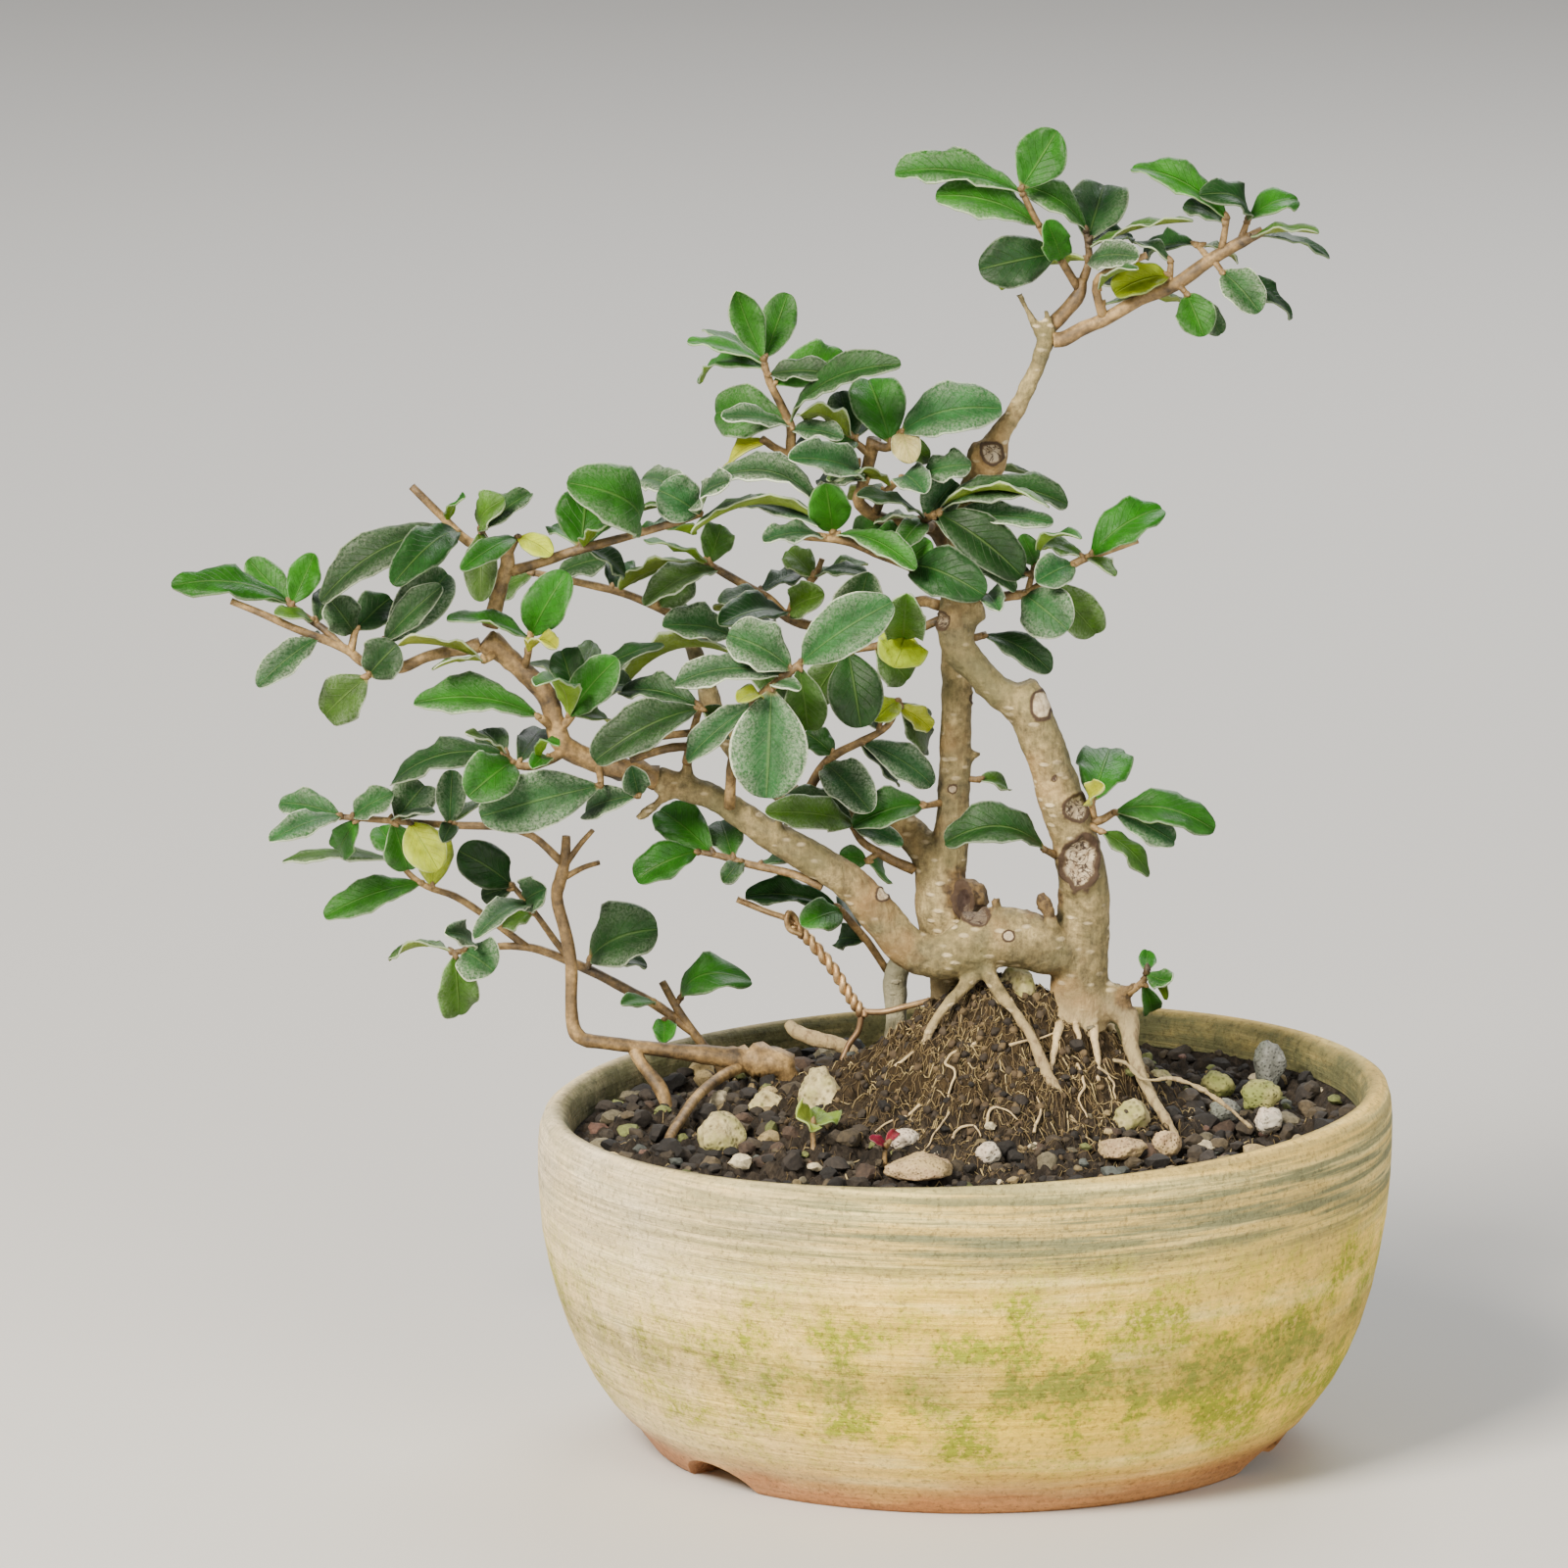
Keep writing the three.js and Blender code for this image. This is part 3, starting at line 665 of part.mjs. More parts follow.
function roomAround(points, placedLeaves, wood) {
  const middle = points[MIDDLE_TEST];
  let room = Infinity;
  for (const other of placedLeaves) {
    if (other[MIDDLE_TEST].distanceTo(middle) > LEAF_REACH) continue;
    for (const p of points) for (const q of other) room = Math.min(room, p.distanceTo(q) - LEAF_CLEAR);
  }
  for (const [a, b, radius] of wood) {
    if (wayToSegment(middle, a, b) > WOOD_REACH) continue;
    for (const p of points) room = Math.min(room, wayToSegment(p, a, b) - radius - WOOD_CLEAR);
  }
  return room;
}

const placedLeaves = [];
const everyLimb = [...woodLimbs, ...leafyStems.flatMap(([, limbs]) => limbs)];
const everyStretch = stretches(everyLimb);

function placeLeaf(limbs, row) {
  const base = nearestOnRoutes(limbs, row[0], row[1]);
  const traits = {
    fold: between(0.12, 0.42),
    wave: between(0.35, 0.85),
    waves: between(1.4, 2.6),
    phase: between(0, 1),
  };
  let best = null;
  for (const shift of SWINGS) {
    const leaf = leafForm(base, row, traits, shift);
    const points = testPoints(leaf);
    const room = roomAround(points, placedLeaves, everyStretch);
    if (!best || room > best.room) best = { room, leaf, points };
    if (room >= 0) break;
  }
  placedLeaves.push(best.points);
  return best.leaf;
}

// The pot: a thrown bowl, its profile turned once round, with the lip a little higher on the
// right, three arches cut in the foot ring and one drain hole.
const lipTilt = (x, z) => LIP_RISE * x * THREE.MathUtils.smoothstep(z, FLOOR_TOP, POT_HEIGHT);

function turned(profile, around = POT_FACETS) {
  const points = profile.map(([r, z]) => new THREE.Vector2(r, z));
  points.push(points[0].clone());
  const lathe = new THREE.LatheGeometry(points, around);
  lathe.rotateX(Math.PI / 2);
  return lathe;
}

function tilted(geometry) {
  const position = geometry.attributes.position;
  for (let i = 0; i < position.count; i++)
    position.setZ(i, position.getZ(i) + lipTilt(position.getX(i), position.getZ(i)));
  return geometry;
}

const POT_OUTSIDE = [
  [FOOT_RADIUS, 0], [FOOT_RADIUS + 2, 2], [62, 8.5], [68, 18.5], [72.6, 32], [74.8, 46],
  [POT_RADIUS, 56], [POT_RADIUS - 2.4, POT_HEIGHT],
];
const POT_INSIDE = [
  [POT_RADIUS - POT_WALL + 0.6, POT_HEIGHT - 0.8], [69, 52], [66.2, 32], [60.5, 18], [46, FLOOR_TOP],
];
const footInside = FOOT_RADIUS - FOOT_WIDTH;

function pot() {
  const profile = [
    [DRAIN_RADIUS, FOOT_RECESS], [footInside, FOOT_RECESS], [footInside, 0],
    ...POT_OUTSIDE, ...POT_INSIDE, [DRAIN_RADIUS, FLOOR_TOP],
  ];
  let solid = solidOf(tilted(turned(profile)));
  const half = NOTCH_WIDTH / 2;
  for (const degrees of NOTCH_ANGLES) {
    const arch = new THREE.CylinderGeometry(half, half, 2 * FOOT_WIDTH + 12, NOTCH_FACETS);
    arch.scale(1, 1, NOTCH_HEIGHT / half);
    arch.translate(0, -FOOT_RADIUS, 0);
    arch.rotateZ(THREE.MathUtils.degToRad(degrees));
    solid = solid.subtract(solidOf(arch));
  }
  return largest(solid);
}

// The mesh over the drain hole: a square sheet with a grid of square holes.
function drainMesh() {
  const sheet = solidOf(new THREE.BoxGeometry(MESH_SIZE, MESH_SIZE, MESH_THICK));
  const pitch = MESH_SIZE / MESH_HOLES;
  const holes = [];
  for (let i = 0; i < MESH_HOLES; i++)
    for (let j = 0; j < MESH_HOLES; j++) {
      const hole = new THREE.BoxGeometry(pitch * 0.66, pitch * 0.66, 3 * MESH_THICK);
      const [x, y] = [i, j].map((step) => (step + 0.5) * pitch - MESH_SIZE / 2);
      holes.push(solidOf(hole.translate(x, y, 0)));
    }
  return sheet.subtract(joined(holes)).translate([0, 0, FLOOR_TOP + GAP + MESH_THICK / 2]);
}

// The soil's surface: level at the wall, a mound under the trunks, and lumps.
function soilTop(x, y) {
  const [dx, dy] = [x - MOUND_AT[0], y - MOUND_AT[1]];
  const spreadX = dx < 0 ? MOUND_SPREAD.left : MOUND_SPREAD.right;
  const spreadY = dy < 0 ? MOUND_SPREAD.front : MOUND_SPREAD.back;
  const mound = MOUND_RISE * Math.exp(-(dx * dx) / (2 * spreadX ** 2) - (dy * dy) / (2 * spreadY ** 2));
  const lumps =
    Math.sin(x * 0.41 + 1.3) * Math.cos(y * 0.37) +
    0.7 * Math.sin(x * 0.83 - y * 0.71) +
    0.5 * Math.cos(x * 1.3 + y * 1.1);
  const edge = THREE.MathUtils.smoothstep(Math.hypot(x, y), 60, 68);
  return SOIL_EDGE + mound + 0.75 * lumps * (1 - edge) + lipTilt(x, SOIL_EDGE) * edge;
}

function soilBlank() {
  const wall = POT_INSIDE.slice(1).map(([r, z]) => [r - GAP, z]);
  const edgeRadius = wall[0][0] - 0.05;
  const ringAt = (radius, height) =>
    Array.from({ length: SOIL_FACETS }, (_, k) => {
      const turn = -(k / SOIL_FACETS) * 2 * Math.PI;
      const [x, y] = [radius * Math.sin(turn), -radius * Math.cos(turn)];
      return new THREE.Vector3(x, y, height(x, y));
    });
  const rings = SOIL_RINGS.map((share) => ringAt(share * edgeRadius, soilTop));
  const peak = new THREE.Vector3(0, 0, soilTop(0, 0));
  rings.push(ringAt(edgeRadius, (x, y) => soilTop(x, y) - 1.5));
  for (const [r, z] of wall.slice(1)) rings.push(ringAt(r, (x) => z + GAP + lipTilt(x, z)));
  const bottom = new THREE.Vector3(0, 0, FLOOR_TOP + 2 * GAP + MESH_THICK);
  rings.push(ringAt(MESH_SIZE, () => FLOOR_TOP + GAP));
  rings.push(ringAt(MESH_SIZE * 0.75, () => bottom.z));
  return skin([Array(SOIL_FACETS).fill(peak), ...rings, Array(SOIL_FACETS).fill(bottom)]);
}

// A stone: a lumpy ball at [x, y, seen height], half widths along X, Y and Z.
function stone([x, y, height, rx, ry, rz], seed, grown = 0) {
  const ball = new THREE.IcosahedronGeometry(1, rx > LARGE_STONE ? 1 : 0);
  const position = ball.attributes.position;
  const point = new THREE.Vector3();
  for (let i = 0; i < position.count; i++) {
    point.fromBufferAttribute(position, i);
    const lump =
      1 + 0.13 * Math.sin(5 * point.x + seed) + 0.12 * Math.sin(4 * point.y + 2.3 * seed) +
      0.1 * Math.cos(6 * point.z - seed);
    point.multiplyScalar(lump);
    point.set(point.x * (rx + grown), point.y * (ry + grown), point.z * (rz + grown));
    position.setXYZ(i, point.x, point.y, point.z);
  }
  ball.rotateZ(seed);
  const place = seen(x, y, height);
  ball.translate(place.x, place.y, place.z);
  return solidOf(ball);
}

// The tie wire: two strands twisted together, drawn as one waisted cord, with the free ends
// above and the legs that hold the root ball down below.
function tieWire(grown = 0) {
  const core = new THREE.CatmullRomCurve3(WIRE_TWIST.map((p) => seen(...p)));
  const { normals, binormals } = core.computeFrenetFrames(WIRE_STEPS);
  const wide = 1.85 * (WIRE_RADIUS + grown);
  const section = [[wide, 0.5], [wide, -0.5], [0, -0.3], [-wide, -0.5], [-wide, 0.5], [0, 0.3]];
  const rings = Array.from({ length: WIRE_STEPS + 1 }, (_, i) => {
    const turn = (i / WIRE_STEPS) * WIRE_TURNS * 2 * Math.PI;
    const [cos, sin] = [Math.cos(turn), Math.sin(turn)];
    return section.map(([u, v]) =>
      core
        .getPointAt(i / WIRE_STEPS)
        .addScaledVector(normals[i], u * cos - (v + Math.sign(v) * grown) * sin)
        .addScaledVector(binormals[i], u * sin + (v + Math.sign(v) * grown) * cos),
    );
  });
  const ends = WIRE_ENDS.map((route) => limb([4, ...route.map((p) => [...p, WIRE_RADIUS])], grown));
  return joined([skin(rings.map((ring) => ring.toReversed())), ...ends]);
}

// A weed: thin stems with round leaves.
function weed([, stems, leaves]) {
  const blades = leaves.map((row) => blade(placeLeaf(stems, row)));
  return largest(joined([...stems.map((stem) => limb(stem)), ...blades]));
}

const potSolid = pot();
const woodSolid = largest(joined(woodLimbs.map((row) => limb(row))));
const woodRoom = joined(woodLimbs.map((row) => limb(row, GAP)));
const wireRoom = tieWire(GAP);
const stemSolids = leafyStems.map(([, limbs, leaves]) =>
  joined([...limbs.map((row) => limb(row)), ...leaves.map((row) => blade(placeLeaf(limbs, row)))]),
);
const weedSolids = weeds.map(weed);
const groundLimbs = [...leafyStems.filter(([name]) => ROOTED.includes(name)), ...weeds, ...looseRoots]
  .flatMap(([, limbs]) => limbs);

const soilCutters = joined([
  woodRoom,
  wireRoom,
  ...groundLimbs.map((row) => limb(row, GAP)),
  ...stones.map(([, ...row], i) => stone(row, i + 1, GAP)),
]);
const soilSolid = largest(soilBlank().subtract(soilCutters));

const bonsai = new THREE.Group();
const standing = new THREE.Group();
bonsai.add(standing);
function add(name, solid, material) {
  const neat = largest(solid.asOriginal().simplify(SMALLEST_EDGE));
  const mesh = new THREE.Mesh(geometryOf(neat), material);
  mesh.name = name;
  standing.add(mesh);
}

add("pot", potSolid, stoneware);
add("drain_mesh", drainMesh(), plasticMesh);
add("soil", soilSolid, darkSoil);
add("tree_wood", woodSolid, bark);
add("tie_wire", largest(tieWire().subtract(woodRoom)), copperWire);
leafyStems.forEach(([name], i) => {
  const parent = leafyStems.find(([other]) => other === GROWS_FROM[name]);
  const room = parent ? joined([woodRoom, ...parent[1].map((row) => limb(row, GAP))]) : woodRoom;
  add(name, largest(stemSolids[i].subtract(room)), greenLeaf);
});
looseRoots.forEach(([name, limbs]) => {
  add(name, largest(joined(limbs.map((row) => limb(row))).subtract(woodRoom)), bark);
});
stones.forEach(([name, ...row], i) => {
  add(name, largest(stone(row, i + 1).subtract(woodRoom)), i % 3 ? pumice : greyStone);
});
weeds.forEach(([name], i) => add(name, weedSolids[i], greenLeaf));

// The part's origin is the middle of its box, at the bottom.
const box = new THREE.Box3().setFromObject(standing);
standing.position.set(-(box.min.x + box.max.x) / 2, -(box.min.y + box.max.y) / 2, -box.min.z);

export default bonsai;
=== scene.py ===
import math
import random
import bmesh
import bpy
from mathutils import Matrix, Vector, kdtree, noise


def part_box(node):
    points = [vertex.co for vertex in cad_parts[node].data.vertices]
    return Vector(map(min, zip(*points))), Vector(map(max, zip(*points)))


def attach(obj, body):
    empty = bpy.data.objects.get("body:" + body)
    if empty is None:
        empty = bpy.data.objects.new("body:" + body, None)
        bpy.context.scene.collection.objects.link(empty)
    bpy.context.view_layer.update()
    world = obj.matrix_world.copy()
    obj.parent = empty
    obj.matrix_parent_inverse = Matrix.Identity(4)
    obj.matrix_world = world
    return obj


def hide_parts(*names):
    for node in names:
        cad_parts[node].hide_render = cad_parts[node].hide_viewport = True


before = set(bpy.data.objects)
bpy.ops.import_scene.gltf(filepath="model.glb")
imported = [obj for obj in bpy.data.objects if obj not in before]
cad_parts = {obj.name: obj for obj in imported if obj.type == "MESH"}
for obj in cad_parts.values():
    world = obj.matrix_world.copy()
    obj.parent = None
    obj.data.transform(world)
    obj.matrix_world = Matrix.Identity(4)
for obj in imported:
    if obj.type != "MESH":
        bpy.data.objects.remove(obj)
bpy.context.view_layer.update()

# The pot. A bowl of buff stoneware, thrown on the wheel and left unglazed inside, with a thin
# matt cream wash outside. Its foot ring has three arches cut in it, and years outdoors have
# put grey and green algae on it.
pot_low, pot_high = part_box("pot")
POT_AXIS = (pot_low.x + pot_high.x) / 2
POT_RADIUS = (pot_high.x - pot_low.x) / 2
MM = 0.001
FOOT_RADIUS, FOOT_RECESS, NOTCH_DEEP = 55 * MM, 4.5 * MM, 26 * MM
POT_FLOOR, POT_HEIGHT = 11, 62
EDGE_WEAR = 0.5 * MM
THROWING_MARKS = ((0.16, 14, 620), (0.3, 22, 60))  # depth in mm, then waves a metre round and up
LIP_RISE = 0.037
WHEEL_STEPS = 144
NOTCHES = (-51, 69, 189)
NOTCH_WIDTH, NOTCH_HEIGHT = 18 * MM, 4.6 * MM
POT_PROFILE = (
    (8, 4.5), (47, 4.5), (47, 0.4), (47.6, 0), (54.4, 0), (55.2, 0.6), (56.6, 2.4),
    (58.2, 4.6), (58.7, 5.2), (60.4, 6.6), (62.6, 9.2), (65.4, 13.2), (67.9, 17.8),
    (69.9, 22.6), (71.6, 28), (73, 34), (74, 40),
    (74.6, 46), (74.95, 51), (75, 56), (74.7, 59), (73.9, 61.1), (72.6, 62), (71, 61.8), (69.9, 60.6),
    (69.4, 58.5), (69.1, 52), (67.6, 40), (64.6, 27), (60.5, 18), (54, 12.6), (46, 11), (8, 11),
)


def lone(name, piece):
    """Names a piece that bpy.ops has just made, gives its mesh the name too, and selects it alone."""
    bpy.ops.object.select_all(action="DESELECT")
    piece.name = piece.data.name = name
    piece.select_set(True)
    bpy.context.view_layer.objects.active = piece
    return piece


def settle(piece, body="root"):
    """Puts a piece's place in its mesh, its object at the origin, and fixes it to the body."""
    bpy.ops.object.select_all(action="DESELECT")
    piece.select_set(True)
    bpy.context.view_layer.objects.active = piece
    bpy.ops.object.transform_apply(location=True, rotation=True, scale=True)
    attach(piece, body)


def apply_modifier(piece, kind, **settings):
    """Adds a modifier and applies it."""
    bpy.context.view_layer.objects.active = piece
    made = piece.modifiers.new(kind.title(), kind)
    for setting, value in settings.items():
        setattr(made, setting, value)
    bpy.ops.object.modifier_apply(modifier=made.name)


def linear(colour):
    """An sRGB hex colour as linear red, green, blue and alpha."""
    parts = [int(colour[i : i + 2], 16) / 255 for i in (1, 3, 5)]
    return [*(c / 12.92 if c <= 0.04045 else ((c + 0.055) / 1.055) ** 2.4 for c in parts), 1]


def plug(node, values):
    """Fills a node's inputs. A value is another node, for its first output, or an output, or plain."""
    for socket, value in values.items():
        if isinstance(value, bpy.types.Node):
            value = value.outputs[0]
        if isinstance(value, bpy.types.NodeSocket):
            node.id_data.links.new(value, node.inputs[socket])
        else:
            node.inputs[socket].default_value = value


def add_node(graph, kind, values=None, stops=(), **settings):
    """Adds a node with its inputs and settings, and a ramp's stops as places and hex colours."""
    made = graph.nodes.new("ShaderNode" + kind)
    for setting, value in settings.items():
        setattr(made, setting, value)
    plug(made, values or {})
    for position, colour in stops[1:-1]:
        made.color_ramp.elements.new(position).color = linear(colour)
    if stops:
        for end in (0, -1):
            stop = made.color_ramp.elements[end]
            stop.position, stop.color = stops[end][0], linear(stops[end][1])
    return made


def new_material(name):
    """A material with only its own shader and output, and the graph they stand in."""
    material = bpy.data.materials.new(name)
    material.use_nodes = True
    graph = material.node_tree
    return material, graph, graph.nodes["Principled BSDF"]


def per_mm(size):
    """The scale of a pattern, in turns a metre, whose features are this many millimetres."""
    return 1000 / size


# The wheel: one profile, spun once round.
bpy.ops.object.select_all(action="DESELECT")
bpy.ops.mesh.primitive_plane_add(size=MM)
pot = lone("pot_bowl", bpy.context.object)
bpy.ops.object.mode_set(mode="EDIT")
bpy.ops.mesh.select_all(action="SELECT")
bpy.ops.mesh.merge(type="CENTER")
start_r, start_z = POT_PROFILE[0]
bpy.ops.transform.translate(value=(start_r * MM, 0, start_z * MM))
for (r0, z0), (r1, z1) in zip(POT_PROFILE, POT_PROFILE[1:] + POT_PROFILE[:1]):
    step = ((r1 - r0) * MM, 0, (z1 - z0) * MM)
    bpy.ops.mesh.extrude_vertices_move(TRANSFORM_OT_translate={"value": step})
bpy.ops.mesh.select_all(action="SELECT")
bpy.ops.mesh.spin(steps=WHEEL_STEPS, angle=2 * math.pi, center=(0, 0, 0), axis=(0, 0, 1))
bpy.ops.mesh.select_all(action="SELECT")
bpy.ops.mesh.remove_doubles(threshold=0.01 * MM)
bpy.ops.mesh.normals_make_consistent(inside=False)
bpy.ops.object.mode_set(mode="OBJECT")
for degrees in NOTCHES:
    turn = math.radians(degrees)
    bpy.ops.object.select_all(action="DESELECT")
    bpy.ops.mesh.primitive_cylinder_add(
        vertices=40, radius=NOTCH_WIDTH / 2, depth=NOTCH_DEEP, rotation=(math.pi / 2, 0, turn),
        location=(FOOT_RADIUS * math.sin(turn), -FOOT_RADIUS * math.cos(turn), 0),
    )
    arch = bpy.context.object
    arch.scale = (1, NOTCH_HEIGHT / (NOTCH_WIDTH / 2), 1)
    apply_modifier(pot, "BOOLEAN", operation="DIFFERENCE", object=arch, solver="EXACT")
    bpy.data.objects.remove(arch)
sharp = math.radians(50)
apply_modifier(pot, "BEVEL", width=EDGE_WEAR, segments=2, limit_method="ANGLE", angle_limit=sharp)
for vertex in pot.data.vertices:
    x, y, z = vertex.co
    reach = math.hypot(x, y)
    if reach > 50 * MM and z > FOOT_RECESS * 1.6:
        ridge = sum(
            deep * noise.noise(Vector((x * around, y * around, z * up)))
            for deep, around, up in THROWING_MARKS
        )
        swell = 1 + ridge * MM / reach
        x, y = x * swell, y * swell
    rise = min(max((z - POT_FLOOR * MM) / (POT_HEIGHT * MM - POT_FLOOR * MM), 0), 1)
    lift = LIP_RISE * x * rise * rise * (3 - 2 * rise)
    x, y = (min(max(way, -POT_RADIUS), POT_RADIUS) for way in (x, y))
    vertex.co = (x + POT_AXIS, y, z + lift)
lone("pot_bowl", pot)
bpy.ops.object.shade_smooth_by_angle(angle=sharp)
settle(pot)
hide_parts("pot")

# Buff stoneware under a matt cream wash, brushed on as the wheel turned, so its streaks run
# round the pot. It is dry to the eye, with grey lime near the lip and yellow-green algae.
wash, graph, shader = new_material("cream_washed_stoneware")
place = add_node(graph, "TexCoord").outputs["Object"]
centred = add_node(graph, "Mapping", {"Vector": place, "Location": (-POT_AXIS, 0, 0)})
split = add_node(graph, "SeparateXYZ", {"Vector": centred})
side, depth, height = (split.outputs[way] for way in "XYZ")
brushed, scratched, grooved = (
    add_node(graph, "Mapping", {"Vector": centred, "Scale": (round_it, round_it, up)})
    for round_it, up in ((0.16, 2.2), (0.06, 1.6), (0.1, 3))
)
streaks, lines, clouds, blotches, specks, grit_marks, turning = (
    add_node(
        graph, "TexNoise", {"Vector": way, "Scale": per_mm(size), "Detail": detail, "Roughness": rough},
    )
    for way, size, detail, rough in (
        (brushed, 7, 8, 0.62), (scratched, 2, 5, 0.6), (centred, 26, 6, 0.6), (centred, 10, 9, 0.74),
        (centred, 1.3, 5, 0.7), (centred, 1, 4, 0.7), (grooved, 4, 6, 0.6),
    )
)
band_low, band_high, green_low, green_high = (
    add_node(
        graph, "MapRange", {"Value": height, "From Min": low, "From Max": high},
        interpolation_type="SMOOTHSTEP",
    )
    for low, high in ((0.041, 0.05), (0.068, 0.058), (0.002, 0.02), (0.054, 0.03))
)
left_side, band_side, green_side, broken, haze, patch, granules, thin, speckled, lined, pitted = (
    add_node(
        graph, "MapRange",
        {"Value": of, "From Min": low, "From Max": high, "To Min": least, "To Max": most},
    )
    for of, low, high, least, most in (
        (side, -0.012, -0.066, 0, 0.9), (side, -0.07, -0.02, 0.4, 1), (side, -0.06, -0.01, 0.5, 1),
        (lines, 0.58, 0.44, 0.36, 0.95), (clouds, 0.32, 0.54, 0, 1), (blotches, 0.43, 0.61, 0, 1),
        (specks, 0.4, 0.54, 0.15, 1), (blotches, 0.3, 0.55, 0.55, 1), (specks, 0.3, 0.7, 0.8, 1.16),
        (lines, 0.32, 0.62, 0.85, 1.1), (grit_marks, 0.37, 0.46, 0.62, 1),
    )
)
# Painted light: the left side, which faces the key light, is mixed in cloudy patches towards a near-white
# pinkish cream.
painted_light_left = add_node(graph, "Math", {0: left_side, 1: clouds}, operation="MULTIPLY")
painted_light_left = add_node(graph, "Math", {0: painted_light_left, 1: 1.7}, operation="MULTIPLY", use_clamp=True)
lime_band = band_low
for share in (band_high, band_side, broken):
    lime_band = add_node(graph, "Math", {0: lime_band, 1: share}, operation="MULTIPLY")
hazy = green_low
for share in (green_high, green_side, haze):
    hazy = add_node(graph, "Math", {0: hazy, 1: share}, operation="MULTIPLY")
grainy = add_node(graph, "Math", {0: patch, 1: granules}, operation="MULTIPLY")
patchy = add_node(graph, "Math", {0: hazy, 1: grainy}, operation="MULTIPLY")
patches = add_node(graph, "Math", {0: patchy, 1: 2.3}, operation="MULTIPLY", use_clamp=True)
footing = add_node(graph, "Math", {0: clouds, 1: -0.012}, operation="MULTIPLY")
ragged = add_node(graph, "Math", {0: height, 1: footing}, operation="ADD")
bare = add_node(
    graph, "MapRange", {"Value": ragged, "From Min": 0.0035, "From Max": -0.003, "To Max": 0.85},
)
reach_squared = add_node(graph, "Math", {0: side, 1: side}, operation="MULTIPLY")
reach_both = add_node(graph, "Math", {0: depth, 1: depth, 2: reach_squared}, operation="MULTIPLY_ADD")
reach = add_node(graph, "Math", {0: reach_both}, operation="SQRT")
inside = add_node(graph, "MapRange", {"Value": reach, "From Min": 0.0728, "From Max": 0.0703})
above = add_node(graph, "MapRange", {"Value": height, "From Min": 0.02, "From Max": 0.03})
lip = add_node(graph, "Math", {0: inside, 1: above}, operation="MULTIPLY")
mossy_lip = add_node(graph, "Math", {0: lip, 1: thin}, operation="MULTIPLY")

coat = add_node(
    graph, "ValToRGB", {"Fac": streaks}, stops=((0.32, "#B89B52"), (0.48, "#EEC866"), (0.64, "#FDE594")),
)
for share, colour in (
    (painted_light_left, "#FDEED0"), (lime_band, "#787C58"), (hazy, "#EAC63A"), (patches, "#949A12"), (bare, "#A8693F"),
    (mossy_lip, "#5D5D3A"),
):
    coat = add_node(graph, "MixRGB", {"Fac": share, "Color1": coat, "Color2": linear(colour)})
wear_and_crevice_shade = add_node(graph, "Math", {0: speckled, 1: lined}, operation="MULTIPLY")
wear_and_crevice_shade = add_node(graph, "Math", {0: wear_and_crevice_shade, 1: pitted}, operation="MULTIPLY")
coat = add_node(graph, "MixRGB", {"Fac": 1.0, "Color1": coat, "Color2": wear_and_crevice_shade}, blend_type="MULTIPLY")
relief = add_node(graph, "Math", {0: turning, 1: 1.4, 2: specks}, operation="MULTIPLY_ADD")
bump = add_node(graph, "Bump", {"Height": relief, "Strength": 1.0, "Distance": 0.6 * MM})
plug(shader, {"Base Color": coat, "Roughness": 0.86, "Normal": bump})
pot.data.materials.append(wash)

# The mesh over the drain hole, a square of black moulded polythene net under the soil. The
# solid already has its holes, so it is kept and only finished.
net, graph, shader = new_material("moulded_black_polythene")
place = add_node(graph, "TexCoord").outputs["Object"]
dust = add_node(graph, "TexNoise", {"Vector": place, "Scale": per_mm(2), "Detail": 4})
dull = add_node(graph, "MapRange", {"Value": dust, "To Min": 0.45, "To Max": 0.75})
plug(shader, {"Base Color": linear("#26272A"), "IOR": 1.51, "Roughness": dull})
drain_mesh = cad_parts["drain_mesh"]
drain_mesh.data.materials.clear()
drain_mesh.data.materials.append(net)

# The soil. Dark loam and grit fill the pot to just under its lip and rise in a washed-out
# mound round the roots, where the surface is crumbs held together by fine roots.
LEVEL, MOUND_RISE = 57, 21
ROOT_BALLS = ((4, 3, 5, 9, 8), (25, 3, 8, 8, 11))
MOUND_X, MOUND_Y = 6, 2
WALL_AT_SOIL = 68.95
SIGHT_DOWN = math.radians(11.5)  # how far the eye of the photograph looks down
VIEW_FALL = math.tan(SIGHT_DOWN)


def spot(x, y, z):
    """A place in metres from millimetres measured from the pot's own axis."""
    return Vector((x * MM + POT_AXIS, y * MM, z * MM))


def seen(x, y, height):
    """A place given by how it looks from the front: its height is where the eye sees it."""
    return spot(x, y, height - VIEW_FALL * y)


def eased(value, low, high):
    """0 below low, 1 above high and smooth between."""
    share = min(max((value - low) / (high - low), 0), 1)
    return share * share * (3 - 2 * share)


def soil_height(x, y):
    """The soil's height in millimetres before its crumbs: level at the wall, a mound, and lumps."""
    dx, dy = x - MOUND_X, y - MOUND_Y
    spread_x = 22 if dx < 0 else 14
    spread_y = 17 if dy < 0 else 20
    mound = MOUND_RISE * math.exp(-dx * dx / (2 * spread_x**2) - dy * dy / (2 * spread_y**2))
    for at_x, at_y, rise, wide, deep in ROOT_BALLS:
        mound += rise * math.exp(-((x - at_x) ** 2) / (2 * wide**2) - (y - at_y) ** 2 / (2 * deep**2))
    lumps = math.sin(x * 0.41 + 1.3) * math.cos(y * 0.37) + 0.7 * math.sin(x * 0.83 - y * 0.71)
    lumps += 0.5 * math.cos(x * 1.3 + y * 1.1)
    at_wall = eased(math.hypot(x, y), 60, 68)
    lip = LIP_RISE * x * eased(LEVEL, POT_FLOOR, POT_HEIGHT)
    return LEVEL + mound + 0.75 * lumps * (1 - at_wall) + lip * at_wall


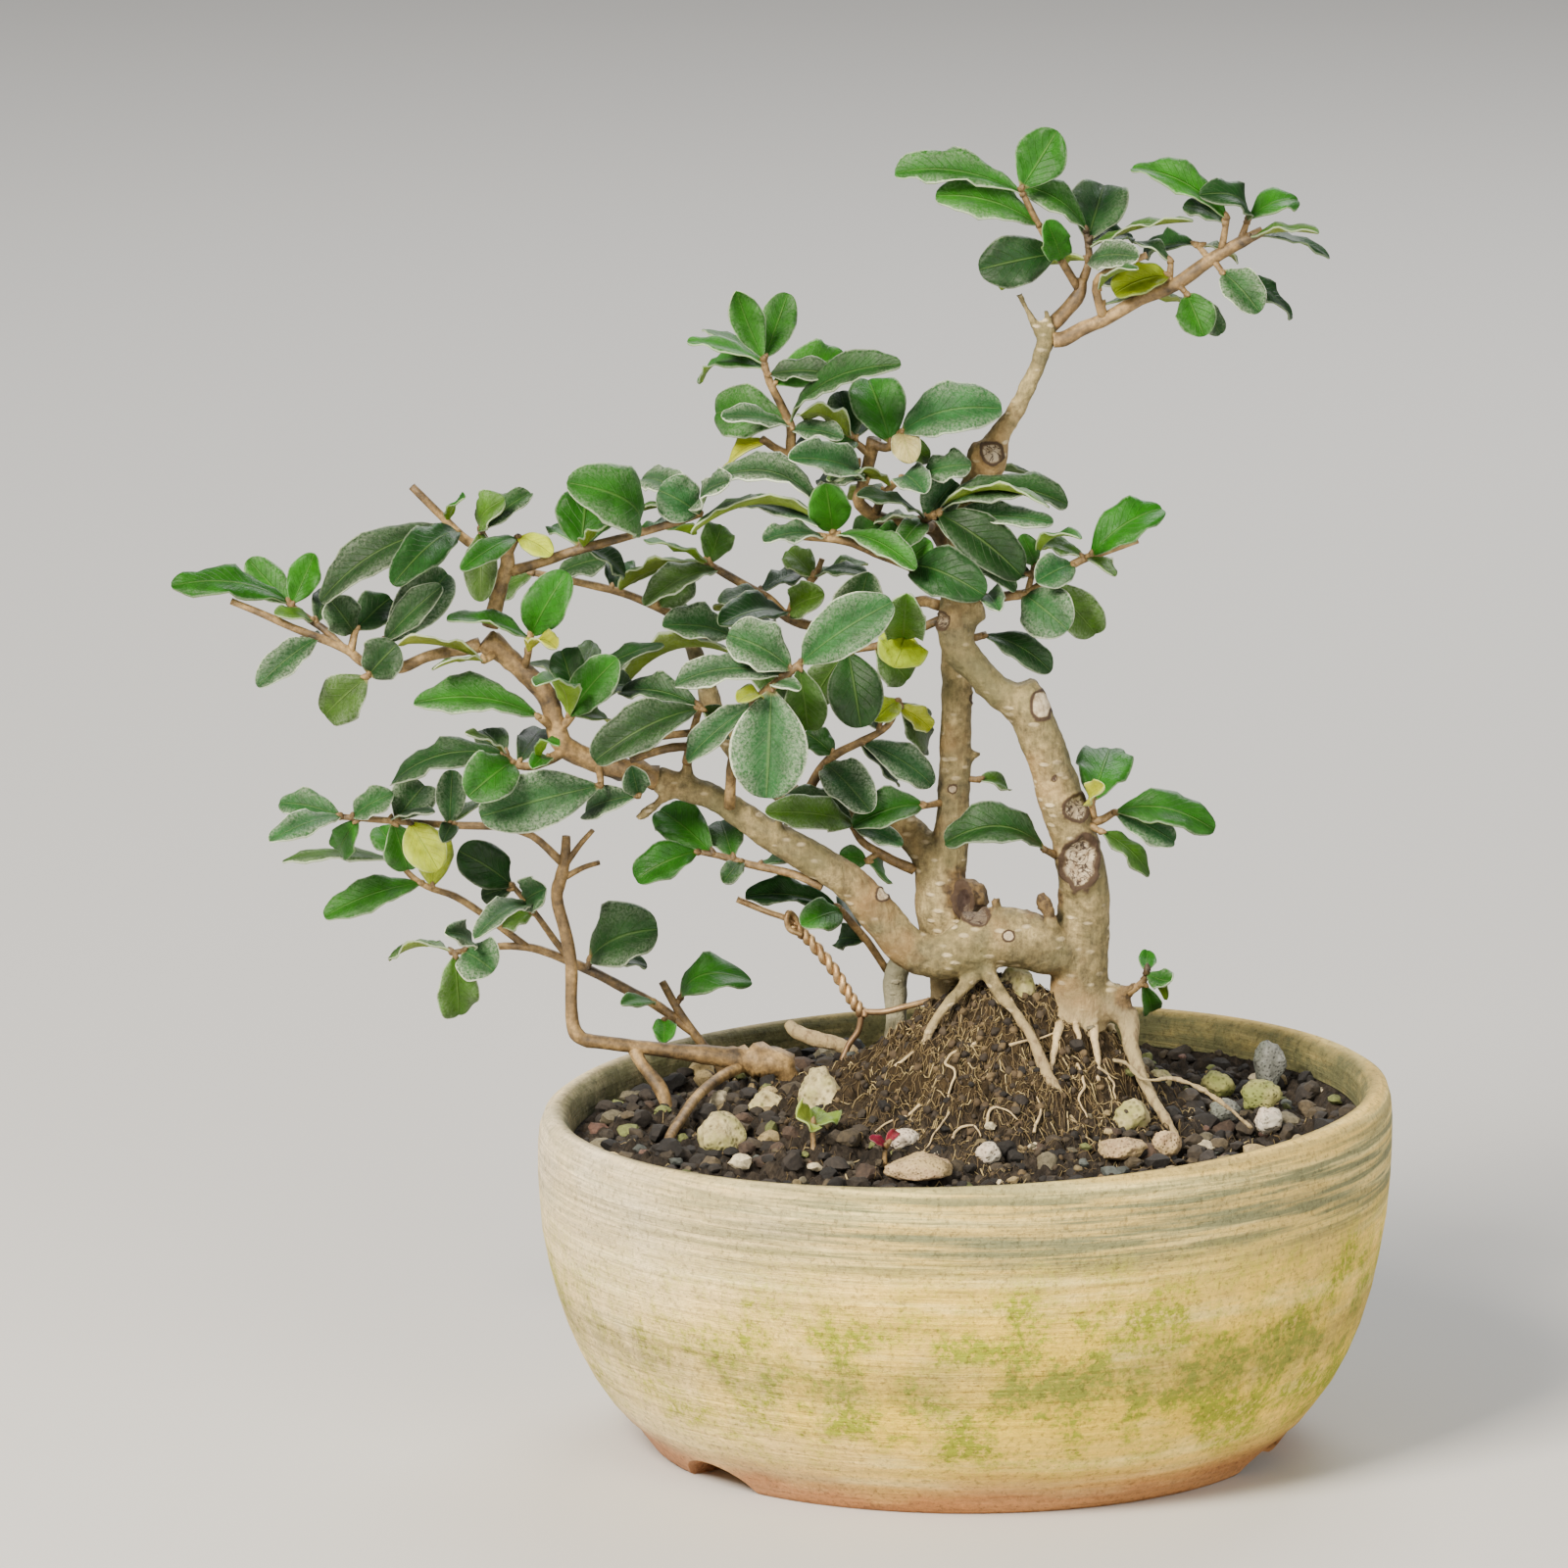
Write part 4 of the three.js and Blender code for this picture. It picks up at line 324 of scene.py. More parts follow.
def crumbs(x, y):
    """How far crumbs and hollows stand out of the soil, in millimetres."""
    at = Vector((x, y, 0))
    coarse = noise.turbulence(at / 7, 3, False)
    fine = noise.turbulence(at / 2.4 + Vector((9, 4, 0)), 4, True)
    return 1.4 * coarse + 2.1 * fine - 2.3


SOIL_CELLS = 290
SOIL_SINK, WALL_STRIP = 1.2, 1.5  # the soil dips this much, in the last strip before the wall
SKIRT_SHARE, SKIRT_FOOT = 0.62, 13 * MM
bpy.ops.object.select_all(action="DESELECT")
bpy.ops.mesh.primitive_grid_add(
    x_subdivisions=SOIL_CELLS, y_subdivisions=SOIL_CELLS, size=2 * WALL_AT_SOIL * MM + 1 * MM,
    location=(POT_AXIS, 0, 0),
)
soil = lone("loam_and_fine_grit", bpy.context.object)
cell = 2 * WALL_AT_SOIL / SOIL_CELLS
shape = bmesh.new()
shape.from_mesh(soil.data)
outer = [v for v in shape.verts if math.hypot(v.co.x, v.co.y) > (WALL_AT_SOIL + 0.72 * cell) * MM]
bmesh.ops.delete(shape, geom=outer, context="VERTS")
for vertex in shape.verts:
    x, y = vertex.co.x / MM, vertex.co.y / MM
    if vertex.is_boundary:
        pull = WALL_AT_SOIL / math.hypot(x, y)
        x, y = x * pull, y * pull
    wall = eased(math.hypot(x, y), WALL_AT_SOIL - WALL_STRIP, WALL_AT_SOIL)
    height = soil_height(x, y) + crumbs(x, y) * (1 - wall) - SOIL_SINK * wall
    vertex.co = (x * MM, y * MM, height * MM)
rim = [edge for edge in shape.edges if edge.is_boundary]
skirt = bmesh.ops.extrude_edge_only(shape, edges=rim)["geom"]
for vertex in skirt:
    if isinstance(vertex, bmesh.types.BMVert):
        vertex.co = (vertex.co.x * SKIRT_SHARE, vertex.co.y * SKIRT_SHARE, SKIRT_FOOT)
floor_ring = [e for e in skirt if isinstance(e, bmesh.types.BMEdge) and e.is_boundary]
bmesh.ops.holes_fill(shape, edges=floor_ring)
bmesh.ops.recalc_face_normals(shape, faces=shape.faces)
shape.to_mesh(soil.data)
shape.free()
lone("loam_and_fine_grit", soil)
bpy.ops.object.shade_smooth()
settle(soil)
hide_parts("soil")

# Peaty loam with lava grit: nearly black where it is wet and in its hollows, and a lighter,
# fibrous brown on the mound. It has no shine but for a few wet crumbs.
loam, graph, shader = new_material("peaty_loam")
place = add_node(graph, "TexCoord").outputs["Object"]
centred = add_node(graph, "Mapping", {"Vector": place, "Location": (-POT_AXIS, 0, 0)})
split = add_node(graph, "SeparateXYZ", {"Vector": centred})
grains = add_node(graph, "TexVoronoi", {"Vector": centred, "Scale": per_mm(1.6), "Randomness": 1.0})
fibre_way = add_node(
    graph, "Mapping", {"Vector": centred, "Scale": (1, 1, 0.35), "Rotation": (0.5, 0.9, 0.3)},
)
fibres = add_node(
    graph, "TexNoise", {"Vector": fibre_way, "Scale": per_mm(1.1), "Detail": 8, "Roughness": 0.75},
)
damp = add_node(
    graph, "TexNoise", {"Vector": centred, "Scale": per_mm(6), "Detail": 6, "Roughness": 0.65},
)
dark = add_node(graph, "ValToRGB", {"Fac": fibres}, stops=((0.32, "#15120F"), (0.72, "#4C4338")))
brown = add_node(graph, "ValToRGB", {"Fac": fibres}, stops=((0.3, "#16110C"), (0.76, "#54442A")))
on_mound = add_node(
    graph, "MapRange", {"Value": split.outputs["Z"], "From Min": 0.059, "From Max": 0.066},
)
blended = add_node(graph, "MixRGB", {"Fac": on_mound, "Color1": dark, "Color2": brown})
wetness = add_node(
    graph, "MapRange", {"Value": damp, "From Min": 0.35, "From Max": 0.65, "To Min": 0.5, "To Max": 1.3},
)
wetted = add_node(
    graph, "MixRGB", {"Fac": 1.0, "Color1": blended, "Color2": wetness}, blend_type="MULTIPLY",
)
crumb = add_node(graph, "Math", {0: fibres, 1: 0.8, 2: grains}, operation="MULTIPLY_ADD")
bump = add_node(graph, "Bump", {"Height": crumb, "Strength": 1.0, "Distance": 1.2 * MM})
plug(shader, {"Base Color": wetted, "Roughness": 0.95, "Specular IOR Level": 0.25, "Normal": bump})
soil.data.materials.append(loam)

# The stones. Pumice and grey grit picked for drainage, each a broken lump with worn corners,
# pressed into the loam; the two big pale ones and the rock under the trunk show most.
rock_names = [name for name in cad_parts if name.startswith("stone_")]
STONE_FLATS, STONE_FINENESS, FIRST_SEED = 7, 4, 40
STONE_WEAR = ((0.2, 1.4), (0.09, 4), (0.05, 11))  # how deep, and how often in the stone's half width


def rough_rock(mesh_name, centre, half, seed, cuts):
    """A broken stone: a ball cut flat on a few sides, then worn by noise. Half holds its half widths."""
    draw = random.Random(seed)
    bpy.ops.object.select_all(action="DESELECT")
    bpy.ops.mesh.primitive_ico_sphere_add(subdivisions=cuts, radius=1)
    rock = lone(mesh_name, bpy.context.object)
    flats = []
    for _ in range(STONE_FLATS):
        way = Vector((draw.gauss(0, 1), draw.gauss(0, 1), draw.gauss(0, 1))).normalized()
        flats.append((way, draw.uniform(0.66, 0.9)))
    drift = Vector((draw.uniform(0, 50), draw.uniform(0, 50), draw.uniform(0, 50)))
    for vertex in rock.data.vertices:
        at = vertex.co.copy()
        for way, reach in flats:
            over = at.dot(way) - reach
            if over > 0:
                at -= way * over * 0.85
        at *= sum((deep * noise.noise(at * often + drift) for deep, often in STONE_WEAR), 1)
        vertex.co = Vector(at[i] * half[i] for i in range(3)) * 1.12 + centre
    return rock


def rock_finish(name, light, shade, tint, pit_size):
    """Broken volcanic stone, dry and open-pored: two greys or tans with a third colour in patches."""
    made, graph, shader = new_material(name)
    place = add_node(graph, "TexCoord").outputs["Object"]
    mottle = add_node(
        graph, "TexNoise", {"Vector": place, "Scale": per_mm(2.2), "Detail": 8, "Roughness": 0.7},
    )
    stain = add_node(graph, "TexNoise", {"Vector": place, "Scale": per_mm(5), "Detail": 4})
    pits = add_node(graph, "TexVoronoi", {"Vector": place, "Scale": per_mm(pit_size)})
    ramp = add_node(graph, "ValToRGB", {"Fac": mottle}, stops=((0.34, shade), (0.64, light)))
    stained = add_node(
        graph, "MapRange", {"Value": stain, "From Min": 0.44, "From Max": 0.6, "To Max": 0.8},
    )
    coloured = add_node(graph, "MixRGB", {"Fac": stained, "Color1": ramp, "Color2": linear(tint)})
    # Painted shade: the pits are darkened as if shade fell in them, and sunk by the bump.
    hollow = add_node(graph, "MapRange", {"Value": pits, "From Max": 0.45, "To Min": 0.32})
    pitted = add_node(
        graph, "MixRGB", {"Fac": 1.0, "Color1": coloured, "Color2": hollow}, blend_type="MULTIPLY",
    )
    relief = add_node(graph, "Math", {0: hollow, 1: mottle}, operation="ADD")
    bump = add_node(graph, "Bump", {"Height": relief, "Strength": 0.9, "Distance": 0.4 * MM})
    plug(shader, {"Base Color": pitted, "Roughness": 0.92, "Normal": bump})
    return made


pumice = rock_finish("pumice", "#CDC08F", "#857750", "#8F8F4C", 1.1)
tan_stone = rock_finish("tan_sandstone_grit", "#CDB388", "#93785A", "#B09A6A", 0.6)
pale_stone = rock_finish("quartz_grit", "#DAD3C2", "#A8A08C", "#C9B7A2", 0.7)
green_stone = rock_finish("algae_covered_grit", "#A9A566", "#6C6A3E", "#7F8A45", 0.7)
grey_stone = rock_finish("grey_basalt_grit", "#8D8F88", "#56584F", "#6E7468", 0.6)
rock_finishes = {
    "stone_pumice_big": pumice, "stone_pumice_left": pumice, "stone_left_small": pumice,
    "stone_flat_tan": tan_stone, "stone_flat_front": tan_stone, "stone_pink_right": tan_stone,
    "stone_white_left": pale_stone, "stone_white_front": pale_stone, "stone_edge_right": pale_stone,
    "stone_yellow_right": green_stone, "stone_right_low": green_stone, "stone_right_mid": grey_stone,
    "stone_grey_back": grey_stone, "stone_tan_right": pumice, "stone_right_light": pumice,
    "stone_under_trunk": pumice,
}
for number, name in enumerate(sorted(rock_names)):
    low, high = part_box(name)
    middle, half = (low + high) / 2, (high - low) / 2
    rock = rough_rock(name + "_worn", middle, half, FIRST_SEED + number, STONE_FINENESS)
    rock.data.materials.append(rock_finishes[name])
    lone(name + "_worn", rock)
    bpy.ops.object.shade_smooth()
    settle(rock)
    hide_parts(name)

# The grit between them: over a thousand dark broken grains of 1 to 6 mm, lava and bark with a
# few tan, green, red and white ones, lying on the loam as they fell when the tree was potted.
GRAIN_COUNT, GRAIN_SHAPES, GRAIN_FLATS = 1250, 16, 7
GRAIN_HALF_WIDTHS = (0.6, 0.8, 0.95, 1.2, 1.5, 2.1)
GRAIN_REACH, NEAR_WALL = 67.5, 64
ON_MOUND, LARGEST_ON_MOUND, SHARE_LEFT_OUT = 4, 1.2, 0.6
GRAIN_WEAR = ((0.3, 1.3), (0.16, 3.7))
GRAIN_COLOURS = (
    ("#1B1815", 24), ("#27221D", 24), ("#332C22", 20), ("#443B2B", 12), ("#43352A", 4), ("#5E5845", 6),
    ("#7C6D4B", 6), ("#A59266", 5), ("#5A6034", 6), ("#4E3930", 2), ("#BCB090", 4), ("#454A46", 3),
)
pick = random.Random(7)
bpy.ops.object.select_all(action="DESELECT")
bpy.ops.mesh.primitive_ico_sphere_add(subdivisions=2, radius=1)
ball = lone("grain_ball", bpy.context.object)
ball_places = [v.co.copy() for v in ball.data.vertices]
ball_faces = [tuple(p.vertices) for p in ball.data.polygons]
bpy.data.objects.remove(ball)
broken_grains = []
for _ in range(GRAIN_SHAPES):
    flats = [
        Vector((pick.gauss(0, 1), pick.gauss(0, 1), pick.gauss(0, 1))).normalized()
        for _ in range(GRAIN_FLATS)
    ]
    drift = Vector((pick.uniform(0, 90), pick.uniform(0, 90), 0))
    broken = []
    for at in ball_places:
        for way in flats:
            at = at - way * max(0, at.dot(way) - 0.68)
        swell = sum((deep * noise.noise(at * often + drift) for deep, often in GRAIN_WEAR), 1.15)
        broken.append(at * swell)
    broken_grains.append(broken)
grain_places, grain_faces, grain_tints = [], [], []
colours = [linear(colour) for colour, _ in GRAIN_COLOURS]
weights = [weight for _, weight in GRAIN_COLOURS]
for _ in range(GRAIN_COUNT):
    reach = GRAIN_REACH * math.sqrt(pick.uniform(0.06, 1))
    turn = pick.uniform(0, 2 * math.pi)
    x, y = reach * math.cos(turn), reach * math.sin(turn)
    size = pick.choice(GRAIN_HALF_WIDTHS)
    on_mound = soil_height(x, y) - LEVEL > ON_MOUND
    if on_mound and (size > LARGEST_ON_MOUND or pick.random() < SHARE_LEFT_OUT):
        continue
    if reach > NEAR_WALL:
        size = min(size, max(0.7, WALL_AT_SOIL - reach))
    centre = spot(x, y, soil_height(x, y) + crumbs(x, y) * 0.6 + size * pick.uniform(-0.25, 0.35))
    stretch = ((0.8, 1.25), (0.8, 1.25), (0.6, 0.9))
    half = Vector([size * pick.uniform(least, most) for least, most in stretch]) * MM
    first = len(grain_places)
    spin = pick.uniform(0, 2 * math.pi)
    for at in pick.choice(broken_grains):
        flat = Vector((at.x * half.x, at.y * half.y, at.z * half.z))
        across = flat.x * math.cos(spin) - flat.y * math.sin(spin)
        deep = flat.x * math.sin(spin) + flat.y * math.cos(spin)
        grain_places.append(centre + Vector((across, deep, flat.z)))
    grain_faces.extend(tuple(first + i for i in face) for face in ball_faces)
    tint = pick.choices(colours, weights)[0]
    shade = pick.uniform(0.6, 1.3)
    grain_tints.extend([(tint[0] * shade, tint[1] * shade, tint[2] * shade, 1)] * len(ball_places))


def mesh_piece(name, places, faces):
    """A new piece from points in metres and the faces between them."""
    mesh = bpy.data.meshes.new(name)
    mesh.from_pydata(places, [], faces)
    mesh.update()
    piece = bpy.data.objects.new(name, mesh)
    bpy.context.scene.collection.objects.link(piece)
    return lone(name, piece)


def store_tints(piece, name, tints):
    """Keeps a colour for each point of a piece, which its material reads by name."""
    layer = piece.data.color_attributes.new(name=name, type="FLOAT_COLOR", domain="POINT")
    for number, tint in enumerate(tints):
        layer.data[number].color = tint


grit = mesh_piece("lava_grit", grain_places, grain_faces)
store_tints(grit, "grain_tint", grain_tints)
bpy.ops.object.shade_smooth_by_angle(angle=math.radians(28))
settle(grit)

# Lava and basalt grit: matt and finely pitted, each grain its own colour.
lava, graph, shader = new_material("lava_grit")
place = add_node(graph, "TexCoord").outputs["Object"]
tint = add_node(graph, "Attribute", attribute_name="grain_tint")
pores = add_node(
    graph, "TexNoise", {"Vector": place, "Scale": per_mm(0.8), "Detail": 6, "Roughness": 0.7},
)
dusty = add_node(
    graph, "MapRange", {"Value": pores, "From Min": 0.3, "From Max": 0.7, "To Min": 0.5, "To Max": 1.7},
)
dusted = add_node(graph, "MixRGB", {"Fac": 1.0, "Color1": tint, "Color2": dusty}, blend_type="MULTIPLY")
bump = add_node(graph, "Bump", {"Height": pores, "Strength": 0.8, "Distance": 0.35 * MM})
plug(shader, {"Base Color": dusted, "Roughness": 0.85, "Normal": bump})
grit.data.materials.append(lava)

# The tree's wood. Three trunks joined over the soil by an arching root, a branch to the left
# and one to the back, and the bare surface roots: one piece of grown wood, barked all over.
# Each limb is its number of sides in the solid, then its route as x, y, seen height, radius.
tree_limbs = [
    [8, [20, 2, 73, 4.4], [20, 2, 76, 5.3], [20.4, 2, 90, 5], [20.8, 1, 97, 4.6], [19.8, 1, 105, 4.3],
     [18, 0, 110, 3.9], [16.5, 0, 115, 4], [15, 0, 120, 3.8], [13.3, 0, 125, 3.7], [11.3, 0, 130, 3.8],
     [9.5, 0, 135.2, 3.1]],
    [8, [11, 0, 129.5, 3], [8.5, 0, 132, 3], [5, 0, 134.3, 2.8], [1, 0, 138.5, 2.9], [-1.5, 0, 142, 3.1],
     [-1.8, 0, 146, 3.4], [-1.8, 1, 150, 2.8], [-1.7, 3, 155, 2.2], [-1.5, 4, 160, 2], [0.5, 3, 168, 2.1],
     [3.8, 1, 174.5, 3.3], [5.5, 0, 178.5, 2.2], [7, 0, 181, 1.7], [9.3, 0, 185, 1.6], [12, 0, 190.5, 1.5],
     [14, 0, 196.4, 1.7]],
    [5, [13.5, 0, 195, 1.5], [14.5, 1.4, 198.2, 1.3]],
    [6, [4, 1, 175, 2.6], [0.6, 0, 176.4, 2]],
    [6, [-1, 0, 147, 2.4], [3, -1, 148.3, 1.9]],
    [5, [12.8, 0, 196.6, 1], [11, -1, 200, 0.8], [9, -1, 204, 0.7]],
    [5, [14.6, 0, 197, 1], [13.6, -1, 201.3, 0.7]],
    [8, [-3, 12, 88, 4.2], [-4, 12, 95, 4.7], [-4, 12, 100, 4.4], [-2.5, 12, 105, 3.4],
     [-1.9, 12, 112, 2.9],
     [-1.7, 12, 135, 2.8], [-1.7, 12, 150, 2.6], [-2.2, 11.5, 156, 2.3]],
    [6, [-3, 11, 92, 3.8], [0.6, 8, 96.5, 3.7], [1.1, 7.5, 98.6, 2.9], [1.4, 7.2, 99.8, 1.2]],
    [6, [-5, 12, 99, 3.4], [-6.5, 13, 104.5, 3], [-10, 14, 109, 2.8], [-14, 15, 111.5, 2.6],
     [-20, 17, 112.6, 2.4], [-28, 19, 114, 2.3], [-36, 20, 119, 2.2], [-42, 21, 126, 2],
      [-45, 22, 133, 1.8],
     [-47, 23, 140, 1.6], [-49.5, 23, 146.5, 1.3]],
    [8, [19, 1, 87, 4], [15, 0, 88, 5], [10, -1, 89.5, 5.2], [5, -1, 90, 5.4], [0, -1, 88, 4.7],
     [-5, -1, 86.5, 3.9], [-10, -1, 88, 3.7], [-14, -1, 92.5, 3.6], [-17, -1, 96.5, 3.4],
      [-20, -1, 99.5, 3.2],
     [-25, -1, 103, 3.1], [-30, -1, 106, 3], [-35, -1, 109, 2.7], [-40, -1, 112.3, 2.5],
      [-45, -1, 115.3, 2.4],
     [-50, -1, 117, 2.4], [-54, -1.4, 118.2, 2.3]],
    [6, [-48.3, -1, 117.5, 1.3], [-48.6, -2, 121.5, 1]],
    [5, [-32.5, -2, 108, 1.1], [-32.5, -4, 112.3, 0.8]],
    [5, [-50.5, -1, 116, 1], [-54, -3, 113.6, 0.8], [-57.3, -4, 111, 0.9]],
    [5, [5.5, -2, 94, 1.1], [5.2, -3, 97.3, 0.8]],
    [5, [16.5, -2, 88.5, 1.3], [15, -4, 93, 1.1], [13, -4, 97.7, 0.9]],
    [5, [0.5, 12, 121.5, 0.9], [2.6, 11, 123, 0.7]],
    [6, [-4, 12, 90, 2.6], [-9, 17, 87.5, 2.3], [-12, 20, 83, 2.2], [-12, 20, 77, 2.1], [-12, 20, 70, 2.1],
     [-12, 20, 60, 1.6]],
    [6, [20, 3, 76, 4.6], [18.5, 4, 68, 3.6], [16, 5, 58, 1.4]],
    [6, [-1, 3, 88, 4.2], [-2.5, 10, 83, 3.8], [-3, 12, 62, 1.5]],
    [6, [3, -3, 86, 1.6], [5, -5, 81.5, 1.4], [8, -8, 77.5, 1.3], [11.5, -12, 72, 1.2],
     [14.5, -15, 65, 1.2],
     [18.5, -19, 57, 1.1], [21.5, -22, 52.3, 0.9], [22, -23, 48, 0.7]],
    [6, [3, -2, 84.5, 1.5], [-1, -4, 80.5, 1.2], [-4.5, -6, 76.5, 1.1], [-7, -8, 71.5, 0.8],
     [-8, -9, 66, 0.6]],
    [6, [16.8, -1, 77, 1.5], [16.2, -4, 72, 1.1], [15.2, -6, 67, 0.8], [14.6, -7, 62, 0.6]],
    [6, [19.5, -1, 76.5, 1.4], [19.2, -4, 72, 1], [19.5, -5, 65, 0.7]],
    [6, [21.8, -1, 76.5, 1.5], [22.3, -4, 71, 1.1], [22.8, -6, 66, 0.8], [22.8, -7, 60, 0.6]],
    [6, [24.5, 1, 78, 2.6], [28.4, 0, 76, 2.1], [29, -2, 71, 1.6], [30.3, -5, 66.5, 1.4],
     [32.5, -9, 61.5, 1.2], [35.5, -13, 56.5, 1], [37.4, -15, 52.5, 0.8], [38, -16, 47, 0.6]],
    [6, [23.5, 2, 80, 2.4], [27.5, 0, 79.8, 1.6], [29.8, -1, 81.3, 0.9]],
    [5, [22.5, -5, 68, 0.7], [28, -8, 67.6, 0.6], [31, -10, 64.6, 0.6], [36, -12, 65, 0.6],
     [42, -14, 62.5, 0.6], [50, -17, 56, 0.6]]
]


def smooth_route(route, between):
    """A limb's centres and radii, with this many steps between its points, on one smooth line."""
    points = [seen(x, y, height) for x, y, height, _ in route]
    radii = [point[3] * MM for point in route]
    ways = [points[min(i + 1, len(points) - 1)] - points[max(i - 1, 0)] for i in range(len(points))]
    line, widths = [], []
    for i in range(len(points) - 1):
        a, b = points[i], points[i + 1]
        length = (b - a).length
        out, into = ways[i].normalized() * length, ways[i + 1].normalized() * length
        for step in range(between):
            t = step / between
            line.append(
                a * (2 * t**3 - 3 * t**2 + 1) + out * (t**3 - 2 * t**2 + t)
                + b * (3 * t**2 - 2 * t**3) + into * (t**3 - t**2)
            )
            widths.append(radii[i] + (radii[i + 1] - radii[i]) * t)
    return line + [points[-1]], widths + [radii[-1]]


def add_tube(places, faces, line, widths, sides):
    """Adds a closed tube round a line to the lists of places and faces."""
    first = len(places)
    across = Vector((0, 1, 0))
    for i, centre in enumerate(line):
        along = (line[min(i + 1, len(line) - 1)] - line[max(i - 1, 0)]).normalized()
        across = (across - along * across.dot(along)).normalized()
        third = along.cross(across)
        for k in range(sides):
            turn = 2 * math.pi * k / sides
            places.append(centre + (across * math.cos(turn) + third * math.sin(turn)) * widths[i])
    for i in range(len(line) - 1):
        for k in range(sides):
            low, high = first + i * sides, first + (i + 1) * sides
            faces.append((low + k, low + (k + 1) % sides, high + (k + 1) % sides, high + k))
    faces.append(tuple(first + k for k in reversed(range(sides))))
    faces.append(tuple(first + (len(line) - 1) * sides + k for k in range(sides)))


WOOD_SIDES, WOOD_STEPS, WOOD_CELL = 18, 4, 0.52 * MM
places, faces = [], []
for _, *route in tree_limbs:
    line, widths = smooth_route(route, WOOD_STEPS)
    add_tube(places, faces, line, widths, WOOD_SIDES)
wood = mesh_piece("privet_trunks_and_roots", places, faces)
apply_modifier(wood, "REMESH", mode="VOXEL", voxel_size=WOOD_CELL, adaptivity=0)
apply_modifier(wood, "SMOOTH", factor=0.6, iterations=7)

# Wounds: where branches were cut, the bark has rolled in round bare wood. Each is its place as
# seen from the front, its half width and half height, how far its lip stands out, and how
# deep and how dark its heart is. The dark heart is partly dark old wood and partly painted
# shade standing in for the shade inside the hollow.
WOUNDS = (
    ((19.9, 103.4), (3, 4.8), 0.75, 0.7, 0.15), ((19.2, 112.9), (2.1, 2.5), 0.6, 0.3, 0.3),
    ((13.1, 131.3), (2, 2.6), 0.25, -0.1, 0.0), ((-14.6, 97.6), (1.2, 1.3), 0.5, -0.3, 0.0),
    ((-4.1, 146.3), (1.2, 1.6), 0.5, 0.5, 0.5), ((4.4, 175.9), (1.9, 2), 0.6, 0.4, 0.35),
    ((-0.3, 96.4), (1.6, 2.9), 0.9, 1.6, 1.0), ((2, 93.8), (2.2, 1.9), 0.2, 0.4, 0.8),
    ((7.5, 90.3), (1.1, 1.1), 0.2, 0.1, 0.2), ((15.4, 118.2), (0.5, 0.6), -0.4, 0.4, 1.0),
    ((1.3, 132.6), (0.8, 1), 0.4, 0, 0.5), ((-2.1, 116.4), (0.8, 0.8), 0.3, 0, 0.4),
)
# Places of thick old bark, brown and flaking: each as seen from the front, and its radius.
OLD_BARK = (((0.8, 98), 6), ((13.6, 96.4), 4), ((28.6, 79.6), 3.4))
GREY_ROOT = (-16, -7, 13, 86)  # from x, to x, behind y and below this height
SWELLS = ((0.36, 6), (0.24, 2.4), (0.12, 0.9))  # how high the bark swells, and how wide each swell is
FLAKES = ((0.55, 1.3), (0.3, 0.6))
WOUND_REACH, WOUND_HEART, WOUND_EDGE, LIP_WIDTH, SPLIT_DEPTH = 1.8, 0.95, 1.25, 0.2, 0.25


def swelling(at, layers):
    """The sum of layers of noise at a place, each given by its height and its width."""
    return sum(high * noise.noise(at / wide) for high, wide in layers)


wounds, ages = [], []
wood.data.update()
normals = [v.normal.copy() for v in wood.data.vertices]
for vertex, out in zip(wood.data.vertices, normals):
    at = vertex.co / MM
    x, height = at.x - POT_AXIS / MM, at.z + VIEW_FALL * at.y
    push = swelling(at, SWELLS)
    wound, dark_wood_and_hollow_shade, split_wood, old = 1.0, 0.0, 0.0, 0.0
    for (old_x, old_z), reach in OLD_BARK:
        off = math.hypot(x - old_x, height - old_z) + 1.4 * noise.noise(at / 1.8)
        old = max(old, 1 - eased(off, reach * 0.65, reach))
    push += old * swelling(at, FLAKES)
    grey = at.y > GREY_ROOT[2] and GREY_ROOT[0] < x < GREY_ROOT[1] and at.z < GREY_ROOT[3]
    if out.y < 0.2:
        for (wx, wz), (half_x, half_z), lip, depth, dark in WOUNDS:
            off = math.hypot((x - wx) / half_x, (height - wz) / half_z)
            if off < WOUND_REACH:
                off += swelling(at, ((0.2, 1.6), (0.1, 0.7)))
                push += lip * math.exp(-(((off - 1) / LIP_WIDTH) ** 2))
                if off < WOUND_HEART:
                    push -= depth * (1 - off * off) + 0.3 * noise.noise(at / 0.8) * (0.2 < depth < 1)
                if off < WOUND_EDGE:
                    wound = min(wound, off / WOUND_EDGE)
                    dark_wood_and_hollow_shade, split_wood = dark, float(depth > SPLIT_DEPTH)
    vertex.co += out * push * MM
    wounds.append((wound, dark_wood_and_hollow_shade, split_wood, 1))
    ages.append((old, float(grey), 0, 1))
wood.data.update()
apply_modifier(wood, "SMOOTH", factor=0.5, iterations=1)
store_tints(wood, "wound", wounds)
store_tints(wood, "age", ages)
lone("privet_trunks_and_roots", wood)
bpy.ops.object.shade_smooth()
settle(wood)
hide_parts("tree_wood")

# Privet bark: smooth and thin, olive grey to warm tan, with pale raised lenticels across it.
# Roots are paler. Cut wood is bleached, with dark cracks and a brown rim of new bark.
bark, graph, shader = new_material("smooth_privet_bark")
place = add_node(graph, "TexCoord").outputs["Object"]
split = add_node(graph, "SeparateXYZ", {"Vector": place})
height = split.outputs["Z"]
lengthways, wide = (
    add_node(graph, "Mapping", {"Vector": place, "Scale": scale})
    for scale in ((1.6, 1.6, 0.3), (0.55, 0.55, 1.25))
)
broad, fine, grain, weathering = (
    add_node(
        graph, "TexNoise", {"Vector": way, "Scale": per_mm(size), "Detail": detail, "Roughness": rough},
    )
    for way, size, detail, rough in (
        (place, 11, 5, 0.6), (place, 1.4, 8, 0.72), (lengthways, 1.6, 5, 0.65), (place, 24, 4, 0.6),
    )
)
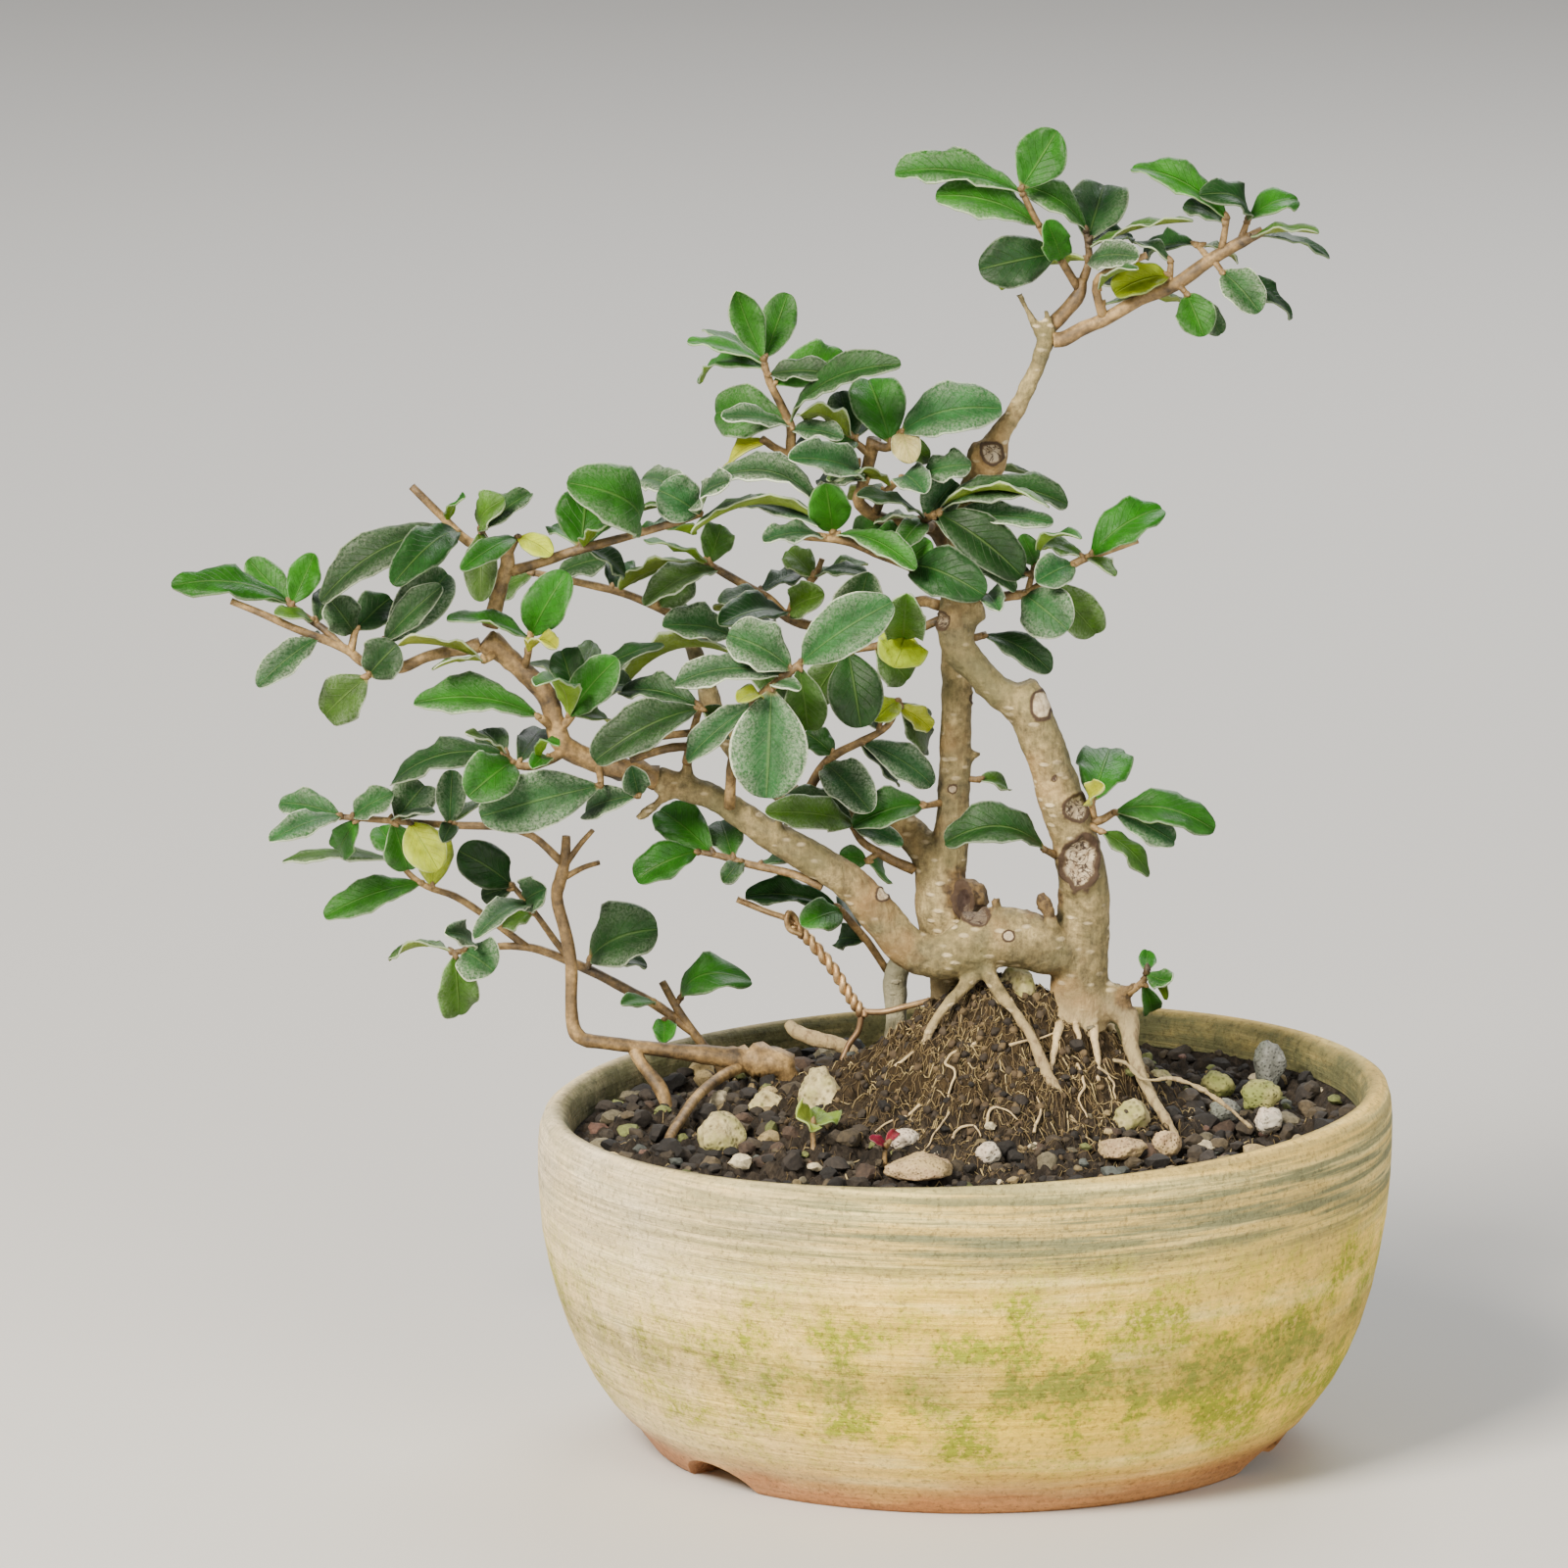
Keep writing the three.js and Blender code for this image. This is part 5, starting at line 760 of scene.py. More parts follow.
torn = add_node(
    graph, "TexNoise", {"Vector": place, "Scale": per_mm(2.4), "Detail": 4, "Distortion": 1.6},
)
cells = add_node(graph, "TexVoronoi", {"Vector": wide, "Scale": per_mm(2.3)})
age, wound = (
    add_node(graph, "SeparateColor", {"Color": add_node(graph, "Attribute", attribute_name=name)})
    for name in ("age", "wound")
)
old, grey = age.outputs["Red"], age.outputs["Green"]
off, dark_wood_and_hollow_shade, split_wood = wound.outputs["Red"], wound.outputs["Green"], wound.outputs["Blue"]
freckle, grained, olive, warm, lenticel, some, low_down, earthy, in_wound, rim_out, rim_in = (
    add_node(
        graph, "MapRange",
        {"Value": of, "From Min": low, "From Max": high, "To Min": least, "To Max": most},
    )
    for of, low, high, least, most in (
        (fine, 0.34, 0.66, 0.46, 1.45), (grain, 0.32, 0.66, 0.72, 1.2), (weathering, 0.5, 0.6, 0, 0.5),
        (weathering, 0.48, 0.38, 0, 0.45), (cells, 0.27, 0.15, 0, 0.85), (broad, 0.4, 0.56, 0, 1),
        (height, 0.082, 0.074, 0, 0.6), (grain, 0.5, 0.62, 0, 1), (off, 0.72, 0.62, 0, 1),
        (off, 0.94, 0.84, 0, 1), (off, 0.6, 0.7, 0, 1),
    )
)
wear_and_crevice_shade, lenticels, earth_line, greyish, rim = (
    add_node(graph, "Math", {0: one, 1: other}, operation="MULTIPLY")
    for one, other in (
        (freckle, grained), (lenticel, some), (earthy, low_down), (grey, 0.7), (rim_out, rim_in),
    )
)
from_middle = add_node(graph, "Math", {0: torn, 1: 0.5}, operation="SUBTRACT")
off_crack = add_node(graph, "Math", {0: from_middle}, operation="ABSOLUTE")
closed = add_node(graph, "MapRange", {"Value": off_crack, "From Min": 0.05, "From Max": 0.012})
cracked = add_node(graph, "Math", {0: closed, 1: split_wood}, operation="MULTIPLY")
flaking = add_node(graph, "ValToRGB", {"Fac": fine}, stops=((0.38, "#3A2B19"), (0.64, "#80683F")))
cut_wood = add_node(graph, "ValToRGB", {"Fac": fine}, stops=((0.35, "#8C7556"), (0.62, "#DACBAC")))
# The heart's darkening is partly dark old wood and partly painted shade in the wound's hollow.
for share, colour in ((cracked, "#35251C"), (dark_wood_and_hollow_shade, "#35241A")):
    cut_wood = add_node(graph, "MixRGB", {"Fac": share, "Color1": cut_wood, "Color2": linear(colour)})

skin = add_node(
    graph, "ValToRGB", {"Fac": broad}, stops=((0.32, "#5F5A3E"), (0.5, "#83744C"), (0.68, "#B8A473")),
)
# Painted shade: fine specks and lengthwise grooves darken the bark where its bump sinks, standing in for
# shade in its crevices.
skin = add_node(graph, "MixRGB", {"Fac": 1.0, "Color1": skin, "Color2": wear_and_crevice_shade}, blend_type="MULTIPLY")
for share, colour in (
    (olive, linear("#67643E")), (warm, linear("#9C7440")), (lenticels, linear("#D9C7A0")),
    (low_down, linear("#BCA87C")), (earth_line, linear("#5B4431")), (old, flaking),
    (greyish, linear("#8E907A")), (in_wound, cut_wood), (rim, linear("#3F2D1B")),
):
    skin = add_node(graph, "MixRGB", {"Fac": share, "Color1": skin, "Color2": colour})
ridged = add_node(graph, "Math", {0: grain, 1: 0.8, 2: fine}, operation="MULTIPLY_ADD")
relief = add_node(graph, "Math", {0: lenticels, 1: 0.5, 2: ridged}, operation="MULTIPLY_ADD")
bump = add_node(graph, "Bump", {"Height": relief, "Strength": 1.0, "Distance": 0.5 * MM})
plug(shader, {"Base Color": skin, "Roughness": 0.72, "Normal": bump})
wood.data.materials.append(bark)

# The leafy shoots. Each is a twig and its branches, with the leaves that grow from it, as the
# solids have them: a name, the limbs, and the leaves as stalk x, stalk seen height, tip x, tip
# seen height, how far the tip lies behind the stalk, width, face angle, arch and look.
leafy_shoots = [
    ["spray_apex",
     [[6, [14.6, 1.4, 198.3, 1.3], [17, 2, 200.8, 1.3], [19.5, 2, 204, 1.2], [20, 2.3, 206.8, 0.9]],
      [4, [19.3, 2, 205, 0.8], [16.5, 0, 209.5, 0.7], [14, -2, 213, 0.6], [11.5, -3, 217.5, 0.6],
       [9, -4, 222.5, 0.5]],
      [4, [20, 2.3, 206, 0.8], [21.2, 3, 210, 0.7], [20.6, 3, 215.5, 0.5]]],
     [[13, 216, -5.5, 221, -3, 8, 38, 0.14, 2], [9.5, 221, -12.5, 225, 4, 7, 32, 0.13, 2],
      [9, 222, 15.5, 232.5, 2, 8.5, 75, -0.08, 2], [15.5, 211, 2, 208, -4, 8.5, 72, 0.1, 0],
      [15.5, 210, 3, 206.8, 6, 4, 20, 0.05, 1], [16.5, 210, 13.5, 216.5, -3, 5, 70, 0.1, 2],
      [20.5, 215, 9, 223, -5, 6, 35, 0.17, 2], [20, 213, 24, 223.5, 7, 9.5, 60, 0.1, 0],
      [21, 212, 39, 216.5, -4, 5, 8, 0.06, 3], [21, 213, 29, 214, 6, 4.5, 15, 0.05, 0],
      [21, 210, 6, 205, -8, 7, -25, 0.1, 3], [21, 209.5, 29.5, 210, -7, 5.5, 60, 0.1, 1]]],
    ["spray_apex_right",
     [[6, [15, -0.4, 195.8, 1.4], [16.8, -0.4, 196, 1.4], [20, 0, 197.8, 1.3], [24, 0, 199.5, 1.2],
       [30, 0, 203, 1.2], [36, 0, 205.5, 1.2], [42, 0, 209.8, 1.2], [46.5, 0, 212.5, 1.1],
        [51.2, 0, 215, 0.9]],
      [4, [23.7, 0, 199.6, 0.9], [22.4, -2, 206, 0.7], [26, -4, 208.5, 0.7], [31, -5, 210.6, 0.55]],
      [4, [35, 0, 205.3, 0.7], [35.4, 2, 210, 0.5]], [4, [44, 0, 211.2, 0.7], [45, -1, 217.5, 0.5]],
      [4, [47.3, 0, 213, 0.7], [48.6, 2, 217, 0.5]], [4, [42.6, 0, 210, 0.6], [44.5, -2, 207.2, 0.5]],
      [4, [36.5, 0, 205.8, 0.6], [38.2, -2, 203.6, 0.5]], [4, [42, 0, 210, 0.6], [40, 3, 212.6, 0.5]]],
     [[23, 205.5, 34, 204.5, 5, 5.5, 20, 0.08, 1], [35, 207, 25.5, 203.8, -6, 6.5, 42, 0.14, 4],
      [35.4, 209.5, 29, 213, 5, 4, 10, 0.1, 0], [24.5, 202, 39, 203, 7, 5.5, -20, 0.06, 3],
      [22.5, 204.5, 29, 207.5, -2, 3, 40, 0.06, 2],
      [45, 217, 28.5, 226, 4, 6.5, 32, 0.16, 2], [48.6, 216.5, 40, 221, -4, 6, 40, 0.28, 0],
      [48.6, 217, 57.5, 220.5, 5, 5.5, 30, 0.16, 2], [44.8, 216, 37.5, 219.5, -5, 4, 25, 0.12, 0],
      [48.4, 214.2, 60.5, 214.2, -5, 4.5, 12, 0.06, 3], [47.8, 213.6, 63, 210.5, 6, 4.5, 5, 0.1, 0],
      [40, 212.6, 31, 211, -2, 5, 45, 0.08, 0], [40.2, 212.5, 47, 209.8, 6, 4.5, 10, 0.1, 3],
      [44, 207.6, 50.5, 200.5, -5, 6.5, 60, 0.14, 1], [44.2, 207.4, 56.5, 200, 7, 5.5, 30, 0.1, 0],
      [38, 203.8, 41, 196.3, -5, 6.5, 78, 0.1, 2], [38.2, 203.6, 44, 197, 5, 4, 60, 0.08, 0]]],
    ["spray_left_shoot",
     [[6, [-18.4, 3, 174.3, 0.9], [-24, 2, 174.5, 0.9], [-30, 0, 175.5, 1], [-30.5, -1, 180.5, 0.85],
       [-32, -1, 184, 0.75], [-34.2, -2, 188.5, 0.7], [-35.3, -2, 192.5, 0.6]],
      [4, [-30, 0, 175.2, 0.8], [-33.5, -1, 177, 0.7], [-35.5, -2, 178.5, 0.6]]],
     [[-35.3, 192.3, -40, 204.3, -3, 5.5, 60, -0.1, 2], [-35.2, 192.3, -31, 204.3, 3, 6, 72, -0.08, 2],
      [-35, 191.5, -48.5, 195.5, -5, 4.5, 12, 0.06, 2], [-35.2, 192, -45.5, 198, 6, 5, 15, 0.05, 2],
      [-34.8, 190.5, -46, 189, 5, 6, 40, 0.14, 2], [-34.5, 189.5, -23, 189.5, -4, 5, 42, 0.1, 0],
      [-33.5, 188, -21, 193, 9, 7.5, 62, 0.1, 2], [-30.5, 181, -11.5, 191, -6, 6.5, 38, 0.15, 0],
      [-30.6, 181.5, -43.5, 183, 7, 9, 66, 0.22, 2], [-30.5, 180.5, -42.5, 182, -6, 4.5, 35, 0.06, 1],
      [-30.4, 179.8, -21.5, 178.3, -6, 4.5, 40, 0.1, 1], [-34.5, 178, -41.5, 173.5, 5, 5, 35, 0.12, 4],
      [-25, 174.5, -29.5, 178, 9, 5, 70, 0.1, 0]]],
    ["branch_crown",
     [[6, [-2.3, 11.3, 157, 2], [-3, 11, 159.5, 2], [-6, 9, 163, 1.4], [-13, 7, 164, 1.2],
      [-18.5, 5, 167, 1.1],
       [-18, 4, 170.5, 1], [-17, 3, 174, 1.1], [-16, 2, 178.5, 1.3]],
      [5, [-16, 2, 177.5, 1], [-13.5, 0, 177, 0.8], [-11, -2, 179.8, 0.6]],
      [4, [-16.5, 2.5, 175.5, 0.8], [-20, 2, 178.5, 0.6]], [4, [-17.6, 3.6, 172, 0.8],
       [-17.5, -2, 171, 0.6]],
      [4, [-15.8, 6, 165.4, 0.9], [-14, 2, 169, 0.7], [-11, 0, 171.5, 0.6], [-8, -2, 171.8, 0.5]],
      [5, [-6, 9, 163, 1], [-7.5, 0, 163.8, 0.8], [-5, -4, 165.3, 0.6]]],
     [[-13.2, 177.5, -17, 189, 7, 9, 60, 0.14, 2], [-11, 179, 6, 183.5, -4, 9.5, 52, 0.22, 1],
      [-11.2, 178.6, 0.5, 182.3, 6, 5, -15, 0.1, 3], [-11.2, 179.5, -9.5, 174, -8, 5, 85, 0.2, 5],
      [-13, 177.2, -6.5, 175, 3, 4, 60, 0.12, 3],
      [-19.8, 178.2, -22, 187, 6, 6, 45, 0.08, 1], [-19.6, 178.4, -15, 184.5, 9, 5, 55, 0.08, 1],
      [-20, 178.5, -29, 182.5, 6, 6.5, -18, 0.14, 3], [-19.8, 177.5, -23.5, 176, -8, 4, 50, 0.08, 2],
      [-17.3, 171.2, -25.5, 171.6, 10, 4.6, 60, 0.06, 0], [-17.5, 171, -31, 174.5, -6, 6.5, 55, 0.1, 1],
      [-17.4, 171.4, -23.8, 170.8, -10, 5, 5, 0.1, 3],
      [-8.4, 172, 0.8, 173.6, -3, 5.5, 42, 0.1, 1], [-11, 171.5, -7.3, 168.5, -7, 6, 62, 0.12, 1],
      [-8.3, 171.8, 13, 172, 6, 4.5, 12, 0.05, 0], [-5, 165.3, 17.5, 166.5, 2, 7, 26, 0.2, 0],
      [-6.2, 164.6, 14, 166, -5, 5, -14, 0.16, 3], [-7.2, 164, -2, 171, 7, 6.5, 65, 0.1, 1],
      [-5, 165, 9.5, 154, -5, 8.5, 58, 0.16, 0], [-6, 164.8, 8.5, 151.5, -9, 5, 50, 0.1, 1],
      [-6.5, 164.2, 15, 163.5, 9, 5, 35, 0.05, 1], [-7.5, 164, -16, 163.5, 3, 5, -10, 0.1, 3],
      [-7.4, 163.6, -12, 158.5, -2, 4.5, 60, 0.1, 2], [-14, 169, -20, 168, 3, 4, -12, 0.1, 3],
      [-13.2, 170.2, -23.2, 170.6, -6, 4.6, -14, 0.12, 3], [-7.2, 164.4, -19, 168, -5, 4.6, 30, 0.08, 0],
      [-11.6, 163.6, -19.4, 161.6, -5, 4.6, 58, 0.1, 2]]],
    ["spray_front_shoot",
     [[6, [-2.4, 0.4, 151.4, 1], [-6, -3, 153.5, 0.8], [-10, -6, 155.8, 0.8], [-16, -7, 158.3, 0.8],
       [-21, -8, 160.3, 0.8], [-28.5, -8, 161.3, 0.9]],
      [4, [-22.5, -8, 160.6, 0.8], [-23.7, -8.5, 163, 0.6]]],
     [[-23.5, 162, -44, 171, 5, 6.5, 18, 0.28, 1], [-23.4, 162, -24.5, 170.3, -4, 7, 80, 0.06, 2],
      [-24, 162, -47.8, 161.5, 3, 6.5, -16, 0.2, 3], [-24.5, 161.3, -35.3, 160, -5, 5, 28, 0.1, 1],
      [-22.5, 161.3, -9, 155, -8, 5, 25, 0.14, 2], [-17.5, 158.8, -9.8, 161.2, -2, 4.5, 45, 0.1, 2],
      [-10, 155.8, 3, 150.5, -5, 8.5, 62, 0.2, 0], [-11, 156, -6, 160, 4, 4.5, 60, 0.08, 2],
      [-23.2, 161.6, -40, 167.2, 9, 4.6, 30, 0.08, 1], [-13, 157, -17.5, 162, 5, 4.8, 55, 0.1, 2]]],
    ["spray_right",
     [[6, [1.2, 0.1, 150, 0.9], [8, -3, 150.7, 0.9], [11, -3, 151.3, 0.9], [15, -3, 154, 0.8],
       [20, -3, 157, 0.75], [25, -3, 158.8, 0.65], [29.8, -3, 160.5, 0.6]],
      [4, [10.6, -3, 151.2, 0.6], [12, -2, 157, 0.5]]],
     [[21.5, 157.5, 34, 166, 3, 7.5, 46, 0.2, 2], [20.5, 157.2, 11.5, 159.5, 5, 4.5, 15, 0.1, 3],
      [18.5, 156, 12, 153, -4, 6, 60, 0.1, 1], [21, 157.3, 25.5, 154, -5, 3.5, 5, 0.08, 3],
      [21.5, 157.5, 25, 156.5, 4, 3, 30, 0.06, 1], [10, 151, 17.5, 144.5, -5, 9, 72, 0.08, 1],
      [14, 153.2, 22.5, 144, 5, 7, 68, 0.1, 3], [11.8, 156, 9.5, 161.5, 2, 3.5, 60, 0.1, 2],
      [11.5, 154.5, 6.5, 153.5, 5, 4.5, 45, 0.1, 1], [3.5, 150.2, 5.5, 147.7, -4, 4.5, 72, 0.08, 1],
      [12, 157, 19.5, 160.5, 2, 4, 20, 0.14, 2]]],
    ["spray_hanging",
     [[4, [1.2, 1.4, 143.2, 0.7], [3.6, 2, 143.9, 0.6]]],
     [[3, 143.8, 14.7, 137.2, -3, 5.5, 38, 0.16, 0]]],
    ["spray_back_left",
     [[6, [-4.6, 2.4, 149, 1], [-8, 6, 149.8, 1], [-18, 11, 146.5, 0.9], [-26, 14, 145.5, 0.9],
      [-31, 15, 147, 0.9],
       [-34.5, 15, 150.5, 0.8], [-38, 16, 152.5, 0.8], [-45, 17, 156.6, 0.7]],
      [4, [-31, 15, 147, 0.7], [-29.5, 15, 151, 0.7], [-26.5, 15, 154, 0.6], [-25, 15, 157.5, 0.5]]],
     [[-44.5, 156.5, -60.5, 152, 4, 5.5, -16, 0.12, 3], [-43, 155.5, -56, 149, -5, 7, 22, 0.12, 3],
      [-45, 156.6, -56, 160.5, -3, 4.5, -8, 0.06, 2], [-34.5, 150.8, -43, 149.5, -8, 5, 35, 0.1, 0],
      [-36, 151.5, -27.5, 155, 9, 4.5, 20, 0.08, 0], [-30.5, 148.2, -24.6, 151, -4, 6, 62, 0.1, 3],
      [-32, 147.5, -44, 148.5, 5, 4.5, -12, 0.08, 3], [-26.5, 154, -31, 159, 4, 5, 45, 0.06, 3],
      [-27, 153.5, -17, 156.5, 5, 4, -10, 0.08, 3], [-26, 154, -17.5, 154.5, -6, 4.5, 20, 0.1, 0],
      [-19, 146.3, -17, 155, -7, 8.5, 65, 0.1, 1], [-45, 156.3, -42.5, 163.5, 5, 5.5, 70, 0.08, 3],
      [-31.5, 147.2, -43, 145.4, -5, 6.4, 50, 0.1, 0]]],
    ["spray_back_low",
     [[6, [-46.6, 21.3, 143.2, 0.9], [-44, 19, 145, 0.8], [-40.5, 16, 143.5, 0.7],
      [-39.5, 13, 139.5, 0.6]]],
     [[-41, 144, -53, 145.5, -7, 7, 52, 0.12, 1], [-39.6, 140, -59.5, 135, 5, 8, -20, 0.2, 3],
      [-39.5, 139.8, -30.5, 133, 5, 6.5, 62, 0.1, 3], [-40, 142, -34, 146.5, 2, 5, 30, 0.1, 0]]],
    ["spray_front_mid",
     [[6, [-41.2, -4, 113.2, 1], [-40.5, -8, 122, 0.9], [-38, -11, 130, 0.9], [-33.5, -13, 134.8, 0.85],
       [-28.8, -14, 138.6, 0.7]]],
     [[-28.8, 138.5, -13, 149.3, -3, 9, 64, 0.16, 1], [-33.8, 134.4, -34.8, 114.8, -4, 12.5, 84, 0.07, 1],
      [-36.8, 132, -48.5, 121.5, -5, 5.5, 50, 0.1, 1], [-31.5, 136.3, -50.5, 134.8, 2, 6.5, 38, 0.16, 1],
      [-36, 133, -39.7, 131.7, -6, 4, 40, 0.14, 4], [-34, 134.3, -29, 133.8, -7, 3, 35, 0.1, 1],
      [-30.5, 137.5, -41.5, 143.5, 6, 9, 45, 0.14, 1], [-31, 137, -37, 141.5, -4, 4.5, 60, 0.1, 2],
      [-29, 138.2, -27.5, 127, 6, 7, 70, 0.1, 3]]],
    ["spray_middle",
     [[6, [-27.5, 17, 116, 1], [-24.5, 12, 121, 0.8], [-22, 10, 123, 0.8], [-18, 8, 125, 0.7],
       [-13.5, 7, 127.8, 0.6], [-11.5, 7, 132.5, 0.5]]],
     [[-24.5, 121, -16.5, 112.3, -12, 7.5, 62, 0.1, 1], [-18.5, 125, -5.8, 117, 0, 6, 48, 0.14, 1],
      [-18.5, 124.6, -12, 117.5, 5, 6.5, 40, 0.08, 0], [-11.5, 132, -16, 128.5, -5, 4.5, 60, 0.1, 4],
      [-12, 131, -6.2, 127, -4, 4, 45, 0.1, 4], [-12, 132, -6.5, 124, 4, 6.5, 60, 0.08, 3],
      [-15, 127, -17.5, 131, 3, 4.5, 50, 0.08, 0], [-23, 122.5, -28, 126.5, 3, 5, 45, 0.08, 0]]],
    ["spray_middle_high",
     [[4, [-4.6, 1.6, 146.5, 0.8], [-10, 4, 144, 0.7], [-15, 5, 142, 0.7], [-21, 4, 141, 0.6]]],
     [[-10.5, 144, -12.7, 138, -7, 8.5, 84, 0.08, 4], [-20.5, 141, -18.3, 127.3, -6, 9, 68, 0.08, 0],
      [-16, 142, -10.3, 135.8, 4, 7, 60, 0.1, 3], [-11, 143.5, -10.5, 151, -8, 7, 78, 0.1, 3],
      [-20.8, 141, -26.5, 132, 5, 6.5, 62, 0.1, 3]]],
    ["spray_below",
     [[4, [-4, 11, 114, 0.7], [-8, 6, 113.2, 0.5]]],
     [[-7, 113.5, -19.7, 109.7, -5, 7, 48, 0.16, 2]]],
    ["spray_low_dark",
     [[6, [-9, 11.6, 102, 1], [-12.5, 10.5, 103.5, 0.9], [-15, 10, 105, 0.8], [-18, 9, 107, 0.7],
      [-19.8, 8, 110, 0.6]],
      [4, [-15, 10, 105, 0.6], [-17.5, 8, 103.5, 0.5]]],
     [[-19.6, 109.5, -31, 115.5, 8, 6.5, 38, 0.1, 0], [-19.5, 109.3, -32, 109.5, -3, 3.5, 15, 0.1, 0],
      [-19.7, 109.5, -11, 106.3, -5, 4, 40, 0.08, 1], [-17.4, 103.6, -22, 104.5, -4, 4, 62, 0.1, 2],
      [-17.3, 103.6, -14, 100.3, 4, 4.5, 60, 0.08, 2], [-19.8, 109.8, -35, 112.3, -9, 6, 62, 0.12, 3]]],
    ["spray_under",
     [[4, [-25, -0.4, 99, 0.8], [-30, 1, 101.2, 0.75], [-38, 2, 103, 0.7], [-43, 2, 104.5, 0.6],
      [-46.8, 2, 105.2, 0.5]]],
     [[-46.6, 105.2, -57.5, 100.2, -3, 6.5, 50, 0.14, 2], [-44, 104.8, -53.5, 112.5, 5, 7.5, 60, 0.12, 2],
      [-40.5, 103.8, -42.8, 110.6, 7, 6, 70, 0.08, 2], [-39, 103.3, -42.3, 99.7, -4, 3.5, 45, 0.08, 0],
      [-36, 102.6, -27.5, 103.5, -4.5, 4, 10, 0.06, 2]]],
    ["spray_grey_root",
     [[4, [-13.6, 20, 83.8, 0.7], [-17, 19, 89, 0.7], [-19.5, 18, 92, 0.7], [-22, 17, 95, 0.6]]],
     [[-22, 95, -38.5, 97, 3, 5.5, 30, 0.1, 0], [-21.5, 94.3, -28.7, 92, -5, 6, 60, 0.1, 2],
      [-17.2, 89.3, -22, 89.3, -4, 4.5, 62, 0.1, 0], [-18.5, 90.8, -20.5, 97, 5, 4.5, 60, 0.08, 0]]],
    ["spray_c_front",
     [[4, [-48.6, -2.6, 121.2, 0.9], [-47.8, -6, 125.5, 0.7], [-46.3, -8, 131, 0.6]],
      [4, [-48.2, -4.6, 124, 0.8], [-52, -6, 123.6, 0.8], [-58.5, -6, 121.6, 0.7]],
      [4, [-47.6, -6.4, 126.4, 0.7], [-52, -4, 125.9, 0.7], [-57, -3, 125.2, 0.6]]],
     [[-46.3, 130.6, -64.5, 121.3, -5, 8, 52, 0.16, 0], [-46.4, 131, -60, 133.5, 4, 6, 40, 0.14, 0],
      [-46.3, 130.8, -41.5, 126, 5, 5, 45, 0.1, 3]]],
    ["branch_left",
     [[8, [-54, -1.4, 118.2, 2.3], [-60, -2, 120, 2.1], [-65, -2, 121.5, 2], [-70, -3, 124, 1.9],
       [-71.5, -3, 128, 1.8], [-73, -3, 133, 1.8], [-76.5, -3, 136.8, 1.8], [-80, -3, 140, 1.8],
       [-83.6, -3, 143, 2.3]],
      [5, [-71.5, -3, 127, 1], [-74.5, -6, 129.3, 0.6]], [5, [-71.3, -3, 126.5, 1],
       [-68.3, -4, 130, 0.7], [-67.8, -4, 133.8, 0.6]],
      [5, [-69.5, -3, 123.3, 1], [-75, -7, 120.6, 0.8], [-78.5, -8, 120.8, 0.7], [-80, -8, 122.5, 0.5]],
      [4, [-64, -2.5, 121, 0.8], [-63.5, -7, 117, 0.5]], [4, [-57.5, -2, 119, 0.8], [-57, -8, 115, 0.5]],
      [4, [-77, -3, 137.3, 0.9], [-76, -6, 141, 0.6], [-75.6, -6, 143.6, 0.5]],
       [4, [-81, -3, 141, 0.9], [-83.8, -7, 139, 0.5]]],
     [[-74.3, 129.2, -96, 131.5, -3, 8.5, 34, 0.14, 2],
      [-69, 129.2, -60.5, 139.5, -6, 7, 55, 0.1, 2], [-69.2, 129, -74.5, 134.5, -7, 6, 40, 0.14, 2],
      [-68.6, 129.8, -57.5, 134.5, 4, 6, 35, 0.12, 0], [-67.9, 133, -70.5, 141, 6, 6, 60, 0.08, 0],
      [-67.9, 133.6, -52.6, 142, 5, 4.5, 28, 0.12, 0], [-67.8, 133.8, -65, 142.5, 3, 4, 65, 0.08, 3],
      [-67.9, 133.4, -78, 138.5, 3, 4.5, -10, 0.1, 3], [-68.8, 129.5, -62, 127.5, 3, 4.5, 50, 0.1, 3],
      [-79.8, 122.3, -100, 117.3, 3, 7, 38, 0.2, 0], [-79, 121, -86.5, 115, -5, 8.5, 66, 0.12, 2],
      [-79.9, 122.4, -84.3, 126.8, 2, 5.5, 50, 0.08, 0], [-80, 122.5, -86.8, 126.2, -3, 2.5, 30, 0.05, 3],
      [-72.5, 121.5, -75.3, 120, -6, 3.5, 45, 0.1, 2], [-78, 120.8, -74, 127, 3, 5, 60, 0.08, 0],
      [-63.6, 117, -84.5, 111.5, -5, 9.5, 72, 0.1, 1], [-57, 115.5, -58.2, 120.5, -5, 4.5, 72, 0.06, 1],
      [-57.1, 115.2, -66.3, 112.3, -3, 5.5, 62, 0.12, 1], [-74.5, 120.6, -70.5, 124, -6, 2.5, 40, 0.1, 2],
      [-75.6, 143.6, -69.3, 154.8, -3, 7.5, 64, 0.14, 2], [-75.8, 142.8, -90.2, 146.3, -4, 5, 22, 0.1, 2],
      [-84, 139.5, -98.5, 142, 7, 5.5, -14, 0.08, 3], [-83.8, 139.2, -92.5, 137.5, -3, 5, -16, 0.08, 3],
      [-76, 140.5, -71, 141, -3, 4, 30, 0.1, 4]]],
    ["spray_tip",
     [[6, [-84.5, -3, 142, 1.4], [-87, -3, 141.3, 1.2], [-90, -3, 140.8, 1.1], [-94, -3, 139.8, 1],
       [-98, -3, 138, 1], [-101, -3, 137.8, 0.9], [-105, -4, 139, 0.9], [-107.5, -4, 141, 0.8],
        [-112, -5, 143, 0.75],
       [-117, -6, 145, 0.7], [-122, -6, 147.3, 0.65], [-127.7, -6, 149.7, 0.6]],
      [4, [-108.3, -4.2, 141.4, 0.7], [-111.5, -3, 144.6, 0.7], [-114, -2, 146.3, 0.6],
       [-117.7, -1, 149.3, 0.5]],
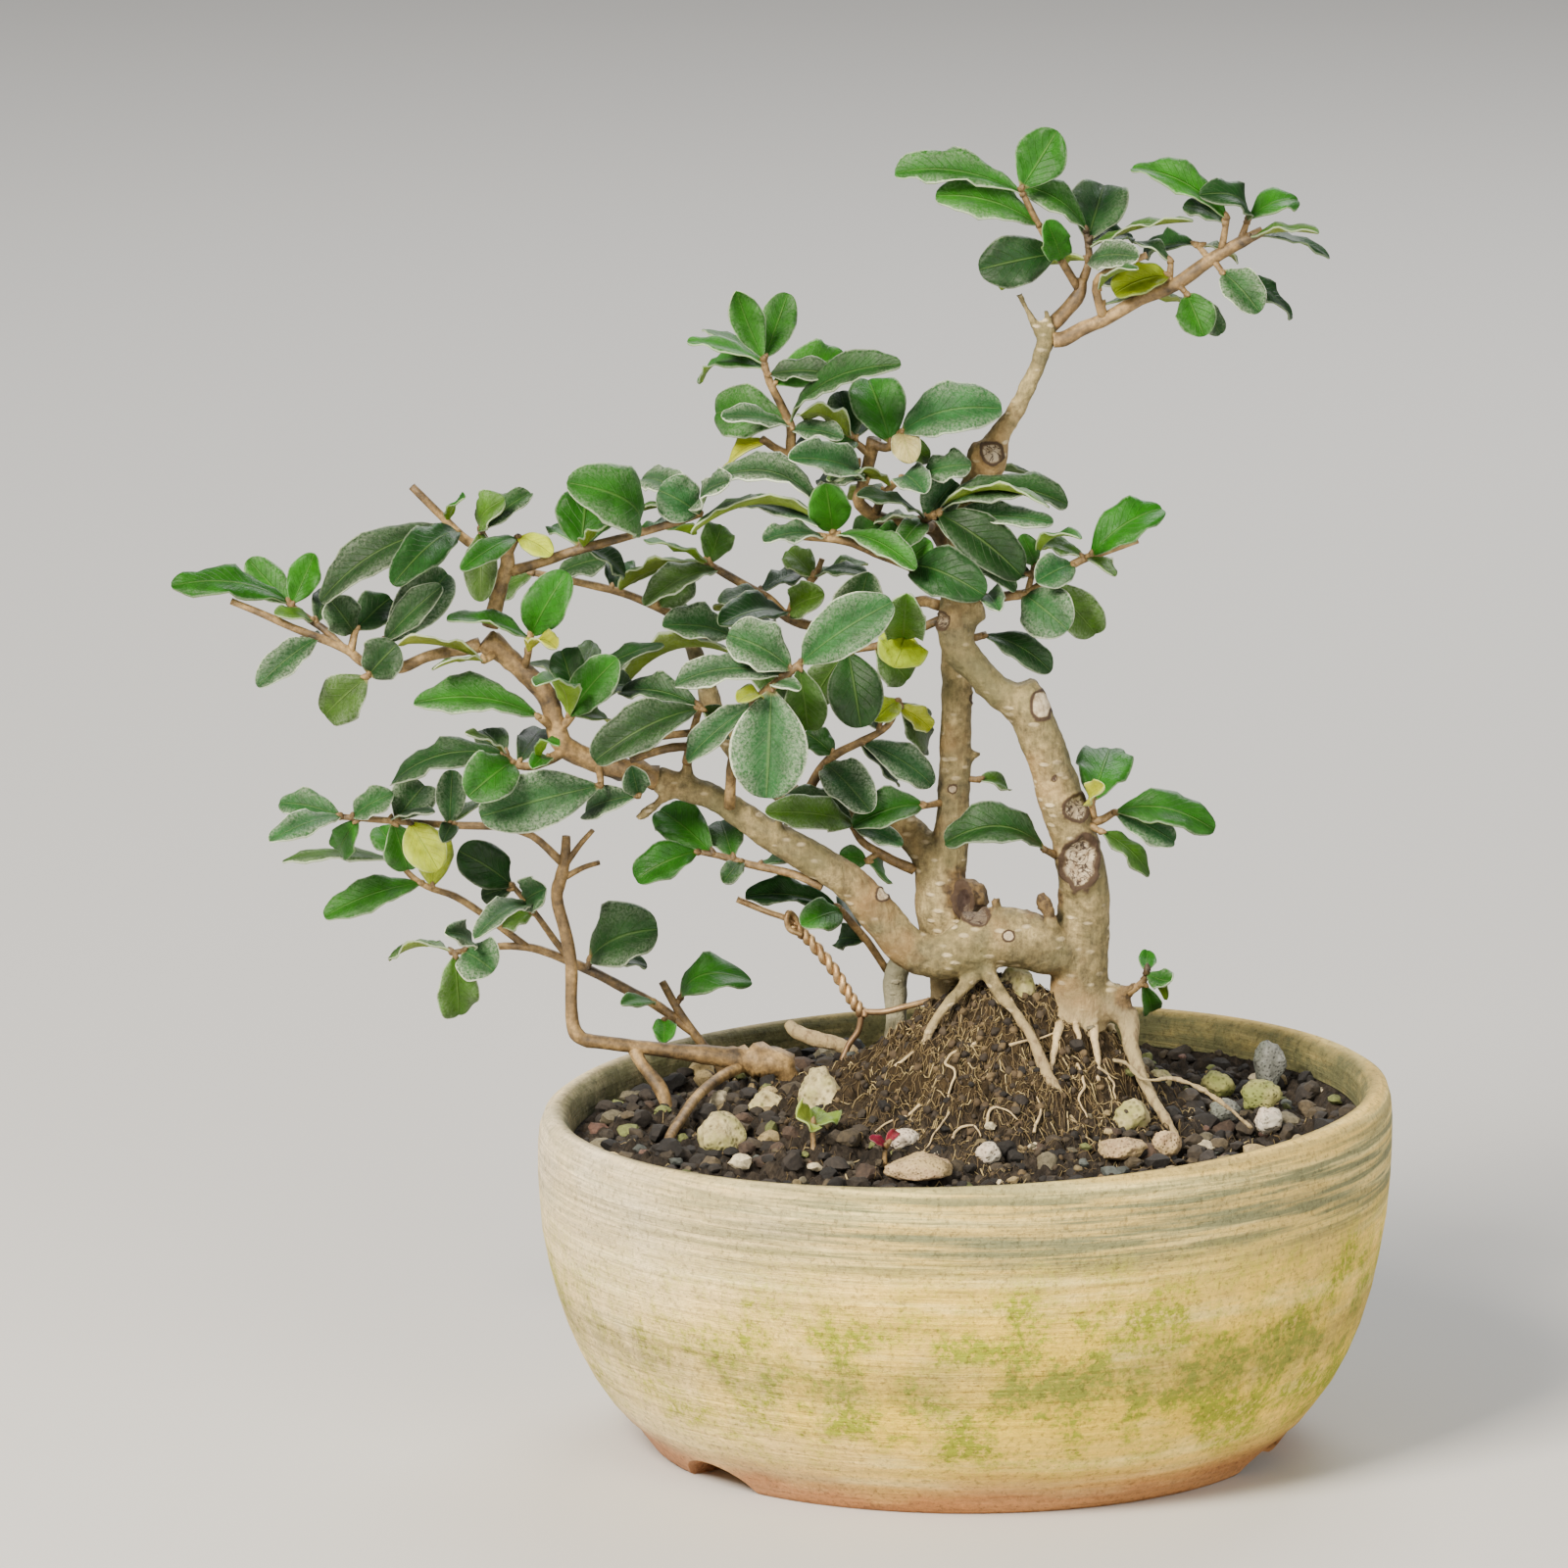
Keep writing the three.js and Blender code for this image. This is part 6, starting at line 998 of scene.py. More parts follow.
      [4, [-107, -4, 140.7, 0.8], [-106.2, -3, 145, 0.6]], [4, [-102.7, -3.4, 138.2, 0.7],
       [-104, -7, 136.3, 0.5]],
      [4, [-100.2, -3, 137.9, 0.7], [-101.2, -6, 142.5, 0.5]]],
     [[-117.7, 149.3, -138, 152.3, -3, 6.5, 34, 0.14, 2], [-117.5, 149.2, -125, 157.3, 4, 6, 55, -0.06, 2],
      [-117.4, 149, -113.3, 158.2, 4, 5.5, 62, -0.06, 2], [-113.5, 146.2, -120, 147.3, -6, 4, 30, 0.1, 3],
      [-113, 145.8, -111, 151.5, 5, 4, 60, 0.08, 0], [-112.5, 143.2, -123, 134.5, -6, 5.5, 50, 0.1, 1],
      [-111.5, 143, -117.5, 140.3, 4, 4, 20, 0.1, 2],
      [-106.4, 144, -110.5, 150, -4, 6.5, 60, 0.05, 0], [-106.3, 144.5, -100.2, 150.3, 5, 6.5, 55, 0.06, 0],
      [-104, 136.5, -111.5, 129.5, 2, 8, 66, 0.1, 3], [-103.8, 136.6, -98.8, 142, -5, 7.5, 68, 0.1, 0],
      [-101.1, 142, -90.3, 154.6, -6, 8, 74, 0.08, 1], [-101.2, 142.4, -91, 152.3, 7, 5.5, 50, 0.06, 0]]],
    ["spray_top_left",
     [[6, [-82.8, -3, 145.2, 1.5], [-81.8, -3, 149, 1.4], [-80.8, -3, 153, 1.3], [-79.8, -3, 157.7, 1.3],
       [-83, -3, 159.3, 1], [-86.5, -3, 160.2, 0.9], [-91, -3, 164.6, 0.75], [-96.3, -3, 170, 0.7]],
      [4, [-83, -3, 159.3, 0.8], [-84.3, -6, 162.4, 0.5]], [4, [-79.8, -3, 157.5, 0.8],
       [-77.8, -4, 161.3, 0.5]]],
     [[-88.2, 161.9, -112, 149.5, -1, 7.5, 42, 0.22, 0], [-88.3, 161.9, -99.2, 152.3, -6, 7, 56, 0.16, 0],
      [-90, 163.8, -87, 167.8, -4, 3, 30, 0.08, 2],
      [-84.2, 162.2, -80, 167.5, -4, 6.5, 40, 0.2, 3], [-84, 162, -75.7, 168.8, 5, 5, 35, 0.08, 0],
      [-84, 162.2, -84.3, 149.5, -6, 5.5, 72, 0.08, 3], [-78, 161, -72, 157.7, -4, 4.5, 40, 0.1, 4],
      [-78.2, 160.8, -87.5, 155, -9, 4, 60, 0.1, 2]]],
    ["spray_top_mid",
     [[6, [-79.2, -3, 155, 1], [-74, -3, 156.5, 0.9], [-69, -3, 158.3, 0.9], [-62, -3, 160.3, 0.8],
       [-57.5, -3, 161.5, 0.7], [-51, -2, 163.5, 0.7], [-46, -1, 165.2, 0.6]]],
     [[-67, 159, -66, 168.8, 7, 9.5, 66, 0.08, 2], [-66.5, 159.2, -60.8, 164, -4, 5.5, 30, 0.1, 2],
      [-66.8, 159, -72.3, 163, -4, 4.5, 25, 0.1, 2], [-57.6, 161.5, -69.2, 170.3, -3, 11, 54, 0.26, 2],
      [-46.3, 165.1, -57, 165.6, 4, 4.5, -12, 0.1, 3], [-46.2, 165.2, -41, 170.5, -4, 6.5, 55, 0.1, 1],
      [-46.4, 165, -53.5, 169.3, -4, 8, 60, 0.14, 1], [-46.1, 165.2, -56.7, 171.5, 6, 6, 50, 0.12, 1],
      [-66.5, 159.3, -59.5, 154.5, 6, 5.5, 35, 0.08, 0], [-57, 161.6, -47.5, 161.7, 6, 5, 10, 0.06, 2]]],
    ["spray_back_twig",
     [[4, [-50, 23, 147, 0.9], [-54, 23, 149, 0.8], [-60, 23, 151.5, 0.7], [-69, 22, 153.7, 0.7],
      [-76, 21, 155.2, 0.6]]],
     [[-62, 152, -59.8, 157, 5, 5, 60, 0.08, 0], [-72, 154.3, -63, 157.5, 4, 5.5, 30, 0.1, 0],
      [-54, 149.2, -48, 155, -5, 7, 55, 0.1, 3], [-55, 149.6, -48, 146, 5, 5.5, 40, 0.1, 3],
      [-75.5, 155.2, -83.5, 150.5, 3, 5, 50, 0.08, 3]]],
    ["stem_left",
     [[7, [-30, 22, 63, 1.6], [-32, 22, 66, 2.7], [-35, 22, 67.3, 3.3], [-38, 22, 67.5, 2.6],
      [-42, 21, 68, 1.9],
       [-50, 20, 69, 1.4], [-58, 19, 70, 1.2], [-64, 18, 70.8, 1.2], [-67, 18, 71.3, 1.3],
        [-68.6, 18, 72.8, 1.3],
       [-69.2, 18, 77, 1.1], [-69.2, 18, 85, 1.1], [-70.3, 18, 91, 1.1], [-71.7, 18, 97, 1.1],
       [-70.8, 18, 101, 1.1], [-70.2, 18, 104, 1], [-70, 18, 108, 0.7]],
      [4, [-70, 18, 103, 0.6], [-67.5, 17, 106.5, 0.5], [-65.3, 16, 109, 0.45]],
      [4, [-70.3, 18, 100.5, 0.6], [-67, 19, 102.3, 0.5], [-64.2, 20, 103.2, 0.45]],
      [5, [-58.5, 19, 69.8, 1.1], [-56.5, 17, 66.5, 1.1], [-53.5, 14, 62.5, 1.3], [-51.5, 12, 57, 1]],
      [5, [-39, 21, 66.5, 1.1], [-43, 14, 64.5, 1], [-47, 2, 61.3, 0.9], [-50, -10, 57, 0.9],
       [-52, -18, 53.6, 0.8], [-52.5, -21, 49, 0.7]],
      [4, [-70.8, 18, 103.2, 0.8], [-76, 18, 108, 0.7], [-81, 18, 109.5, 0.7], [-90, 18, 109.9, 0.7],
       [-96, 18, 110.3, 0.65], [-102, 18, 110.8, 0.6], [-109.5, 18, 111.4, 0.55]]],
     [[-109.5, 111.5, -120.5, 113.8, 3, 5.5, 50, 0.12, 1], [-109.5, 111.2, -121.7, 107, -4, 5, 40, 0.08, 1],
      [-107.5, 111.3, -100.3, 115.5, -3, 5, 55, 0.12, 1], [-106.5, 111.2, -110, 105.2, -5, 5, 66, 0.12, 2],
      [-100, 110.6, -95, 117, 5, 7.5, 62, 0.08, 1], [-100.5, 110.7, -98, 102, 4, 6.5, 66, 0.08, 2],
      [-97.5, 110.4, -92.5, 101.8, -4, 7, 74, 0.06, 4], [-90.5, 110, -90, 119.8, 4, 5, 66, 0.08, 1],
      [-90, 109.9, -91.5, 106.8, -3, 3, 70, 0.1, 0], [-91, 110, -84.5, 114, -4, 3.5, 20, 0.08, 3],
      [-101, 110.7, -93, 112.2, -5, 3, 15, 0.06, 0]]],
    ["stem_low",
     [[6, [-42, 34, 61, 0.8], [-43, 34, 66, 0.95], [-46, 34, 69.8, 0.9], [-50, 34, 75.5, 0.8],
       [-53.3, 34, 81.5, 0.7]],
      [6, [-47.5, 34, 72, 0.8], [-54, 34, 77, 0.9], [-60, 33, 80.3, 0.9], [-66, 33, 83.5, 0.9],
       [-75, 33, 87.3, 0.8], [-80, 33, 88, 0.7], [-85, 33, 87.6, 0.6], [-90.5, 31, 86.8, 0.5]],
      [4, [-77, 33, 87.6, 0.7], [-84, 33, 93, 0.7], [-90, 33, 97, 0.65], [-95, 33, 98.8, 0.6],
       [-98.5, 33, 101.5, 0.55], [-100, 33, 104.5, 0.5]],
      [4, [-69, 33, 84.8, 0.7], [-72, 32, 88.6, 0.65], [-74, 31, 91.5, 0.6], [-76.5, 30, 95, 0.55],
       [-80, 29, 99.3, 0.5]],
      [4, [-66.5, 33, 83.8, 0.6], [-66, 29, 86, 0.5]], [4, [-51, 34, 77, 0.6], [-49.8, 34, 79, 0.5]],
      [4, [-51, 34, 74.8, 0.6], [-53, 31, 74.5, 0.5]]],
     [[-66.1, 85.5, -54, 91, -4, 11, 48, 0.2, 0], [-66.3, 85, -56, 84.3, 4, 4, 15, 0.1, 0],
      [-50, 78.5, -37.5, 81.5, -3, 8, 44, 0.4, 2], [-54.5, 77.2, -60.5, 77.5, -5, 3, 40, 0.08, 2],
      [-52.8, 74.5, -53, 70.5, -3, 4, 75, 0.08, 2],
      [-99.5, 102.8, -120.6, 103.2, 3, 4.5, 14, 0.08, 3], [-96, 99, -113, 93.3, -4, 6.5, 42, 0.1, 2],
      [-94, 98.6, -93.5, 108.8, 6, 6.5, 66, 0.08, 4], [-99.8, 104, -103.5, 109.5, 5, 5.5, 55, 0.06, 2],
      [-79.8, 99, -89.2, 105.3, -3, 7.5, 62, 0.12, 0], [-79.5, 98.6, -85.2, 97, -6, 4.5, 62, 0.1, 0],
      [-77.5, 96.3, -73.6, 98.5, -6, 6, 70, 0.08, 1], [-76.3, 94.8, -86, 89.5, -6, 5, 40, 0.12, 1],
      [-75.8, 94, -81.5, 92, 4, 6, 30, 0.1, 3],
      [-90.4, 86.8, -101.7, 85.3, 3, 6.5, -14, 0.16, 3], [-88.5, 87.2, -83, 83.5, -5, 8, 62, 0.12, 1],
      [-90, 86.9, -89.5, 75.5, 5, 7, 40, 0.1, 3], [-87, 87.4, -91.5, 90.5, -6, 4.5, 60, 0.1, 1]]],
    ["spray_trunk_right",
     [[5, [20, 0.5, 110.3, 1], [23.5, 0, 110.8, 0.75], [26, 0, 112.3, 0.6]],
      [4, [22.5, 0.3, 110.7, 0.7], [21.8, -1.5, 115, 0.5]], [4, [21, 0, 110.4, 0.7],
       [23.5, -2.5, 108.8, 0.5]]],
     [[21.8, 114, 25.5, 123.5, 4, 9, 64, 0.1, 2], [22, 113.5, 24, 117, -4, 3.5, 60, 0.1, 4],
      [25.8, 112.2, 43.3, 109, -4, 7.5, 38, 0.2, 2], [25.9, 112.3, 36.5, 107, -8, 6, 58, 0.1, 1],
      [23.3, 108.9, 32, 101, 4, 5, 30, 0.12, 3]]],
    ["spray_trunk_left",
     [[4, [15.8, -1, 104.6, 0.8], [13.3, -4.5, 105.8, 0.5]]],
     [[13.8, 105.5, -3.6, 106.8, -2, 8, 40, 0.32, 0]]],
    ["spray_trunk_b",
     [[4, [0.2, 11.5, 118.3, 0.6], [2.6, 11, 118, 0.5]]],
     [[2.2, 118, 7.5, 116.3, 0, 4, 35, 0.12, 3]]],
    ["shoot_base",
     [[4, [28.6, -0.6, 80, 0.8], [31, -1.5, 82, 0.6], [31.8, -2, 84, 0.45]]],
     [[31.6, 83.5, 35.8, 82.2, -3, 4, 60, -0.1, 2], [31.7, 84, 32, 87.5, 3, 3, 60, -0.1, 2],
      [30.8, 82, 32.5, 76.5, -4, 3.5, 66, 0.1, 2], [31.2, 82.3, 35.5, 78.6, 2, 2, 30, 0.1, 2]]],
]
LEAF_THICK, CARD_THICK, STALK = 0.72, 0.3, 0.5
WIDEST, BREADTH = 1.25, 1.1
STALK_TAPER, TIP_TAPER = 0.74, 0.44
SWINGS = (0, 3, -3, 6, -6, 9, -9, 12, -12, 15, -15)
ALONG, ACROSS = 20, 8
FOLD_POWER, LEAST_FOLD, MORE_FOLD, RUFFLE, RUFFLE_LENGTH, CURL = 1.4, 0.24, 0.44, 0.34, 4.2, -0.24
FIRST_NUMBER, MULTIPLIER, INCREMENT, NUMBERS = 20, 1664525, 1013904223, 2**32


def whole_number_draws():
    """The whole-number random sequence that the solids' leaves were shaped by."""
    number = FIRST_NUMBER
    while True:
        number = (number * MULTIPLIER + INCREMENT) % NUMBERS
        yield number / NUMBERS


solid_draws = whole_number_draws()


def on_twig(limbs, x, height):
    """The point of a shoot's twigs that looks nearest to a place seen from the front."""
    best = None
    for _, *route in limbs:
        for a, b in zip(route, route[1:]):
            dx, dz = b[0] - a[0], b[2] - a[2]
            t = min(1, max(0, ((x - a[0]) * dx + (height - a[2]) * dz) / (dx * dx + dz * dz)))
            at = (a[0] + t * dx, a[1] + t * (b[1] - a[1]), a[2] + t * dz)
            off = math.hypot(x - at[0], height - at[2])
            if best is None or off < best[0]:
                best = (off, at)
    return best[1]


def leaf_axes(base, row, shift):
    """A leaf's stalk, its own three axes and its length, for a tip that lies shift further back."""
    stalk = seen(*base)
    tip = seen(row[2], stalk.y / MM + row[4] + shift, row[3])
    along = tip - stalk
    length = along.length
    along.normalize()
    lean = math.radians(row[6])
    up = Vector((0, -math.sin(lean), math.cos(lean)))
    up = (up - along * up.dot(along)).normalized()
    return stalk, along, up, along.cross(up), length


def blade_point(leaf, t, s, lift):
    """A point of a leaf: t from stalk to tip, s from edge to edge, lift over its middle, in metres."""
    stalk, along, up, across, length = leaf["axes"]
    taper = STALK_TAPER + (TIP_TAPER - STALK_TAPER) * t
    outline = math.sin(math.pi * min(max(t, 0), 1) ** WIDEST) ** taper if 0 < t < 1 else 0
    half = max(STALK * 0.55 if t < 0.5 else 0.05, leaf["width"] / 2 * BREADTH * outline) * MM
    normal = (up - along * (leaf["arch"] * 4 * (1 - 2 * t))).normalized()
    fold = leaf["fold"] * abs(s) ** FOLD_POWER * half
    swing = math.sin(2 * math.pi * (leaf["waves"] * t + leaf["phase"] * s))
    beat = t * length / MM / RUFFLE_LENGTH + leaf["phase"] * 3 + 0.3 * (s > 0)
    ruffle = RUFFLE * abs(s) ** 3 * math.sin(2 * math.pi * beat)
    wave = (1.25 * leaf["wave"] * s * s * swing + ruffle) * outline * min(1, leaf["width"] / 7) * MM
    curl = CURL * s * s * s * s * half
    turn = leaf["twist"] * (t - 0.35)
    sideways = across * math.cos(turn) + normal * math.sin(turn)
    place = stalk + along * (length * t) + up * (length * leaf["arch"] * 4 * t * (1 - t))
    return place + sideways * (s * half) + normal * (fold + wave + curl + lift)


LEAF_TINTS = (
    ("#133C0E", "#48661C", 0.14), ("#1B4F1E", "#4F7428", 0.62), ("#1F6004", "#6E941C", 0.14),
    ("#375F0D", "#768826", 0.26), ("#A2AE1A", "#B0B632", 0.08), ("#BDB472", "#AFA67A", 0.2),
    ("#8A1C34", "#9A4A4E", 0.1), ("#8CA63C", "#9DB25A", 0.0),
)
BARE_TINT = (0.5, 0.5, 0.5, 0)  # on twigs and buds, which have their own bark
leaf_draw = random.Random(5)


def add_leaf(shape, leaf):
    """Adds a leaf's two faces and its edge to a shoot's lists: places, faces, slots, maps and tints."""
    first = len(shape["places"])
    look = leaf["look"]
    top, under, frost = LEAF_TINTS[look]
    warm, light = leaf_draw.uniform(-0.14, 0.14), leaf_draw.uniform(0.6, 1.08)
    top, under = linear(top), linear(under)
    frost = min(1, max(0, frost + leaf_draw.uniform(-0.15, 0.25)))
    half = CARD_THICK / 2 * MM
    for side, tint in ((1, top), (-1, under)):
        shaded = (tint[0] * light * (1 + warm), tint[1] * light, tint[2] * light * (1 - warm), frost)
        for i in range(ALONG + 1):
            t = 0.5 - 0.5 * math.cos(math.pi * i / ALONG)
            for k in range(ACROSS + 1):
                s = 2 * k / ACROSS - 1
                thin = 1 if 0 < i < ALONG else 0.5
                shape["places"].append(blade_point(leaf, t, s, side * half * thin))
                shape["maps"].append((s, t * leaf["axes"][4] / MM / leaf["width"]))
                shape["tints"].append(shaded)
    row, layer = ACROSS + 1, (ACROSS + 1) * (ALONG + 1)
    for i in range(ALONG):
        for k in range(ACROSS):
            a = first + i * row + k
            shape["faces"].append((a, a + row, a + row + 1, a + 1))
            shape["slots"].append(1)
            b = a + layer
            shape["faces"].append((b, b + 1, b + row + 1, b + row))
            shape["slots"].append(2)
    outline = [(i, 0) for i in range(ALONG)] + [(ALONG, k) for k in range(ACROSS)]
    outline += [(i, ACROSS) for i in range(ALONG, 0, -1)] + [(0, k) for k in range(ACROSS, 0, -1)]
    for (i, k), (j, m) in zip(outline, outline[1:] + outline[:1]):
        a, b = first + i * row + k, first + j * row + m
        shape["faces"].append((a, a + layer, b + layer, b))
        shape["slots"].append(1)


def add_bud(shape, leaf):
    """Adds the small bud that sits where a leaf's stalk joins the twig."""
    stalk, along, up, across, _ = leaf["axes"]
    first, before = len(shape["places"]), len(shape["faces"])
    tip = along * 0.7 + up * 0.9 + across * leaf_draw.uniform(-0.5, 0.5)
    line = [stalk + tip * (share * MM) for share in (0, 0.45, 0.9, 1.25)]
    add_tube(shape["places"], shape["faces"], line, [0.7 * MM, 0.62 * MM, 0.42 * MM, 0.12 * MM], 7)
    shape["slots"] += [0] * (len(shape["faces"]) - before)
    shape["maps"] += [(0, 0)] * (len(shape["places"]) - first)
    shape["tints"] += [BARE_TINT] * (len(shape["places"]) - first)


def place_leaf(limbs, row, corners):
    """A leaf of a shoot, at the swing that the solid's own tip has."""
    base = on_twig(limbs, row[0], row[1])
    leaf = {"width": row[5], "arch": row[7], "look": row[8]}
    leaf["fold"] = LEAST_FOLD + MORE_FOLD * next(solid_draws)
    leaf["wave"] = 0.35 + 0.5 * next(solid_draws)
    leaf["waves"] = 1.4 + 1.2 * next(solid_draws)
    leaf["phase"] = next(solid_draws)

    def miss(shift):
        """How far the solid's nearest corners are from this tip's."""
        stalk, along, up, _, length = leaf_axes(base, row, shift)
        tip = stalk + along * length
        return sum(corners.find(tip + up * (lift * MM))[2] for lift in (LEAF_THICK / 2, -LEAF_THICK / 2))

    leaf["axes"] = leaf_axes(base, row, min(SWINGS, key=miss))
    leaf["twist"] = leaf_draw.uniform(-0.6, 0.6)
    return leaf


def corners_of(node):
    """A search tree of a solid's corners."""
    points = [v.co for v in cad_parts[node].data.vertices]
    corners = kdtree.KDTree(len(points))
    for number, point in enumerate(points):
        corners.insert(point, number)
    corners.balance()
    return corners


def leafy_piece(name, limbs, rows, twig_sides):
    """A shoot's twigs and leaves as one piece, with slots for twig, upper side and underside."""
    shape = {"places": [], "faces": [], "slots": [], "maps": [], "tints": []}
    places, faces = shape["places"], shape["faces"]
    for _, *route in limbs:
        line, widths = smooth_route(route, 4)
        for number, at in enumerate(line):
            knot = 0.16 * max(0, noise.noise(at / MM / 2.6))
            widths[number] *= 1 + knot + 0.07 * noise.noise(at / MM / 0.9)
        start = len(places)
        add_tube(places, faces, line, widths, twig_sides)
        for number, centre in enumerate((c for c in line for _ in range(twig_sides)), start):
            out = places[number] - centre
            gnarl = eased(out.length / MM, 1.5, 2.6)
            places[number] += out * (gnarl * 0.5 * noise.noise(places[number] / MM / 1.4))
    shape["slots"] = [0] * len(faces)
    shape["maps"] = [(0, 0)] * len(places)
    shape["tints"] = [BARE_TINT] * len(places)
    corners = corners_of(name)
    for row in rows:
        leaf = place_leaf(limbs, row, corners)
        add_leaf(shape, leaf)
        add_bud(shape, leaf)
    piece = mesh_piece(name + "_grown", places, faces)
    store_tints(piece, "leaf_tint", shape["tints"])
    chart = piece.data.uv_layers.new(name="leaf_chart")
    for loop in piece.data.loops:
        chart.data[loop.index].uv = shape["maps"][loop.vertex_index]
    for finish in (twig_bark, leaf_top, leaf_underside):
        piece.data.materials.append(finish)
    for polygon, slot_number in zip(piece.data.polygons, shape["slots"]):
        polygon.material_index = slot_number
        polygon.use_smooth = True
    return piece


# Young privet bark: thin, orange-brown to grey, a little glossy, with small pale dots and the
# ring scars of old leaf stalks.
twig_bark, graph, shader = new_material("young_privet_bark")
place = add_node(graph, "TexCoord").outputs["Object"]
broad = add_node(graph, "TexNoise", {"Vector": place, "Scale": per_mm(6), "Detail": 5, "Roughness": 0.65})
fine = add_node(graph, "TexNoise", {"Vector": place, "Scale": per_mm(0.9), "Detail": 6, "Roughness": 0.7})
skin = add_node(
    graph, "ValToRGB", {"Fac": broad}, stops=((0.34, "#3A2E1C"), (0.5, "#735C38"), (0.68, "#A88B5A")),
)
freckle = add_node(
    graph, "MapRange", {"Value": fine, "From Min": 0.34, "From Max": 0.66, "To Min": 0.55, "To Max": 1.4},
)
freckled = add_node(
    graph, "MixRGB", {"Fac": 1.0, "Color1": skin, "Color2": freckle}, blend_type="MULTIPLY",
)
bump = add_node(graph, "Bump", {"Height": fine, "Strength": 0.6, "Distance": 0.2 * MM})
plug(shader, {"Base Color": freckled, "Roughness": 0.6, "Normal": bump})


def leaf_finish(name, vein_colour, vein_share, gloss, sunk, mottle_low):
    """Leaf skin: its own green from the leaf's tint, a midrib and side veins from its chart,
    a rim of pale hairs, and the pucker of the blade between the veins."""
    made, graph, shader = new_material(name)
    place = add_node(graph, "TexCoord").outputs["Object"]
    split = add_node(graph, "SeparateXYZ", {"Vector": add_node(graph, "UVMap", uv_map="leaf_chart")})
    tint = add_node(graph, "Attribute", attribute_name="leaf_tint")
    frost, from_stalk = tint.outputs["Alpha"], split.outputs["Y"]
    across = add_node(graph, "Math", {0: split.outputs["X"]}, operation="ABSOLUTE")
    mottle, hairs = (
        add_node(
            graph, "TexNoise",
            {"Vector": place, "Scale": per_mm(size), "Detail": detail, "Roughness": rough},
        )
        for size, detail, rough in ((3.5, 6, 0.65), (0.45, 3, 0.7))
    )
    slant = add_node(graph, "Math", {0: across, 1: -0.62, 2: from_stalk}, operation="MULTIPLY_ADD")
    order = add_node(graph, "Math", {0: slant, 1: 4.6}, operation="MULTIPLY")
    beat = add_node(graph, "Math", {0: order, 1: 0.5}, operation="PINGPONG")
    ragged = add_node(graph, "Math", {0: hairs, 1: 0.16, 2: across}, operation="MULTIPLY_ADD")
    midrib, side_vein, fading, varied, hair_share, outward, rim, rim_share, stalk, dull = (
        add_node(
            graph, "MapRange",
            {"Value": of, "From Min": low, "From Max": high, "To Min": least, "To Max": most},
        )
        for of, low, high, least, most in (
            (across, 0.06, 0.02, 0, 1), (beat, 0.07, 0, 0, 1), (across, 0.9, 0.5, 0, 0.35),
            (mottle, 0.3, 0.7, mottle_low, 1.25), (hairs, 0.38, 0.65, 0.2, 2), (across, 0.3, 1, 0.03, 0.24),
            (ragged, 0.99, 1.07, 0, 1), (frost, 0, 1, 0.15, 1), (from_stalk, 0.14, 0.04, 0, 0.8),
            (frost, 0, 1, gloss, gloss + 0.22),
        )
    )
    side_veins = add_node(graph, "Math", {0: side_vein, 1: fading}, operation="MULTIPLY")
    veins = add_node(graph, "Math", {0: midrib, 1: side_veins}, operation="MAXIMUM")
    vein_fac = add_node(graph, "Math", {0: veins, 1: vein_share}, operation="MULTIPLY")
    bloom = add_node(graph, "Math", {0: hair_share, 1: frost}, operation="MULTIPLY")
    bloom = add_node(graph, "Math", {0: bloom, 1: outward}, operation="MULTIPLY")
    rim_hair = add_node(graph, "Math", {0: rim, 1: rim_share}, operation="MULTIPLY")
    pale = add_node(graph, "Math", {0: rim_hair, 1: bloom}, operation="MAXIMUM", use_clamp=True)
    skin = add_node(
        graph, "MixRGB", {"Fac": 1.0, "Color1": tint, "Color2": varied}, blend_type="MULTIPLY",
    )
    for share, colour in ((vein_fac, vein_colour), (pale, "#D6E2C8"), (stalk, "#9B8A55")):
        skin = add_node(graph, "MixRGB", {"Fac": share, "Color1": skin, "Color2": linear(colour)})
    raised = add_node(graph, "Math", {0: veins, 1: sunk, 2: mottle}, operation="MULTIPLY_ADD")
    haired = add_node(graph, "Math", {0: hairs, 1: 0.25, 2: raised}, operation="MULTIPLY_ADD")
    bump = add_node(graph, "Bump", {"Height": haired, "Strength": 0.7, "Distance": 0.45 * MM})
    plug(shader, {
        "Base Color": skin, "Roughness": dull, "Normal": bump, "Specular IOR Level": 0.2,
        "Subsurface Weight": 0.12, "Subsurface Scale": 1,
        "Subsurface Radius": (0.4 * MM, 0.8 * MM, 0.2 * MM),
    })
    return made


leaf_top = leaf_finish("privet_leaf_upper_skin", "#7FA052", 0.15, 0.44, -0.7, 0.58)
leaf_underside = leaf_finish("privet_leaf_underside", "#A9B572", 0.45, 0.6, 0.7, 0.75)
for name, limbs, rows in leafy_shoots:
    shoot = leafy_piece(name, limbs, rows, 9)
    settle(shoot)
    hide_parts(name)

# The bare root that arches out of the soil on the left. It broke off long ago and has dried
# pale, like a small horn.
HORN_ROUTE = (
    (-31, 23, 74.2, 0.9), (-29.7, 22, 72.8, 1.3), (-26, 21, 71.3, 1.4), (-22, 21, 70.3, 1.3),
    (-19, 21, 68, 1.1), (-18, 20, 63, 0.8),
)
places, faces = [], []
line, widths = smooth_route(HORN_ROUTE, 8)
knots = [1 + 0.2 * noise.noise(at / MM / 2.1) + 0.08 * noise.noise(at / MM / 0.8) for at in line]
add_tube(places, faces, line, [w * k for w, k in zip(widths, knots)], 16)
horn = mesh_piece("dried_horn_root", places, faces)
store_tints(horn, "wound", [(1, 0, 0, 1)] * len(places))
store_tints(horn, "age", [(0, 0, 0, 1)] * len(places))
bpy.ops.object.shade_smooth()
settle(horn)
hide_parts("horn_root")
horn.data.materials.append(bark)

